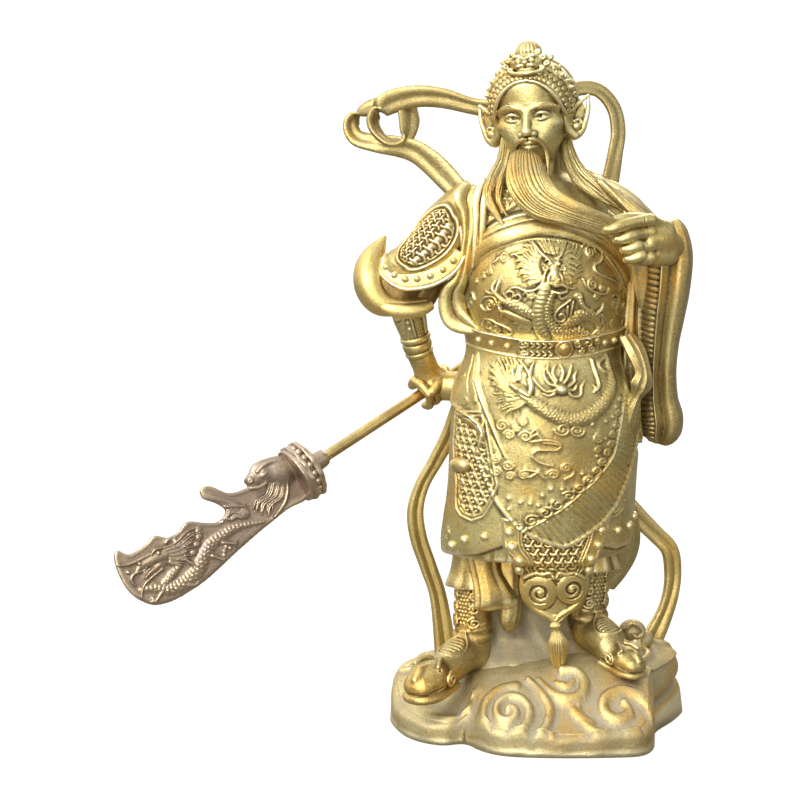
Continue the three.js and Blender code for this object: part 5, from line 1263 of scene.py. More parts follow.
def small_toe(points):
    less = 1 - 0.26 * smooth((points[:, :1] - 28) / 14)
    return points * np.concatenate([less * 0 + 1, less, less], axis=1)


def boots():
    wax = boot_wax()
    pieces = []
    for name, (ax, ay), (tx, ty), (kx, ky), hem in (("left_boot", (-40, -10), (-69, -50), (-38, -6), 84),
            ("right_boot", (31, -3), (52, -36), (33, 0), 93)):
        sole, toe_sole = plinth_top(ax, ay), plinth_top(tx, ty)
        reach = math.hypot(tx - ax, ty - ay)
        stretch = reach * 1.14 / 58
        along = np.array([(tx - ax) / reach, (ty - ay) / reach, (toe_sole - sole) / reach])
        side = np.array([-along[1], along[0], 0])
        lean = np.array([(kx - ax) / 50, (ky - ay) / 50, 1.0])
        stock = Stock(name)
        wax.skin(stock, np.stack([along * stretch, side, lean], axis=1), (ax, ay, sole - 0.5),
                 small_toe if name == "right_boot" else None)
        cuff = [(kx, ky, hem + 32, 13, 13), (kx, ky, hem + 22, 12.6, 12.6), (kx, ky, hem + 10, 14, 13.6),
            (kx, ky, hem + 2, 16.6, 15.6), (kx, ky, hem, 16.4, 15.4), (kx, ky, hem + 1, 12.5, 12)]
        stock.strand(cuff, 90, 60, lambda t, angle: np.minimum(t * 2, 1) * (
            0.05 * np.cos(5 * angle + 1) + 0.02 * np.cos(11 * angle)))
        # The boots take the darker brass with painted shade.
        pieces.append(stock.bake(SHADE_PAINTED_BRASS, 2.0, 0.5, 0.42))
    return pieces


# %% Front tasset
TASSET_MIDDLE = 7.0


def tasset_front(z):
    return table_at([(44, -27), (68, -29), (92, -33), (112, -38), (132, -43)], z)[0]


def tasset_face(x, z):
    """The level of the tasset's face: it hangs straight, but always lies on top of the hip flaps."""
    mx, my, a, b = table_at(BODY, np.maximum(z, 104.0))
    cover = my - (b + 3.6) * np.sqrt(np.clip(1 - ((x - mx) / (a + 3.6)) ** 2, 0, 1))
    hanging = tasset_front(z) - 3.3 + 0.012 * (x - TASSET_MIDDLE) ** 2
    return np.where(z > 100, hanging + np.minimum(cover - hanging, 0) * smooth((z - 100) / 6), hanging)


def front_tasset():
    edges = [(65.5, 7.6, 10.2), (67.5, 6.5, 11.4), (70.5, 1.5, 15), (74, -5.5, 19), (79, -10, 23.4),
        (85, -12.2, 26.6), (91, -12.4, 27.4), (94.5, -12, 27), (97, -14, 28.4), (100, -16.4, 30.6),
        (105, -17.2, 31.6), (108.5, -18.9, 33), (113, -22.6, 35), (118, -23.8, 36.6), (131, -24.2, 39.4)]
    levels = np.linspace(65.5, 131, 170)
    left, right = table_at(edges, levels)
    relief = Relief(np.arange(-28, 41, 0.35), np.arange(60, 134, 0.35))
    outer = [(x, z) for z, x, _ in edges] + [(x, z) for z, _, x in edges[::-1]]
    upper = [row for row in edges if row[0] > 94]
    mail = [(x + (9.4 if z > 104 else 7.4), z) for z, x, _ in upper]
    mail += [(x - (9.4 if z > 104 else 7.4), z) for z, _, x in upper[::-1]]
    where, depth, _ = relief.inside(outer, 4.0)
    relief.line[where] = np.maximum(relief.line[where], 0.7 * np.clip(1 - (depth - 1.1) ** 2 / 0.9, 0, 1))
    where, depth, _ = relief.inside(mail, 4.0)
    trim = 0.9 * np.clip(1 - (depth + 0.2) ** 2 / 0.7, 0, 1) + 0.7 * np.clip(1 - (depth - 1.9) ** 2 / 0.5, 0, 1)
    stars = star_mail(relief.u[where[0]][:, None] - 7, relief.v[where[1]][None, :], 5.8, 1.7) * smooth(depth - 2.4)
    relief.line[where] = np.maximum(relief.line[where], trim + stars)
    relief.cut[where] = 0.8 * smooth((depth - 1.4) * 1.2)
    for hand, centre, size in ((-1, (-1.4, 85.6), 10.0), (1, (17.4, 87.8), 9.2)):
        relief.disc(centre, size * 1.02, 2.2, 0.3)
        relief.ridge(spiral(centre, size * 0.66, 1.3, 90 + hand * 150, hand, 0.3), [0.8, 1.1, 0.9], [0.6, 1.9, 1.7],
            False, sink=True)
        relief.disc(centre, size * 0.27, 3.0, 0.5)
        for path, half, tall in (([(0.8, 95), (2.6, 98), (7, 97), (12, 97.4), (18, 94)], [1.2, 1.8, 1.2], 2.0),
                ([(15, 79), (10, 75), (4, 71.6), (hand, 68)], [1.4, 2.2, 1.4], 1.4)):
            relief.ridge([(TASSET_MIDDLE + hand * x, z) for x, z in path], half, tall)
    across = np.linspace(0, 1, 150)
    x = left[:, None] + (right - left)[:, None] * across
    i = np.clip(((x + 28) / 0.35).round().astype(int), 0, len(relief.u) - 1)
    j = np.clip(((levels[:, None] - 60) / 0.35).round().astype(int), 0, len(relief.v) - 1)
    lift = relief.heights()[i, j] * smooth(np.minimum(across, 1 - across) * 30)
    rim = 1.2 * (1 - smooth(np.minimum(across, 1 - across) * 25))
    base = tasset_face(x, levels[:, None] + 0 * x)
    front = np.stack([x, base + rim - lift, levels[:, None] + 0 * x], axis=-1)
    back = np.stack([x, base + 5 - rim, levels[:, None] + 0 * x], axis=-1)[:, ::-1]
    stock = Stock("front_tasset")
    stock.sheet(np.concatenate([front, back], axis=1))
    knot = [(7.6, -31, 72, 2.4, 2.4), (8, -31.5, 68, 2.2, 2.2), (8.2, -31.5, 65.5, 3.4, 3.2),
        (8.6, -31.5, 63, 2.4, 2.4), (9.4, -31, 56, 5.6, 4.6), (10.2, -30, 48, 5.2, 4.4), (10.8, -28.6, 40, 3.2, 3),
        (11.2, -28, 35, 1, 1)]
    stock.strand(knot, 120, 60, combed(17, 0.2, 0.5, 8))
    # The tasset takes the lighter brass with its painted orange highlight.
    piece = stock.bake(WORN_AND_HIGHLIGHT_BRASS, 1.8, 0.45)
    spots = [(TASSET_MIDDLE + hand * x, z) for hand in (-1, 1)
             for x, z in ((20.0, 99.0), (20.7, 106.4), (25.0, 114.4), (26.6, 123))]
    places = [(x, float(tasset_face(x, z)) - 0.2, z) for x, z in spots]
    return [piece, studs("tasset_rivets", places, [(0.02 * (x - 7), -1, 0.15) for x, z in spots], 3.1, 0.9)]


for piece in [*lower_robe(), *boots(), *front_tasset()]:
    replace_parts(piece, FIGURE)


# %% [markdown]
# ### Shoulder plate, forearm and fist
# The arm on the viewer's left wears a shoulder plate of star mail with a riveted rim, a sleeve that flares
# like a trumpet, and an ornamented bracer. The fist rests on the hip, closed round the glaive's rod.

# %% Shoulder plate and flared sleeve
ACROSS = (0.66, 0, -0.75)


def shoulder_plate():
    def dress(run, angle, t):
        v = ((angle - 0.5 * np.pi) % (2 * np.pi) - np.pi) * 15.5
        oval = np.hypot((run - 40) / 20.5, (v + 6.5) / 11.6)
        mail = (star_mail(run, v, 4.8, 1.5) - 0.8) * smooth((0.94 - oval) * 12)
        trim = 1.0 * np.clip(1 - ((oval - 1.06) * 12) ** 2, 0, 1) - 1.0 * np.exp(-((oval - 0.98) * 24) ** 2)
        return (mail + trim) * (v > -26)

    stock = Stock("shoulder_plate")
    rows = [(-38, 1, 316, 8, 11, *ACROSS), (-46, 0, 308, 11, 14.5, *ACROSS), (-53, -1, 297.5, 14.5, 17.5, *ACROSS),
        (-60.5, -2, 287, 15.5, 18, *ACROSS), (-69, -2, 279, 13.5, 17.5, *ACROSS), (-78, -1, 272.5, 12, 16, *ACROSS),
        (-87, 0, 270.4, 10.5, 13.5, *ACROSS), (-93, 0, 271.5, 8, 9.6, *ACROSS)]
    stock.strand(rows, 300, 200, None, 0.68, dress)
    border = [(-47.4, -17.6, 281, 3.4, 1.8, -0.79, 0.2, 0.62), (-53, -18, 273.4, 4.4, 2, -0.6, 0.25, 0.8),
        (-62, -17.6, 267.6, 4.8, 2, -0.3, 0.25, 0.95), (-72, -16.6, 264.8, 4.8, 2, -0.05, 0.25, 1),
        (-81, -14.8, 265, 4.8, 2, 0.25, 0.25, 0.95), (-88.4, -10.6, 269.4, 4.4, 2, 0.6, 0.1, 0.75),
        (-92.4, -4, 276, 3.2, 1.8, 0.8, 0, 0.6)]
    stock.strand(border, 40, 120, None, 0.6)
    rope = [(x - a * half, y - b * half - 0.4, z - c * half, 1.1, 1.3, a, b, c)
            for x, y, z, half, _, a, b, c in border]
    stock.strand(rope, 16, 120)
    lapel = [(-41, -12, 318, 5, 2.4, 1, 0.2, 0.3), (-43.4, -15, 311.5, 6.8, 2.8, 1, 0.2, 0.3),
        (-42.4, -17, 303.4, 4.6, 2.8, 1, 0, 0.2), (-42.6, -18, 292.3, 2.9, 2.6, 1, 0, 0),
        (-44, -18, 282.4, 2.7, 2.6, 1, 0, 0), (-45, -18, 275, 2.8, 2.7, 1, 0, 0),
        (-47.6, -17, 265, 3.8, 3, 1, 0, -0.1), (-51.6, -15, 258, 5.8, 3.2, 1, 0, -0.1),
        (-52.4, -14, 250.3, 6.6, 3.4, 1, 0, 0.1), (-49.6, -15, 243, 6.6, 3.4, 1, 0, 0.5),
        (-43.4, -18, 238.6, 4.4, 2.6, 0.7, 0, 1), (-37.6, -22, 236.4, 1.4, 1, 0.3, 0, 1)]

    def lapel_fold(t, angle):
        """Two soft folds, with a groove that wanders along the lapel's middle."""
        middle = np.cos(angle + 0.3 * np.sin(5 * t)) / 0.26
        return 0.2 * np.cos(2 * angle) + 0.07 * np.cos(3 * angle + 9 * t) - 0.4 * np.exp(-middle ** 2)

    stock.strand(lapel, 80, 160, lapel_fold, 0.8)
    stock.strand([(-52, -9, 306, 1.2, 1.4, 1, 0, 0.4), (-50, -14, 300, 2.4, 2, 1, 0, 0.2),
        (-47.4, -16.6, 292, 1.8, 2, 1, 0, 0), (-46.6, -17, 284, 1, 1.2, 1, 0, 0)], 30, 30, folds((0.15, 3, 6)))
    stock.strand([(-34, -14, 322, 2.2, 2, 1, 0, 0.4), (-38.5, -19.4, 311, 2.4, 1.8, 1, 0, 0.2),
        (-38.6, -22.4, 300, 2.0, 1.7, 1, 0, 0), (-39.4, -23.4, 284, 1.6, 1.5, 1, 0, 0),
        (-40.6, -22.4, 272, 0.9, 1, 1, 0, 0)], 24, 60, None, 0.8)
    stock.strand([(-27, -15, 326, 2, 1.5, 1, 0, 0.3), (-33.4, -22, 312, 2.2, 1.6, 1, 0, 0),
        (-35, -25.6, 298, 1.8, 1.3, 1, 0, 0), (-36.4, -26, 284, 1, 1, 1, 0, 0)], 24, 50, None, 0.8)
    piece = stock.bake(BRASS, 1.8, 0.45)
    spots = through(border, 9)[1:-1]
    facings = [(0.012 * (x + 66), -1, -0.25) for x in spots[:, 0]]
    return [piece, studs("shoulder_rivets", spots[:, :3] + [0, -1.9, 0.6], facings, 2.2, 0.8)]


def cuff():
    """The arm's sleeve under the shoulder plate, dark in its shade, and the flared cuff that ends it."""
    stock = Stock("inner_sleeve")
    stock.strand([(-60, 1, 284, 13, 12, *ACROSS), (-74, 2, 267, 14, 12, 1, 0, -0.3),
        (-79, 1, 246, 12, 11, 1, 0, 0)], 60, 60, folds((0.06, 5, 4)))
    stock.strand([(-76, 0, 272, 10, 9, 1, 0, 0.2), (-82, -0.6, 265, 14, 11.4, 1, 0, 0.1),
        (-83, -0.6, 257, 15.4, 12.4, 1, 0, 0), (-82, 0, 250.6, 13, 11, 1, 0, 0)], 60, 60, folds((0.05, 6, 3)))
    stock.strand([(-57, 1, 278, 8, 12, 1, 0, 0.3), (-63, 1, 265, 8.4, 11.4, 1, 0, 0.3),
        (-68, 1, 254, 8, 10.4, 1, 0, 0.2), (-71, 2, 247, 5, 7, 1, 0, 0)], 50, 50, folds((0.06, 5, 6)))
    # The shadow under the shoulder plate is painted: this sleeve takes the dark brown copy of the brass.
    sleeve = stock.bake(SHADOW_PAINTED_BRASS, 3.0, 1.2, 0.8)
    stock = Stock("flared_cuff")
    flare = [(-90.4, 3, 289.2, 0.8, 1.4, 1, 0, 0.5), (-93.2, 3, 284.6, 3.4, 4.5, 1, 0, 0.45),
        (-97, 2.6, 277.6, 7, 9, 1, 0, 0.35), (-99.6, 2, 269, 9.2, 13, 1, 0, 0.1),
        (-98.8, 1, 259.6, 9.8, 15, 1, 0, 0.3), (-93.6, 0, 252.4, 9.4, 15, 0.8, 0, 0.9),
        (-85.6, 0, 249.8, 7.4, 14.6, 0.35, 0, 1), (-77, 0, 249.6, 6, 14, 0, 0, 1), (-66, 1, 252, 4.4, 11, 0, 0, 1)]
    stock.strand(flare, 90, 90, folds((0.03, 2, 5)), 0.8)
    roll = [(-94, -11, 252, 1.6, 1.8, 0, 0.4, 1), (-90, -13.6, 248.6, 3.4, 3.2, 0, 0.4, 1),
        (-81, -15, 247, 4.6, 3.8, 0, 0.4, 1), (-71, -14, 247.4, 4.4, 3.8, 0, 0.4, 1),
        (-64, -10, 250, 3, 3, 0, 0.4, 1)]
    stock.strand(roll, 40, 40, folds((0.04, 3, 8)))
    # The flared cuff takes the lighter brass with its painted orange highlight.
    return [sleeve, stock.bake(WORN_AND_HIGHLIGHT_BRASS, 3.0, 1.2, 0.8)]


# %% Bracer and fist
FIST = np.array([-61.9, 15, 199.5])
ROD_AIM = unit([0.778, 0.438, 0.45])


def forearm():
    def dress(run, angle, t):
        v = ((angle - 0.5 * np.pi) % (2 * np.pi) - np.pi) * 9.5
        strip = np.abs(v - 4.4)
        far = np.hypot((v / 1.7 + 0.5 * (np.round(run / 1.6) % 2)) % 1 - 0.5, run / 1.6 - np.round(run / 1.6))
        dots = 0.55 * np.clip(1 - (far / 0.36) ** 2, 0, 1) * (strip < 3.0) - 0.35 * (strip < 3.4)
        edge = 0.8 * np.clip(1 - ((strip - 4.0) / 0.7) ** 2, 0, 1)
        leaf = np.hypot((v + 6.4) / (6.0 - 0.19 * run), np.maximum(run - 8, 0) / 13.0)
        plate = 1.0 * smooth((1 - leaf) * 6) - 0.6 * np.clip(1 - ((leaf - 0.78) / 0.06) ** 2, 0, 1)
        boss = 2.4 * np.clip(1 - ((v + 6.6) / 3.0) ** 2 - ((run - 7.5) / 4.0) ** 2, 0, 1) ** 0.5
        for place in (5.4, 9.4, 13.4, 17.2):
            plate = plate + 0.9 * np.clip(1 - ((v + 1.9) / 1.1) ** 2 - ((run - place) / 1.1) ** 2, 0, 1) ** 0.5
        above = smooth((23.2 - run) * 2) * smooth((run - 3) * 0.6)
        rings = sum(tall * np.clip(1 - ((run - at) / half) ** 2, 0, 1) ** 0.5
                    for at, half, tall in ((25.2, 1.6, 1.1), (30.0, 2.6, 0.9), (34.4, 1.3, 0.8)))
        return (dots + edge + plate + boss) * above + rings

    stock = Stock("bracer_and_fist")
    rows = [(-78.5, 1, 254, 10.5, 10.5, 1, 0, 0.3), (-76.4, 2, 243, 10, 10, 1, 0, 0.3),
        (-73.2, 4, 231, 8.2, 8.2, 1, 0, 0.4), (-71.4, 6, 224, 7.8, 8.2, 1, 0, 0.4),
        (-69, 8, 217, 7.6, 8, 1, 0, 0.4), (-65.6, 11, 209, 7.2, 7.4, 1, 0, 0.4), (-63, 13, 203, 5, 5, 1, 0, 0.4)]
    stock.strand(rows, 150, 150, None, 1.0, dress)
    wax = Wax((-84, -6, 178), (-34, 32, 226), 0.45)
    front = unit(np.array([0, -1, 0]) + ROD_AIM[1] * ROD_AIM)
    under = np.cross(ROD_AIM, front)
    wax.rod([(-68, 9, 215, 7.2), (-66, 11, 209, 7.8), (-64, 13, 203, 8.2)], 2)
    wax.ball(FIST + (-0.5, 0, 1.5), (9.2, 9.6, 9.8), 3)
    wax.rod([(-59, 13, 200, 8.6), (-50, 10, 200, 8.8), (-38, 6, 200, 9)], 3)
    for k in range(4):
        middle = FIST + ROD_AIM * (-9.2 + 5.3 * k)
        turns = np.radians(np.linspace(-125, 118 - 6 * k, 12))
        rows = []
        for i, turn in enumerate(turns):
            bend = 8.4 + (0.9 if i in (2, 6) else 0)
            rows.append((*(middle + bend * (math.cos(turn) * front + math.sin(turn) * under)), 3.0 - 0.06 * i))
        wax.rod(rows, 0.45, curve=False)
    wax.rod([(*(FIST + ROD_AIM * 10 - under * 5 + front * 2), 3.6),
        (*(FIST + ROD_AIM * 2 - under * 2 + front * 9.2), 3.2),
        (*(FIST - ROD_AIM * 7 + under * 1 + front * 10.4), 2.9)], 0.5)
    wax.rod([(*(FIST - ROD_AIM * 30), 3.65), (*(FIST + ROD_AIM * 40), 3.65)], 0.2, True, curve=False)
    wax.skin(stock)
    return stock.bake(BRASS, 1.6, 0.4)


for piece in [*shoulder_plate(), *cuff(), forearm()]:
    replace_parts(piece, FIGURE)


# %% [markdown]
# ### Hanging sleeve and the hand in the beard
# The wide sleeve on the viewer's right hangs from the wrist as a deep pouch. Its edge folds back, so a
# ribbed lining shows along its front. The hand holds the beard between thumb and fingers.

# %% Sleeve
def hanging_sleeve():
    def dress(run, angle, t):
        way = np.degrees(angle)
        lining = smooth((way - 199) / 3) * smooth((249 - way) / 3) * smooth((run - 8) / 3) * smooth((128 - run) / 3)
        ribs = 1.5 * np.abs(np.sin(np.pi * run / 3.3)) ** 0.5 - 2.4
        edges = 1.2 * (np.exp(-((way - 197) / 2.4) ** 2) + np.exp(-((way - 252) / 2.4) ** 2))
        dip = -4.6 * np.exp(-((way - 272) / 12) ** 2) * smooth(run / 14) * smooth((136 - run) / 12)
        roll = 1.4 * np.exp(-((way - 310) / 13) ** 2) + 0.8 * np.cos(np.radians(5 * way) + run / 22) * (way < 190)
        return lining * ribs + edges + dip + roll

    stock = Stock("hanging_sleeve")
    rows = [(70, -20, 299, 5, 6), (71, -20, 292, 10.4, 13), (70.5, -19, 279, 14.4, 16.5),
        (69.5, -18, 262, 14.6, 17.5), (68, -16, 245, 13.6, 17), (67, -14, 229, 12, 16.5),
        (66.5, -13, 212, 11.5, 15.8), (67.5, -12, 196, 12, 15.8), (69.5, -12, 183, 13.2, 15.6),
        (69, -12, 174, 11, 12.6), (68, -12, 169.6, 4.6, 5.6)]
    stock.strand(rows, 260, 220, None, 0.95, dress)
    stock.strand([(20, 4, 316, 12, 13, 0, 0, 1), (32, 3, 311, 13, 15, 0, 0, 1), (46, 1, 303, 13, 15, 0.3, 0, 1),
        (58, -1, 291, 12, 14, 0.7, 0, 1), (68, -7, 277, 12, 14, 1, 0, 0.4)],
        90, 60, folds((0.1, 5, 6), (0.05, 9, -4)))
    stock.strand([(46, 0, 302, 12, 13), (54, 0, 270, 13, 14), (54, 1, 235, 12, 14), (54, 2, 196, 10, 12),
        (54, 3, 168, 7, 8)], 120, 90, folds((0.07, 7, 3), (0.03, 15, 0)))
    stock.strand([(30, -22, 322, 2, 1.6, 1, 0, 0.6), (42, -25, 311, 3.4, 2, 1, 0, 0.8),
        (53, -28, 302, 3.6, 2.2, 1, 0, 0.9), (62, -30, 297, 2.4, 2, 1, 0, 1)], 40, 40, combed(3, 0.25, 0.3, 31))
    stock.strand([(41, -20, 316, 2.4, 1.6), (46, -25, 304, 2.6, 1.8), (49, -28, 292, 2, 1.6)],
        30, 30, combed(3, 0.25, 0.3, 32))
    stock.strand([(47, -24, 233, 4.4, 2.6, 1, 0.3, 0.6), (52, -28.4, 225, 5.4, 3.6, 1, 0.3, 0.5),
        (56, -30, 214, 4.6, 4, 1, 0.3, 0.3), (55.6, -30, 206.4, 6.4, 4.4, 1, 0.3, 0),
        (53, -29, 199.6, 3.6, 3.6, 1, 0.3, 0), (51.4, -28.4, 192, 4.8, 3.4, 1, 0.3, -0.2),
        (50.4, -27, 182, 5, 2.8, 1, 0.3, -0.2), (50.6, -25.6, 173, 1.4, 1.2, 1, 0.3, 0)],
        110, 130, lambda t, angle: (0.1 * np.cos(3 * angle + 7 * t)
                                    - 0.16 * np.abs(np.cos(4.5 * angle + 5 * t)) ** 0.6 + 0.1))
    # The sleeve takes the darker brass with painted shade; its hollows are marked over a broad reach, so the
    # painted shade spreads over its folds.
    return stock.bake(SHADE_PAINTED_BRASS, 3.0, 0.6, 0.3)


# %% Hand
def raised_hand():
    wax = Wax((26, -64, 264), (90, -12, 308), 0.45)
    wax.rod([(75, -20, 279, 7.4), (72.5, -27, 283, 7.8), (68, -34, 286, 8.2), (62.6, -40, 288, 8),
        (57, -43.5, 289, 7.4)], 2)
    wax.rod([(66, -38, 294, 6), (58, -43, 297, 5)], 3)
    wax.rod([(68, -38, 280, 5.6), (59, -43, 279, 5)], 3)
    for k in range(4):
        knuckle, tip = 299.5 - 6.9 * k, 294.5 - 5.4 * k
        reach = 31 + (0, 6, 10, 12)[k]
        wax.rod([(64, -41, 290 + 0.55 * (knuckle - 290), 3.6), (56.5, -46.4, knuckle, 3.7),
            (50, -50.4, knuckle - 0.2, 3.2), (reach + 8, -54, tip + 2.2, 3.3), (reach + 3, -54.4, tip + 0.6, 2.8),
            (reach, -52.6, tip, 2.2)], 0.7)
        wax.ball((56.6, -47.6, knuckle + 0.4), 3.5, 1.0)
        wax.ball((reach + 0.6, -55.2, tip + 0.7), (2.0, 0.9, 1.5), 0.3)
        wax.rod([(53, -51.4, knuckle + 3.0, 0.3), (53, -52.4, knuckle, 0.35), (53, -51.4, knuckle - 3.0, 0.3)],
            0.4, True)
    wax.rod([(62, -37, 297, 4.2), (52, -42, 300, 3.8), (43, -46, 300.5, 3.4), (37, -48, 299.5, 2.8)], 0.8)
    stock = Stock("raised_hand")
    wax.skin(stock)
    return stock.bake(BRASS, 1.6, 0.45)


for piece in (hanging_sleeve(), raised_hand()):
    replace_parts(piece, FIGURE)


# %% [markdown]
# ### Head and helmet
# The head is turned a little to one side and leans with it. The face is calm and evenly proportioned. Over
# it sits a helmet with a studded band, a lion's mask and a hair knot, with flared ear guards at its sides.

# %% Face
HEAD_PLACE = (-5.5, -4, 357)
HEAD_TURN = turned_by(up=-15, roll=-5) @ np.diag([1.13, 1.0, 1.0])


def face(wax):
    """A calm, evenly proportioned face: skull, cheeks and chin first, and then eyes, nose, mouth and brows."""
    wax.ball((0, 0, 4), (18.2, 21.5, 22))
    wax.ball((0, -4.5, -9), (14.8, 15.5, 15.5), 6)
    wax.ball((0, -9, -17), (10.5, 9.5, 8.5), 5)
    wax.ball((0, -15.6, -21.8), (4.8, 4, 3.8), 3)
    wax.ball((0, -12, 12), (13, 9.5, 8), 5)
    wax.ball((0, -11.5, 17), (14.5, 10.5, 7), 4)
    wax.rod([(0, 4, -12, 11.5), (0, 3, -38, 11.5)], 3)
    for hand in (-1, 1):
        wax.ball((hand * 10.8, -12.6, -4.5), (5.6, 5.4, 4.2), 4)
        wax.ball((hand * 7.6, -14.2, -9.5), (5, 4.4, 5), 4)
        wax.rod([(hand * 1.5, -20.0, 3.4, 1.5), (hand * 6.5, -20.2, 5.2, 1.8), (hand * 12, -17, 5.2, 1.6),
            (hand * 15, -13, 3.4, 1.2)], 2.4)
        wax.ball((hand * 7.3, -22.8, 0.4), (4.9, 4.4, 3.0), 2, True)
        wax.ball((hand * 7.3, -15.9, 0.0), (4.3, 4.2, 3.6), 0.5)
        wax.rod([(hand * 3.6, -18.6, -0.6, 0.5), (hand * 5.4, -20.3, 1.1, 0.8), (hand * 7.6, -20.7, 1.7, 0.9),
            (hand * 9.9, -19.5, 1.1, 0.85), (hand * 11.7, -17.2, -0.2, 0.5)], 0.5)
        wax.rod([(hand * 3.6, -18.6, -0.7, 0.45), (hand * 5.6, -19.9, -1.7, 0.65), (hand * 7.6, -20.1, -2.0, 0.65),
            (hand * 9.8, -19.0, -1.5, 0.6), (hand * 11.7, -17.2, -0.3, 0.45)], 0.6)
        wax.rod([(hand * 4.4, -20.2, 3.0, 0.35), (hand * 7.4, -21.6, 3.5, 0.4), (hand * 11, -18.6, 2.5, 0.35)],
            0.7, True)
        wax.ball((hand * 7.1, -20.2, -0.1), (0.9, 0.8, 0.9), 0.4, True)
    wax.rod([(0, -19.8, 3.0, 1.8), (0, -21.2, 0, 1.7), (0, -23.2, -4.5, 1.9), (0, -24.8, -8, 2.3)], 2.0)
    wax.ball((0, -25.0, -8.8), (2.5, 2.3, 2.1), 1)
    for hand in (-1, 1):
        wax.ball((hand * 3.0, -22.2, -9.9), (1.9, 2.5, 1.7), 0.8)
        wax.ball((hand * 1.7, -24, -11.5), (0.9, 1.2, 0.8), 0.4, True)
    wax.ball((0, -17, -15), (6.8, 4.6, 5.2), 3)
    wax.rod([(-5, -19.6, -15.5, 0.6), (-1.7, -21.7, -14.5, 0.95), (0, -21.7, -14.9, 0.85),
        (1.7, -21.7, -14.5, 0.95), (5, -19.6, -15.5, 0.6)], 0.6)
    wax.rod([(-4.2, -19.9, -16.9, 0.7), (0, -21.6, -17.3, 1.25), (4.2, -19.9, -16.9, 0.7)], 0.6)
    wax.rod([(-5.3, -20.3, -15.8, 0.3), (0, -22.9, -16, 0.42), (5.3, -20.3, -15.8, 0.3)], 0.4, True)
    wax.ball((0, -21.8, -19.6), (3.4, 1.3, 0.9), 1.2, True)
    for hand in (-1, 1):
        brow = through([(2.4, -21.5, 4.6), (6.2, -21.8, 6.0), (10.6, -19.3, 6.4), (15.0, -14.0, 3.8)], 13)
        for k, (x, y, z) in enumerate(brow):
            lean = k / 12
            wax.rod([(hand * x, y + 0.2, z - 0.5, 0.6), (hand * (x + 0.9 + 0.8 * lean), y, z + 1.7 - 1.5 * lean,
                0.3)], 0.2, curve=False)
        wax.rod([(hand * 0.9, -22.3, -12.5, 0.7), (hand * 3.6, -21.9, -13.0, 1.1), (hand * 6.4, -20.4, -15.2, 1.0),
            (hand * 7.8, -18.9, -18.6, 0.9)], 0.6)


# %% Helmet
def helmet(wax):
    shell = Wax(wax.low, wax.low + (np.array(wax.field.shape) - 1) * wax.pitch, wax.pitch)
    middle, radii = np.array([0, 1.5, 9.5]), np.array([22.4, 25.3, 25.2])
    shell.ball(middle, radii, 0.1)
    shell.rod([(0, 15, 2, 17), (0, 14, -14, 16), (0, 13, -30, 15)], 4)

    def round_face(x, z):
        """Distance outwards from the edge of the face opening, and the way round it."""
        one = (np.abs(x / 18.2) ** 2.4 + np.abs((z + 6) / 25.3) ** 2.4) ** (1 / 2.4)
        return (one - 1) * 19.5, np.arctan2(x, (z + 6) * 0.75)

    where, (x, y, z) = shell.window((-30, -30, -50), (30, 3, 45))
    out, _ = round_face(x, z)
    shell.press(where, np.maximum(out, y - 1.5), 1.2, True)

    def studs(x, y, z):
        out, way = round_face(x, z)
        u, v = way * 24 / 2.7, (out - 4.6) / 2.4
        row = np.round(v)
        far = np.hypot(u - np.round(u - 0.5 * row) - 0.5 * row, v - row)
        inside = (np.abs(row) <= 1) & (y < 2) & (z > -8)
        curl = np.clip(1 - (far / 0.46) ** 2, 0, 1) ** 0.6 - 0.8 * np.exp(-(far / 0.14) ** 2)
        return -0.85 * inside * curl

    shell.carve((-30, -30, -12), (30, 3, 40), studs)

    def on_rim(way, out):
        x, z = (18.2 + out * 0.9) * math.sin(way), -6 + (25.3 + out * 1.2) * math.cos(way)
        rest = 1 - ((x - middle[0]) / radii[0]) ** 2 - ((z - middle[2]) / radii[2]) ** 2
        return x, middle[1] - radii[1] * math.sqrt(max(rest, 0.0)) - 0.1, z

    def on_shell(way, tilt):
        """A point of the helmet: way from the top round the front axis, tilt away from that axis."""
        way, tilt = math.radians(way), math.radians(tilt)
        facing = np.array([math.sin(tilt) * math.sin(way), -math.cos(tilt), math.sin(tilt) * math.cos(way)])
        return middle + radii * facing, unit(facing / radii)

    for out, half, reach in ((0.5, 1.0, 1.75), (8.2, 0.9, 1.0)):
        shell.rod([(*on_rim(way, out), half) for way in np.linspace(-reach, reach, 22)], 0.5, curve=False)
    for hand in (-1, 1):
        for way, tilt, size in ((38, 57, 1.8), (58, 63, 2.0), (78, 68, 1.9), (46, 74, 1.5), (70, 82, 1.5)):
            bead, facing = on_shell(hand * way, tilt)
            shell.ball(bead, size, 0.5)
            shell.ball(bead + facing * size * 0.8, size * 0.55, 0.3)
            side = unit(np.cross(facing, (0, 0, 1)))
            for turn in np.linspace(0, 2 * math.pi, 7, endpoint=False):
                ring = side * math.cos(turn) + np.cross(side, facing) * math.sin(turn)
                shell.ball(bead + ring * size * 1.05, size * 0.36, 0.25)
        shell.rod([(*on_shell(hand * way, tilt)[0], 1.1) for way, tilt in ((12, 60), (22, 74), (40, 88), (62, 96),
            (84, 96), (100, 88), (108, 76))], 0.7)
        shell.rod([(hand * 17.2, -10, 5, 1.5), (hand * 17.4, -8, -2, 1.8), (hand * 18.2, -5.5, -8.5, 2.1),
            (hand * 21, -3.5, -12.5, 2.3)], 0.8)
    wax.press((slice(None),) * 3, shell.field, 0.4)


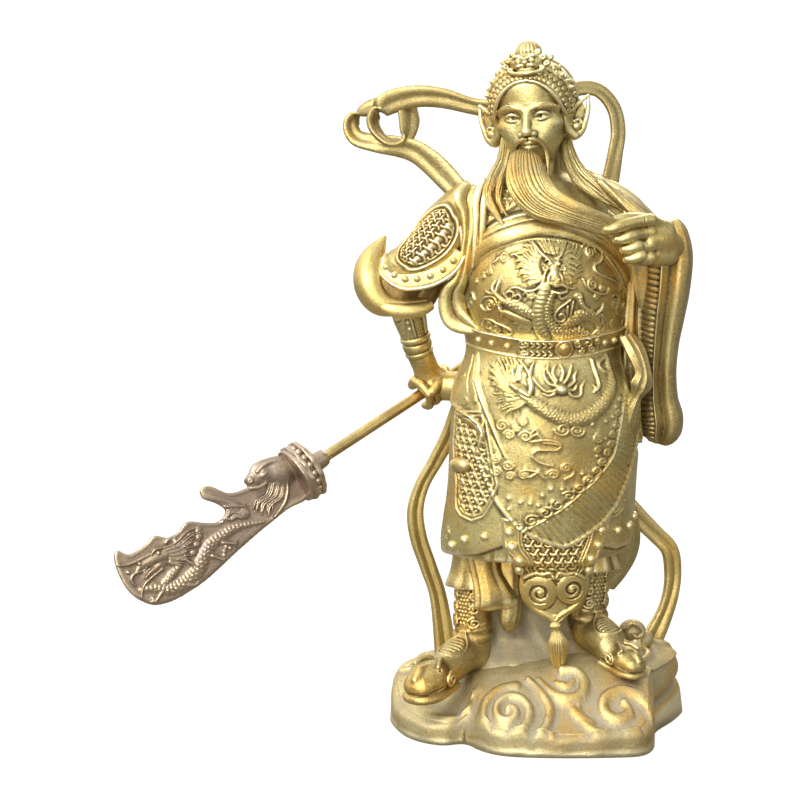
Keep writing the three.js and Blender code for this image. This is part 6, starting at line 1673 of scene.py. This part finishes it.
# %% Lion mask, hair knot and ear guards
def lion(wax, x, y, z):
    wax.ball((x, y, z), (9.6, 5.6, 5.2), 1)
    for hand in (-1, 1):
        wax.rod([(x + hand * 0.9, y - 5.0, z + 1.9, 0.8), (x + hand * 4, y - 4.6, z + 3.1, 1.2),
                 (x + hand * 7, y - 2.6, z + 2.2, 0.8)], 0.4)
        wax.ball((x + hand * 3.4, y - 4.8, z + 0.6), 1.5, 0.25)
        wax.ball((x + hand * 3.4, y - 6.3, z + 0.5), 0.6, 0.2, True)
        wax.ball((x + hand * 2.6, y - 5.0, z - 2.2), (2.4, 1.7, 1.4), 0.3)
        wax.ball((x + hand * 0.7, y - 6.8, z - 1.2), 0.4, 0.2, True)
        for dx, dy, dz, size in ((8.8, -2.2, 1.8, 2.2), (10.2, -1, -1.6, 2.1), (8, -2.4, -4, 1.8),
                (6.2, -1.6, 4.8, 1.9), (11.6, 1.5, 1.5, 2.0)):
            wax.ball((x + hand * dx, y + dy, z + dz), size, 0.3)
            wax.ball((x + hand * dx, y + dy - size, z + dz), size * 0.35, 0.3, True)
    wax.ball((x, y - 5.8, z - 0.4), (1.5, 1.5, 1.2), 0.3)
    wax.rod([(x - 5, y - 4.6, z - 3.2, 0.4), (x, y - 6.9, z - 2.9, 0.5), (x + 5, y - 4.6, z - 3.2, 0.4)], 0.3, True)
    wax.ball((x, y - 4.4, z - 4.4), (4.2, 1.8, 1.0), 0.3)
    wax.rod([(x - 10, y - 1.5, z - 5, 1.0), (x, y - 5.6, z - 6.4, 1.1), (x + 10, y - 1.5, z - 5, 1.0)], 0.4)


def ear_guard(wax, hand):
    start = np.array([hand * 21.2, 0.5, -1.0])
    out, rise = unit([hand * 0.9, 0.42, 0.0]), unit([hand * 0.12, 0.1, 1.0])
    front = unit(np.cross(out, rise)) * hand

    def at(u, v, w=0.0):
        return start + u * out + v * rise + w * front

    wax.ball(at(1, 0, -0.6), (5.4, 10.5, 1.3), 0.6, turn=[out, rise, front])
    wax.rod([(*at(u, v, w), r) for u, v, w, r in ((-3.5, -8, 0.6, 1.7), (-0.5, -12, 0.8, 2.2),
        (3.6, -9.6, 0.8, 1.9), (5.8, -3, 0.6, 1.4), (6.6, 3.5, 0.4, 1.2), (6.2, 11, 0, 0.7))], 0.5)
    wax.rod([(*at(u, v, w), r) for u, v, w, r in ((6.2, 11, 0, 0.7), (2.2, 7.4, 0.5, 1.1), (-1.2, 4, 0.9, 1.3),
        (-2.6, -1, 1, 1.4), (-2, -5, 1, 1.0))], 0.5)
    wax.ball(at(0.8, -6.4, 1.2), 2.5, 0.3)
    wax.rod([(*at(u, v, 1.2), 0.9) for u, v in ((3.6, -4.6), (2, -2.6), (-0.4, -3.2))], 0.4)


def head():
    wax = Wax((-34, -31, -39), (34, 31, 46), 0.44)
    face(wax)
    helmet(wax)
    for hand in (-1, 1):
        ear_guard(wax, hand)
    knot = (1.6, -9, 35.6)
    wax.ball(knot, (6.8, 6.8, 7.2), 0.8)

    def combing(x, y, z):
        return 0.55 * (1 - np.abs(np.sin(9 * np.arctan2(x - knot[0], -(y - knot[1])))) ** 0.7)

    wax.carve((-8, -18, 33), (11, 0, 46), combing)
    ring = [(knot[0] + 6.6 * math.sin(a), knot[1] - 6.6 * math.cos(a), 32.6, 1.2)
            for a in np.linspace(0, 6.2832, 13)]
    wax.rod(ring, 0.4, curve=False)
    lion(wax, 1.6, -17.5, 30.2)
    stock = Stock("head_and_helmet")
    wax.skin(stock, HEAD_TURN, HEAD_PLACE)
    return stock.bake(BRASS, 1.8, 0.4, 0.5)


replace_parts(head(), FIGURE)


# %% [markdown]
# ### Beard, moustache and locks
# The hair is combed into long locks. The beard falls from the chin and is swept across the chest to the
# raised hand, with its tip hanging below the fingers. The combing is cut in as narrow wandering grooves.

# %% Hair
def hair():
    stock = Stock("beard_and_locks")
    beard = [(-9.8, -22, 337.5, 5, 3, 1, 0, 0), (-11, -25.5, 334.5, 8, 5.5, 1, 0, 0),
        (-11.6, -31.5, 328, 10.8, 6.5, 1, 0, 0), (-10, -38.5, 319, 12, 7, 1, 0, 0.15),
        (-3, -43.5, 310.4, 10.8, 6.8, 0.75, 0, 0.65), (8.4, -47.5, 305, 8, 6.2, 0.45, 0, 0.9),
        (21, -49.5, 300.6, 6.6, 5.4, 0.3, 0, 1), (35, -49, 295.6, 5.8, 4.8, 0.3, 0, 1),
        (46, -47, 288.4, 5.2, 4.4, 0.9, 0, 0.3), (50.5, -46, 277, 4.8, 3.6, 1, 0, 0),
        (52, -45, 264, 3.8, 2.8, 1, 0, 0), (52.3, -45, 251, 1, 1, 1, 0, 0)]
    stock.strand(beard, 288, 150, combed(40, 0.13, 1.0, 3), 0.85)
    for hand in (-1, 1):
        wings = [(0.9, -25.6, -12.6, 1.0), (3.8, -24.6, -13.4, 1.5), (6.8, -22.4, -16, 1.4), (8.6, -21, -20.5, 1.3),
            (9.2, -22.5, -27, 1.2), (8.6 if hand < 0 else 9.6, -27, -35, 1.0),
            (7.5 if hand < 0 else 11, -32, -43, 0.5)]
        rows = []
        for x, y, z, half in wings:
            at = HEAD_TURN @ np.array([hand * x, y, z]) + HEAD_PLACE
            rows.append((*at, half, half * 0.8, 1, 0, 0.3 * hand))
        stock.strand(rows, 40, 60, combed(7, 0.25, 0.5, 5 + hand))
    locks = [[(-22, -6, 345, 2.2, 2.6), (-24, -12, 332, 3.2, 3), (-29, -17, 322, 3.8, 3),
        (-31.5, -22, 312, 3.6, 2.8), (-27, -28, 302, 2.4, 2.2), (-21, -33, 293, 0.8, 0.8)],
        [(-19, -8, 342, 1.6, 2), (-21.5, -15, 330, 2.2, 2), (-25, -21, 320, 2.2, 2), (-26, -26, 310, 1.8, 1.8),
        (-21, -31, 301, 0.6, 0.6)], [(14, -3, 346, 2.4, 3, 1, 0, 0), (16, -8, 335, 3.6, 3.4, 1, 0, 0.2),
        (21, -13, 325, 4.6, 3.6, 1, 0, 0.5), (30, -18, 317, 4.6, 3.4, 1, 0, 0.8), (40, -22, 309, 3, 2.4, 1, 0, 1),
        (49, -25, 303, 0.8, 0.8, 1, 0, 1)], [(12, -6, 343, 1.8, 2.2, 1, 0, 0),
        (13.5, -13, 332, 2.4, 2.2, 1, 0, 0.2), (18, -20, 322, 2.4, 2.2, 1, 0, 0.6), (27, -26, 314, 2, 2, 1, 0, 0.9),
        (36, -30, 308, 0.7, 0.7, 1, 0, 1)]]
    for k, lock in enumerate(locks):
        stock.strand(lock, 84, 70, combed(12, 0.26, 0.8, 20 + k))
    # The hair takes the darker brass with painted shade.
    return stock.bake(SHADE_PAINTED_BRASS, 1.2, 0.36, 0.5)


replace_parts(hair(), FIGURE)


# %% [markdown]
# ### Ribbons
# Ribbons stream from the helmet and from the belt in wide loops. Each is one long bar of brass, a little
# hollow along its middle, and is cast in one with the figure where it touches.

# %% Ribbons
THIN, THICK = 1.9, 2.9


def ribbon_piece(name, routes, material, groove):
    stock = Stock(name)
    for k, rows in enumerate(routes):
        def hollowed(t, angle):
            middle = np.cos(angle + 0.15 * np.sin(9 * t)) / 0.3
            return 0.04 * np.sin(14 * t + k) - groove * np.exp(-middle ** 2)

        stock.strand(rows, 64, 200, hollowed, 0.72)
    return stock.bake(material, 1.6, 0.9, 0.3)


def ribbons():
    upright = (0, -0.25, 1)
    upper = [[(-18, 14, 361, 4, THIN, *upright), (-28, 18, 362.5, 5, THIN, *upright),
        (-40, 20, 364.5, 4.8, THIN, *upright), (-57, 22, 369, 6, THIN, *upright),
        (-73, 24, 370, 6.8, THIN, *upright), (-89, 25, 366, 7, THIN, 0.2, -0.1, 1),
        (-97.4, 22, 358, 4.4, THIN, 0.8, 0.8, 0.3), (-95.6, 17, 349.6, 4.2, THIN, 0.7, 0.9, 0.3),
        (-88, 14, 343.4, 3.8, THIN, 0.1, 0.9, 0.6), (-79, 16, 345.6, 4.6, THIN, 0.7, 0.7, 0.2),
        (-76.5, 22.6, 355, 6.4, THIN, 1, 0.3, 0), (-77.4, 28.4, 363, 6, THIN, 1, 0.3, 0),
        (-78, 30, 369, 4, THIN, 1, 0.2, 0)], [(-82, 29, 368, 4, THIN, *upright),
        (-100, 31, 363.6, 4.8, THIN, 0.4, 0.5, 1), (-110.4, 29, 355, 5.2, THIN, 1, 0.5, 0.3),
        (-107.6, 26, 346.4, 5.4, THIN, 0.7, 0.5, 0.8), (-97, 22, 343, 5.2, THIN, 0, 0.3, 1),
        (-84, 19, 341, 6, THIN, *upright), (-73, 17, 338, 7, THIN, 0.3, -0.25, 1),
        (-63, 14, 331, 7.5, THIN, 0.5, -0.25, 1), (-54, 10, 322, 7, THIN, 0.6, -0.25, 1),
        (-45, 5, 312, 6, THIN, 0.6, -0.2, 1)], [(4, 14, 363, 5, THIN, 0, 1, 0.5),
        (18, 18, 373, 4.7, THIN, 0, 0.6, 1), (33, 20, 374, 4.7, THIN, 0.2, 0.6, 1),
        (43, 20, 364, 4.7, THIN, 0.8, 0.6, 0.4), (46, 18, 350, 4.8, THIN, 1, 0.4, 0),
        (44, 15, 336, 4.8, THIN, 1, 0.3, 0), (41, 10, 321, 5, THIN, 1, 0.3, 0), (38, 4, 308, 5, THIN, 1, 0.3, 0)]]
    lower = [[(-44, 17, 192, 6, THICK, 1, 0.4, 0), (-51, 22, 171, 5.5, THICK, 1, 0.4, 0.2),
        (-60, 25, 153, 5, THICK, 1, 0.4, 0.3), (-68.5, 27, 137, 4.8, THICK, 1, 0.4, 0.2),
        (-72.5, 28, 121, 5, THICK, 1, 0.4, 0), (-70.5, 29, 104, 5.2, THICK, 1, 0.4, -0.2),
        (-64.5, 30, 86, 5.5, THICK, 1, 0.4, -0.3), (-58, 31, 65, 5.5, THICK, 1, 0.4, -0.3),
        (-53, 32, plinth_top(-53, 32) - 5, 7, THICK + 1, 1, 0.4, 0)], [(48, 20, 134, 6, THICK, 1, 0.3, 0.4),
        (61, 24, 120, 6, THICK, 1, 0.3, 0.6), (74, 27, 107, 5.5, THICK, 1, 0.3, 0.6),
        (83, 28, 97, 5.3, THICK, 1, 0.3, 0.3), (85.5, 29, 83, 5.4, THICK, 1, 0.3, 0),
        (84.5, 29, 69, 5.5, THICK, 1, 0.3, -0.1), (80.5, 29, 55, 5.6, THICK, 1, 0.3, -0.3),
        (73, 29, plinth_top(73, 29) - 5, 7, THICK + 1, 1, 0.3, -0.4)]]
    # The helmet ribbons take the darker brass with painted shade.
    pieces = [ribbon_piece("helmet_ribbons", upper, SHADE_PAINTED_BRASS, 0.4),
        # The belt ribbons take the lighter brass with its painted orange highlight.
        ribbon_piece("belt_ribbons", lower, WORN_AND_HIGHLIGHT_BRASS, 0.6)]
    stock = Stock("small_cloud")
    stock.ball((58, 6, 52), (8.2, 6.4, 7), 40, 24)
    stock.ball((65.5, 7, 46.5), (6, 6, 5.6), 32, 20)
    stock.strand([(52, -1, 54, 1, 1), (56, -2, 58.6, 1.6, 1.8), (61.4, -2, 57.4, 1.7, 1.8),
        (63.6, -1.6, 53, 1.5, 1.7), (60.4, -1.8, 50, 1.3, 1.6), (57.4, -1.4, 52, 0.8, 1)], 20, 50)
    stock.strand([(60, 5, 52, 4, 4), (60, 5, 36, 6, 5)], 20, 8)
    return [*pieces, stock.bake(BASE_BRASS, 1.3, 2.0, 0.6)]


for piece in ribbons():
    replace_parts(piece, FIGURE)


# %% [markdown]
# ### Glaive
# The blade is a thick plate cast on its own, with a dragon in relief on both faces, a cast dragon's head at
# its root and a beaded guard. Its socket takes the end of a plain round rod.

# %% Blade
BLADE_LENGTH, BLADE_BREADTH, BLADE_THICKNESS = 117.0, 38.0, 5.0
GUARD_START, GUARD_WIDTH, ROD_RADIUS = -93.0, 10.0, 3.2
BLADE_EDGE = [(0, -0.34), (0.15, -0.36), (0.42, -0.46), (0.64, -0.57), (0.77, -0.58), (0.87, -0.54), (0.95, -0.41),
    (1, -0.08), (0.99, 0.33), (0.95, 0.52), (0.91, 0.37), (0.82, 0.36), (0.76, 0.4), (0.71, 0.27), (0.65, 0.26),
    (0.59, 0.31), (0.52, 0.16), (0.46, 0.06), (0.4, 0.13), (0.42, 0.3), (0.465, 0.48), (0.445, 0.61), (0.4, 0.56),
    (0.34, 0.33), (0.24, 0.24), (0.19, 0.22), (0.2, 0.41), (0.13, 0.49), (0, 0.3)]


def blade_wax():
    pitch = 0.42
    wax = Wax((-21, -26, -20.5), (121, 26, 20.5), pitch)
    count = wax.field.shape
    relief = Relief(wax.low[0] + pitch * np.arange(count[0]), wax.low[1] + pitch * np.arange(count[1]))
    outline = closed_through([(s * BLADE_LENGTH, w * BLADE_BREADTH) for s, w in BLADE_EDGE], 220)
    where, depth, _ = relief.inside(outline, 22.0)
    inner = np.full(relief.layer.shape, -9.0)
    inner[where] = depth
    relief.ridge([111, -6, 104, -9, 97.5, -14, 88, -15.6, 78.5, -14, 71.5, -9.6, 63.5, -5.8, 54.5, -5.4, 47, -5.6,
        38, -8.8, 31, -12], [1.6, 3.0, 3.8, 4.2, 4.2, 4.0, 3.8, 3.4, 2.8, 2.0, 1.0],
        [1.2, 1.9, 2.1, 2.1, 2.1, 2.0, 1.9, 1.7, 1.4, 1.0], detail=serpent(2.3, 0.25))
    relief.ridge([98, -10, 93, -8.6, 86, -6.4], [2.4, 3.0, 2.0], 1.8, detail=serpent(2.0))
    whiskered_fan(relief, [(89, 7), (88.4, 4.4), (88, 2), (88.6, 0), (90, -2)],
        [(66, 6.4), (64.6, 3), (67.6, 0), (71.6, -2.6), (75.8, -5.6), (81, -7.4), (85, -8)], 17, 0.75, 1.7, 0.1)
    for tip in ((66, 4.6), (67.6, 1.4), (71, -1.6), (75, -4.4)):
        relief.disc(tip, 2.2, 1.3)
    relief.disc((93.5, 3.4), 6.0, 1.5)
    relief.ridge([90, 3.4, 98, 4.6, 104.6, 5.2, 107.4, 4], [3.6, 3.2, 2.4, 1.6], [2.2, 2.6, 2.3, 1.8], power=0.6)
    relief.ridge([95, 0, 101, -0.4, 105.6, -1.6], [1.6, 1.4, 0.8], 1.8)
    relief.ridge([96, 2, 102, 2.4, 106.4, 1.6], 0.7, 1.2, sink=True)
    relief.disc((92.6, 6.0), 1.9, 3.2)
    relief.ridge([89.6, 7.4, 92.8, 8.8, 96.4, 7.6], [0.9, 1.1, 0.6], 2.6)
    relief.disc((104.6, 6.6), 1.4, 3.0)
    for whisker in ([97, 8, 106.5, 9, 112, 10.6, 116, 13], [95, -2.6, 103, -3.4, 109, -5, 113.4, -9.6],
            [106, 2.6, 110, 3.6, 113, 1.6, 112.6, -2.4], [86, 8.6, 80, 10.4, 74, 9.6]):
        relief.ridge(whisker, [1.1, 1.1, 0.5], 1.7)
    whiskered_fan(relief, [(40, 2), (41, -1), (41.6, -3)], [(49, 9.4), (50.6, 6.6), (50.8, 3.6), (49, 0.6)],
        7, 0.75, 1.6, 0.2)
    relief.disc((38.6, -1.6), 3.6, 1.6)
    relief.ridge(spiral((38.6, -1.6), 3.2, 1.3, 0, 1), 0.7, 1.3, False)
    relief.ridge([36, 1.6, 42, 5, 48.4, 8.4], [1.0, 1.3, 0.5], 1.8)
    whiskered_fan(relief, [(17.6, 4.4), (13, 2.4), (9.6, -0.6)], [(33, -2), (31.4, -6.6), (27, -11)],
        11, 0.85, 1.9, -0.2)
    relief.ridge([7.4, 0, 10.6, -5, 16, -9.6, 24.7, -12.6], [1.0, 1.5, 1.5, 0.8], 2.0)
    for start, end in (((67, -12), (63, -17)), ((79, -10), (81, -5.6)), ((58, -9), (53, -12.6)),
            ((88, -18), (84, -20.4)), ((101, -13), (107, -15.6))):
        relief.ridge([start, end], [1.6, 1.1], 1.5, False)
        for toe in (-0.7, 0, 0.7):
            way = math.atan2(end[1] - start[1], end[0] - start[0]) + toe
            relief.ridge([end, (end[0] + 3 * math.cos(way), end[1] + 3 * math.sin(way))], [0.9, 0.4], 1.4, False)
    for x, y in ((57.6, -12), (59.6, -13.4), (56, -13.8), (61, -15.4), (52, 1.6), (77, 3.6), (80.6, 6.4),
            (108, -14), (112, 6)):
        relief.disc((x, y), 1.3, 1.2)
    half = BLADE_THICKNESS / 2 - 1.3 + relief.heights() * smooth(inner / 1.6)
    half = half + 0.35 * np.exp(-((inner - 1.4) / 0.8) ** 2)
    ground_edge = smooth((-8 - relief.v[None, :]) / 5) * smooth((relief.u[:, None] - 24) / 10)
    half = half - 1.0 * smooth((3.2 - inner) / 3.2) * ground_edge
    _, (x, y, z) = wax.window((-99,) * 3, (999,) * 3)
    plate = np.maximum(np.abs(z) - half[:, :, None], -inner[:, :, None])
    wax.press((slice(None),) * 3, plate.astype(np.float32), 0.6)
    return wax


def dragon_root(wax):
    """The cast dragon's head that bites the blade, and the beaded guard behind it."""
    wax.ball((6, 6, 0), (10, 7.5, 5.6), 2)
    wax.ball((10, 9, 0), (9, 6.4, 5.4), 2)
    wax.ball((17, 11.6, 0), (6.6, 6.4, 4.8), 2)
    wax.ball((23.5, 11, 0), (5, 4.8, 4), 1.5)
    wax.rod([(22, 5.4, -9, 0.7), (27, 6.6, -9, 0.7), (31, 8.4, -9, 0.7)], 0.4, True)
    for side in (-1, 1):
        wax.ball((17.4, 11, side * 4.2), (2.9, 1.7, 1.7), 0.3)
        wax.rod([(13.6, 11, side * 4.6, 0.5), (16.6, 13.2, side * 4.8, 0.6), (20.6, 11.6, side * 4.4, 0.5)], 0.3)
        wax.rod([(13.4, 10.8, side * 4.7, 0.4), (17, 8.8, side * 4.8, 0.5), (20.6, 10.8, side * 4.4, 0.4)], 0.3)
        wax.rod([(8, 14, side * 3.2, 1.0), (14, 15.6, side * 3.6, 1.3), (20, 14.4, side * 3.6, 1.0)], 0.8)
        wax.ball((26, 12.2, side * 2.8), 2.1, 0.4)
        wax.ball((26.6, 12.4, side * 5.0), 0.9, 0.3, True)
        wax.rod([(19, 6.4, side * 3.8, 1.0), (24, 6.6, side * 3.8, 1.1), (28, 8.6, side * 3.2, 0.9)], 0.6)
    wax.rod([(40, 4.4, 0, 2.4), (44.5, 10, 0, 2.2), (50.5, 17, 0, 2.0), (52.6, 21.6, 0, 1.4)], 0.8)
    _, (x, y, z) = wax.window((-99,) * 3, (999,) * 3)
    far = np.hypot(y, z)
    turn = np.arctan2(y, z)
    scallop = 0.7 * np.abs(np.cos(6 * turn))
    for low, high, radius in ((-1.5, 1.5, 16.4), (1.0, 3.6, 17.8), (3.4, 6.6, 14.6), (6.4, 9.0, 17.8),
            (8.6, 11, 13.5)):
        middle, width = -(low + high) / 2, (high - low) / 2
        ring = np.maximum(far - radius + (scallop if radius > 17 else 0), np.abs(x - middle) - width)
        wax.press((slice(None),) * 3, ring.astype(np.float32), 0.8)
    wax.rod([(-9, 0, 0, 6), (-18, 0, 0, 5.2)], 1, curve=False)
    wax.rod([(-9, 0, 0, 3.6), (-30, 0, 0, 3.6)], 0.1, True, curve=False)


def glaive():
    outward = -ROD_AIM
    face = unit(np.array([0, 1, 0]) - ROD_AIM[1] * ROD_AIM)
    up = np.cross(face, outward)
    turn = np.stack([outward, up, face], axis=1)
    root = FIST + ROD_AIM * (GUARD_START - GUARD_WIDTH + 1)
    wax = blade_wax()
    dragon_root(wax)
    stock = Stock("blade")
    wax.skin(stock, turn, root)
    blade = stock.bake(BLADE_BRASS, 1.6, 0.4, 0.42)
    turns = np.linspace(0, 2 * np.pi, 18, endpoint=False)
    spots = [root + turn @ np.array([-5.0, 15.0 * math.cos(a), 15.0 * math.sin(a)]) for a in turns]
    facings = [turn @ np.array([0, math.cos(a), math.sin(a)]) for a in turns]
    beads = studs("guard_beads", spots, facings, 2.3, 1.0, 0.05, 7, BLADE_BRASS, "blade_brass")
    stock = Stock("rod")
    profile = through([(-98.6, 0.5), *((at, ROD_RADIUS) for at in (-98.6, -90, 0, 69)), (70, 3.3), (70.6, 4.8),
        (72, 5), (74, 4.9), (75, 3.6), (77, 4.0), (80, 3.4), (86, 1.6), (89.8, 0.2)], 160)
    circle = np.linspace(0, 2 * np.pi, 40, endpoint=False)
    stock.sheet(FIST + profile[:, :1, None] * ROD_AIM + np.maximum(profile[:, 1, None, None], 0.1) * (
        np.cos(circle)[:, None] * up + np.sin(circle)[:, None] * face))
    rod = stock.bake(ROD_BRASS, 2.0, 0.8)
    return blade, beads, rod


blade, beads, rod = glaive()
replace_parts(blade, "glaive_blade")
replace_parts(beads, "glaive_blade")
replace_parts(rod, "glaive_shaft")


# %% [markdown]
# ## Floor, light and camera
# The statue was photographed from a step away and a little above its waist, in soft even daylight against
# white. A long lens at one metre gives the same view, and large soft lights give brass its broad highlights.

# %% Floor
FLOOR_REACH = 6.0
floor_mesh = bpy.data.meshes.new("floor")
floor_mesh.from_pydata([(-FLOOR_REACH, -FLOOR_REACH, 0), (FLOOR_REACH, -FLOOR_REACH, 0),
                        (FLOOR_REACH, FLOOR_REACH, 0), (-FLOOR_REACH, FLOOR_REACH, 0)], [], [(0, 1, 2, 3)])
floor = bpy.data.objects.new("floor", floor_mesh)
bpy.context.collection.objects.link(floor)
pale = bpy.data.materials.new("pale floor")
pale.use_nodes = True
seen = Flow(pale.node_tree, pale.node_tree.nodes.new("ShaderNodeLightPath").outputs["Is Camera Ray"])
fill(pale.node_tree, pale.node_tree.nodes["Principled BSDF"], {
    "Base Color": (0.18, 0.175, 0.165, 1), "Roughness": 0.8, "Emission Color": (1, 1, 1, 1),
    "Emission Strength": seen * 0.85})
floor_mesh.materials.append(pale)

# %% Lights
TARGET = Vector((0.0, 0.0, 0.2))


def soft_light(name, place, size, power, colour=(1, 1, 1)):
    light = bpy.data.lights.new(name, "AREA")
    light.shape = "DISK"
    light.size = size
    light.energy = power
    light.color = colour
    lamp = bpy.data.objects.new(name, light)
    lamp.location = place
    lamp.rotation_euler = (TARGET - Vector(place)).to_track_quat("-Z", "Y").to_euler()
    bpy.context.collection.objects.link(lamp)


soft_light("key light", (-0.9, -1.4, 1.3), 0.8, 24)
soft_light("front light", (-0.4, -1.7, 0.15), 1.3, 15, (1, 0.95, 0.84))
soft_light("fill light", (1.5, -1.2, 0.9), 1.0, 4)
soft_light("back light", (0.5, 1.4, 1.3), 0.9, 12)


def studio_air():
    """The air of the room: bright above and to the left, dim to the right, plain white where it is looked at."""
    world = bpy.data.worlds.new("studio")
    world.use_nodes = True
    tree = world.node_tree
    way = add_node(tree, "ShaderNodeSeparateXYZ", {0: tree.nodes.new("ShaderNodeTexCoord").outputs["Generated"]})
    rise = Flow(tree, way.outputs["Z"]).ramp(-0.2, 0.9)
    left = (Flow(tree, way.outputs["X"]) * -1.0).ramp(-0.8, 0.8)
    glow = rise * (left * 1.15 + 0.3) + (left * 0.5 + 0.27)
    seen = Flow(tree, tree.nodes.new("ShaderNodeLightPath").outputs["Is Camera Ray"])
    strength = glow.math("MAXIMUM", glow, seen * 1.1)
    fill(tree, tree.nodes["Background"], {"Strength": strength, "Color": (1, 1, 1, 1)})
    bpy.context.scene.world = world


studio_air()

# %% Camera
lens = bpy.data.cameras.new("camera")
lens.lens = 77.22
lens.sensor_width = 36
camera = bpy.data.objects.new("camera", lens)
camera.location = (-0.08185, -1.0, 0.33)
aim = Vector((-0.08185, 0.0, 0.193165)) - camera.location
camera.rotation_euler = aim.to_track_quat("-Z", "Y").to_euler()
bpy.context.collection.objects.link(camera)
bpy.context.scene.camera = camera
bpy.context.scene.view_settings.view_transform = "Standard"
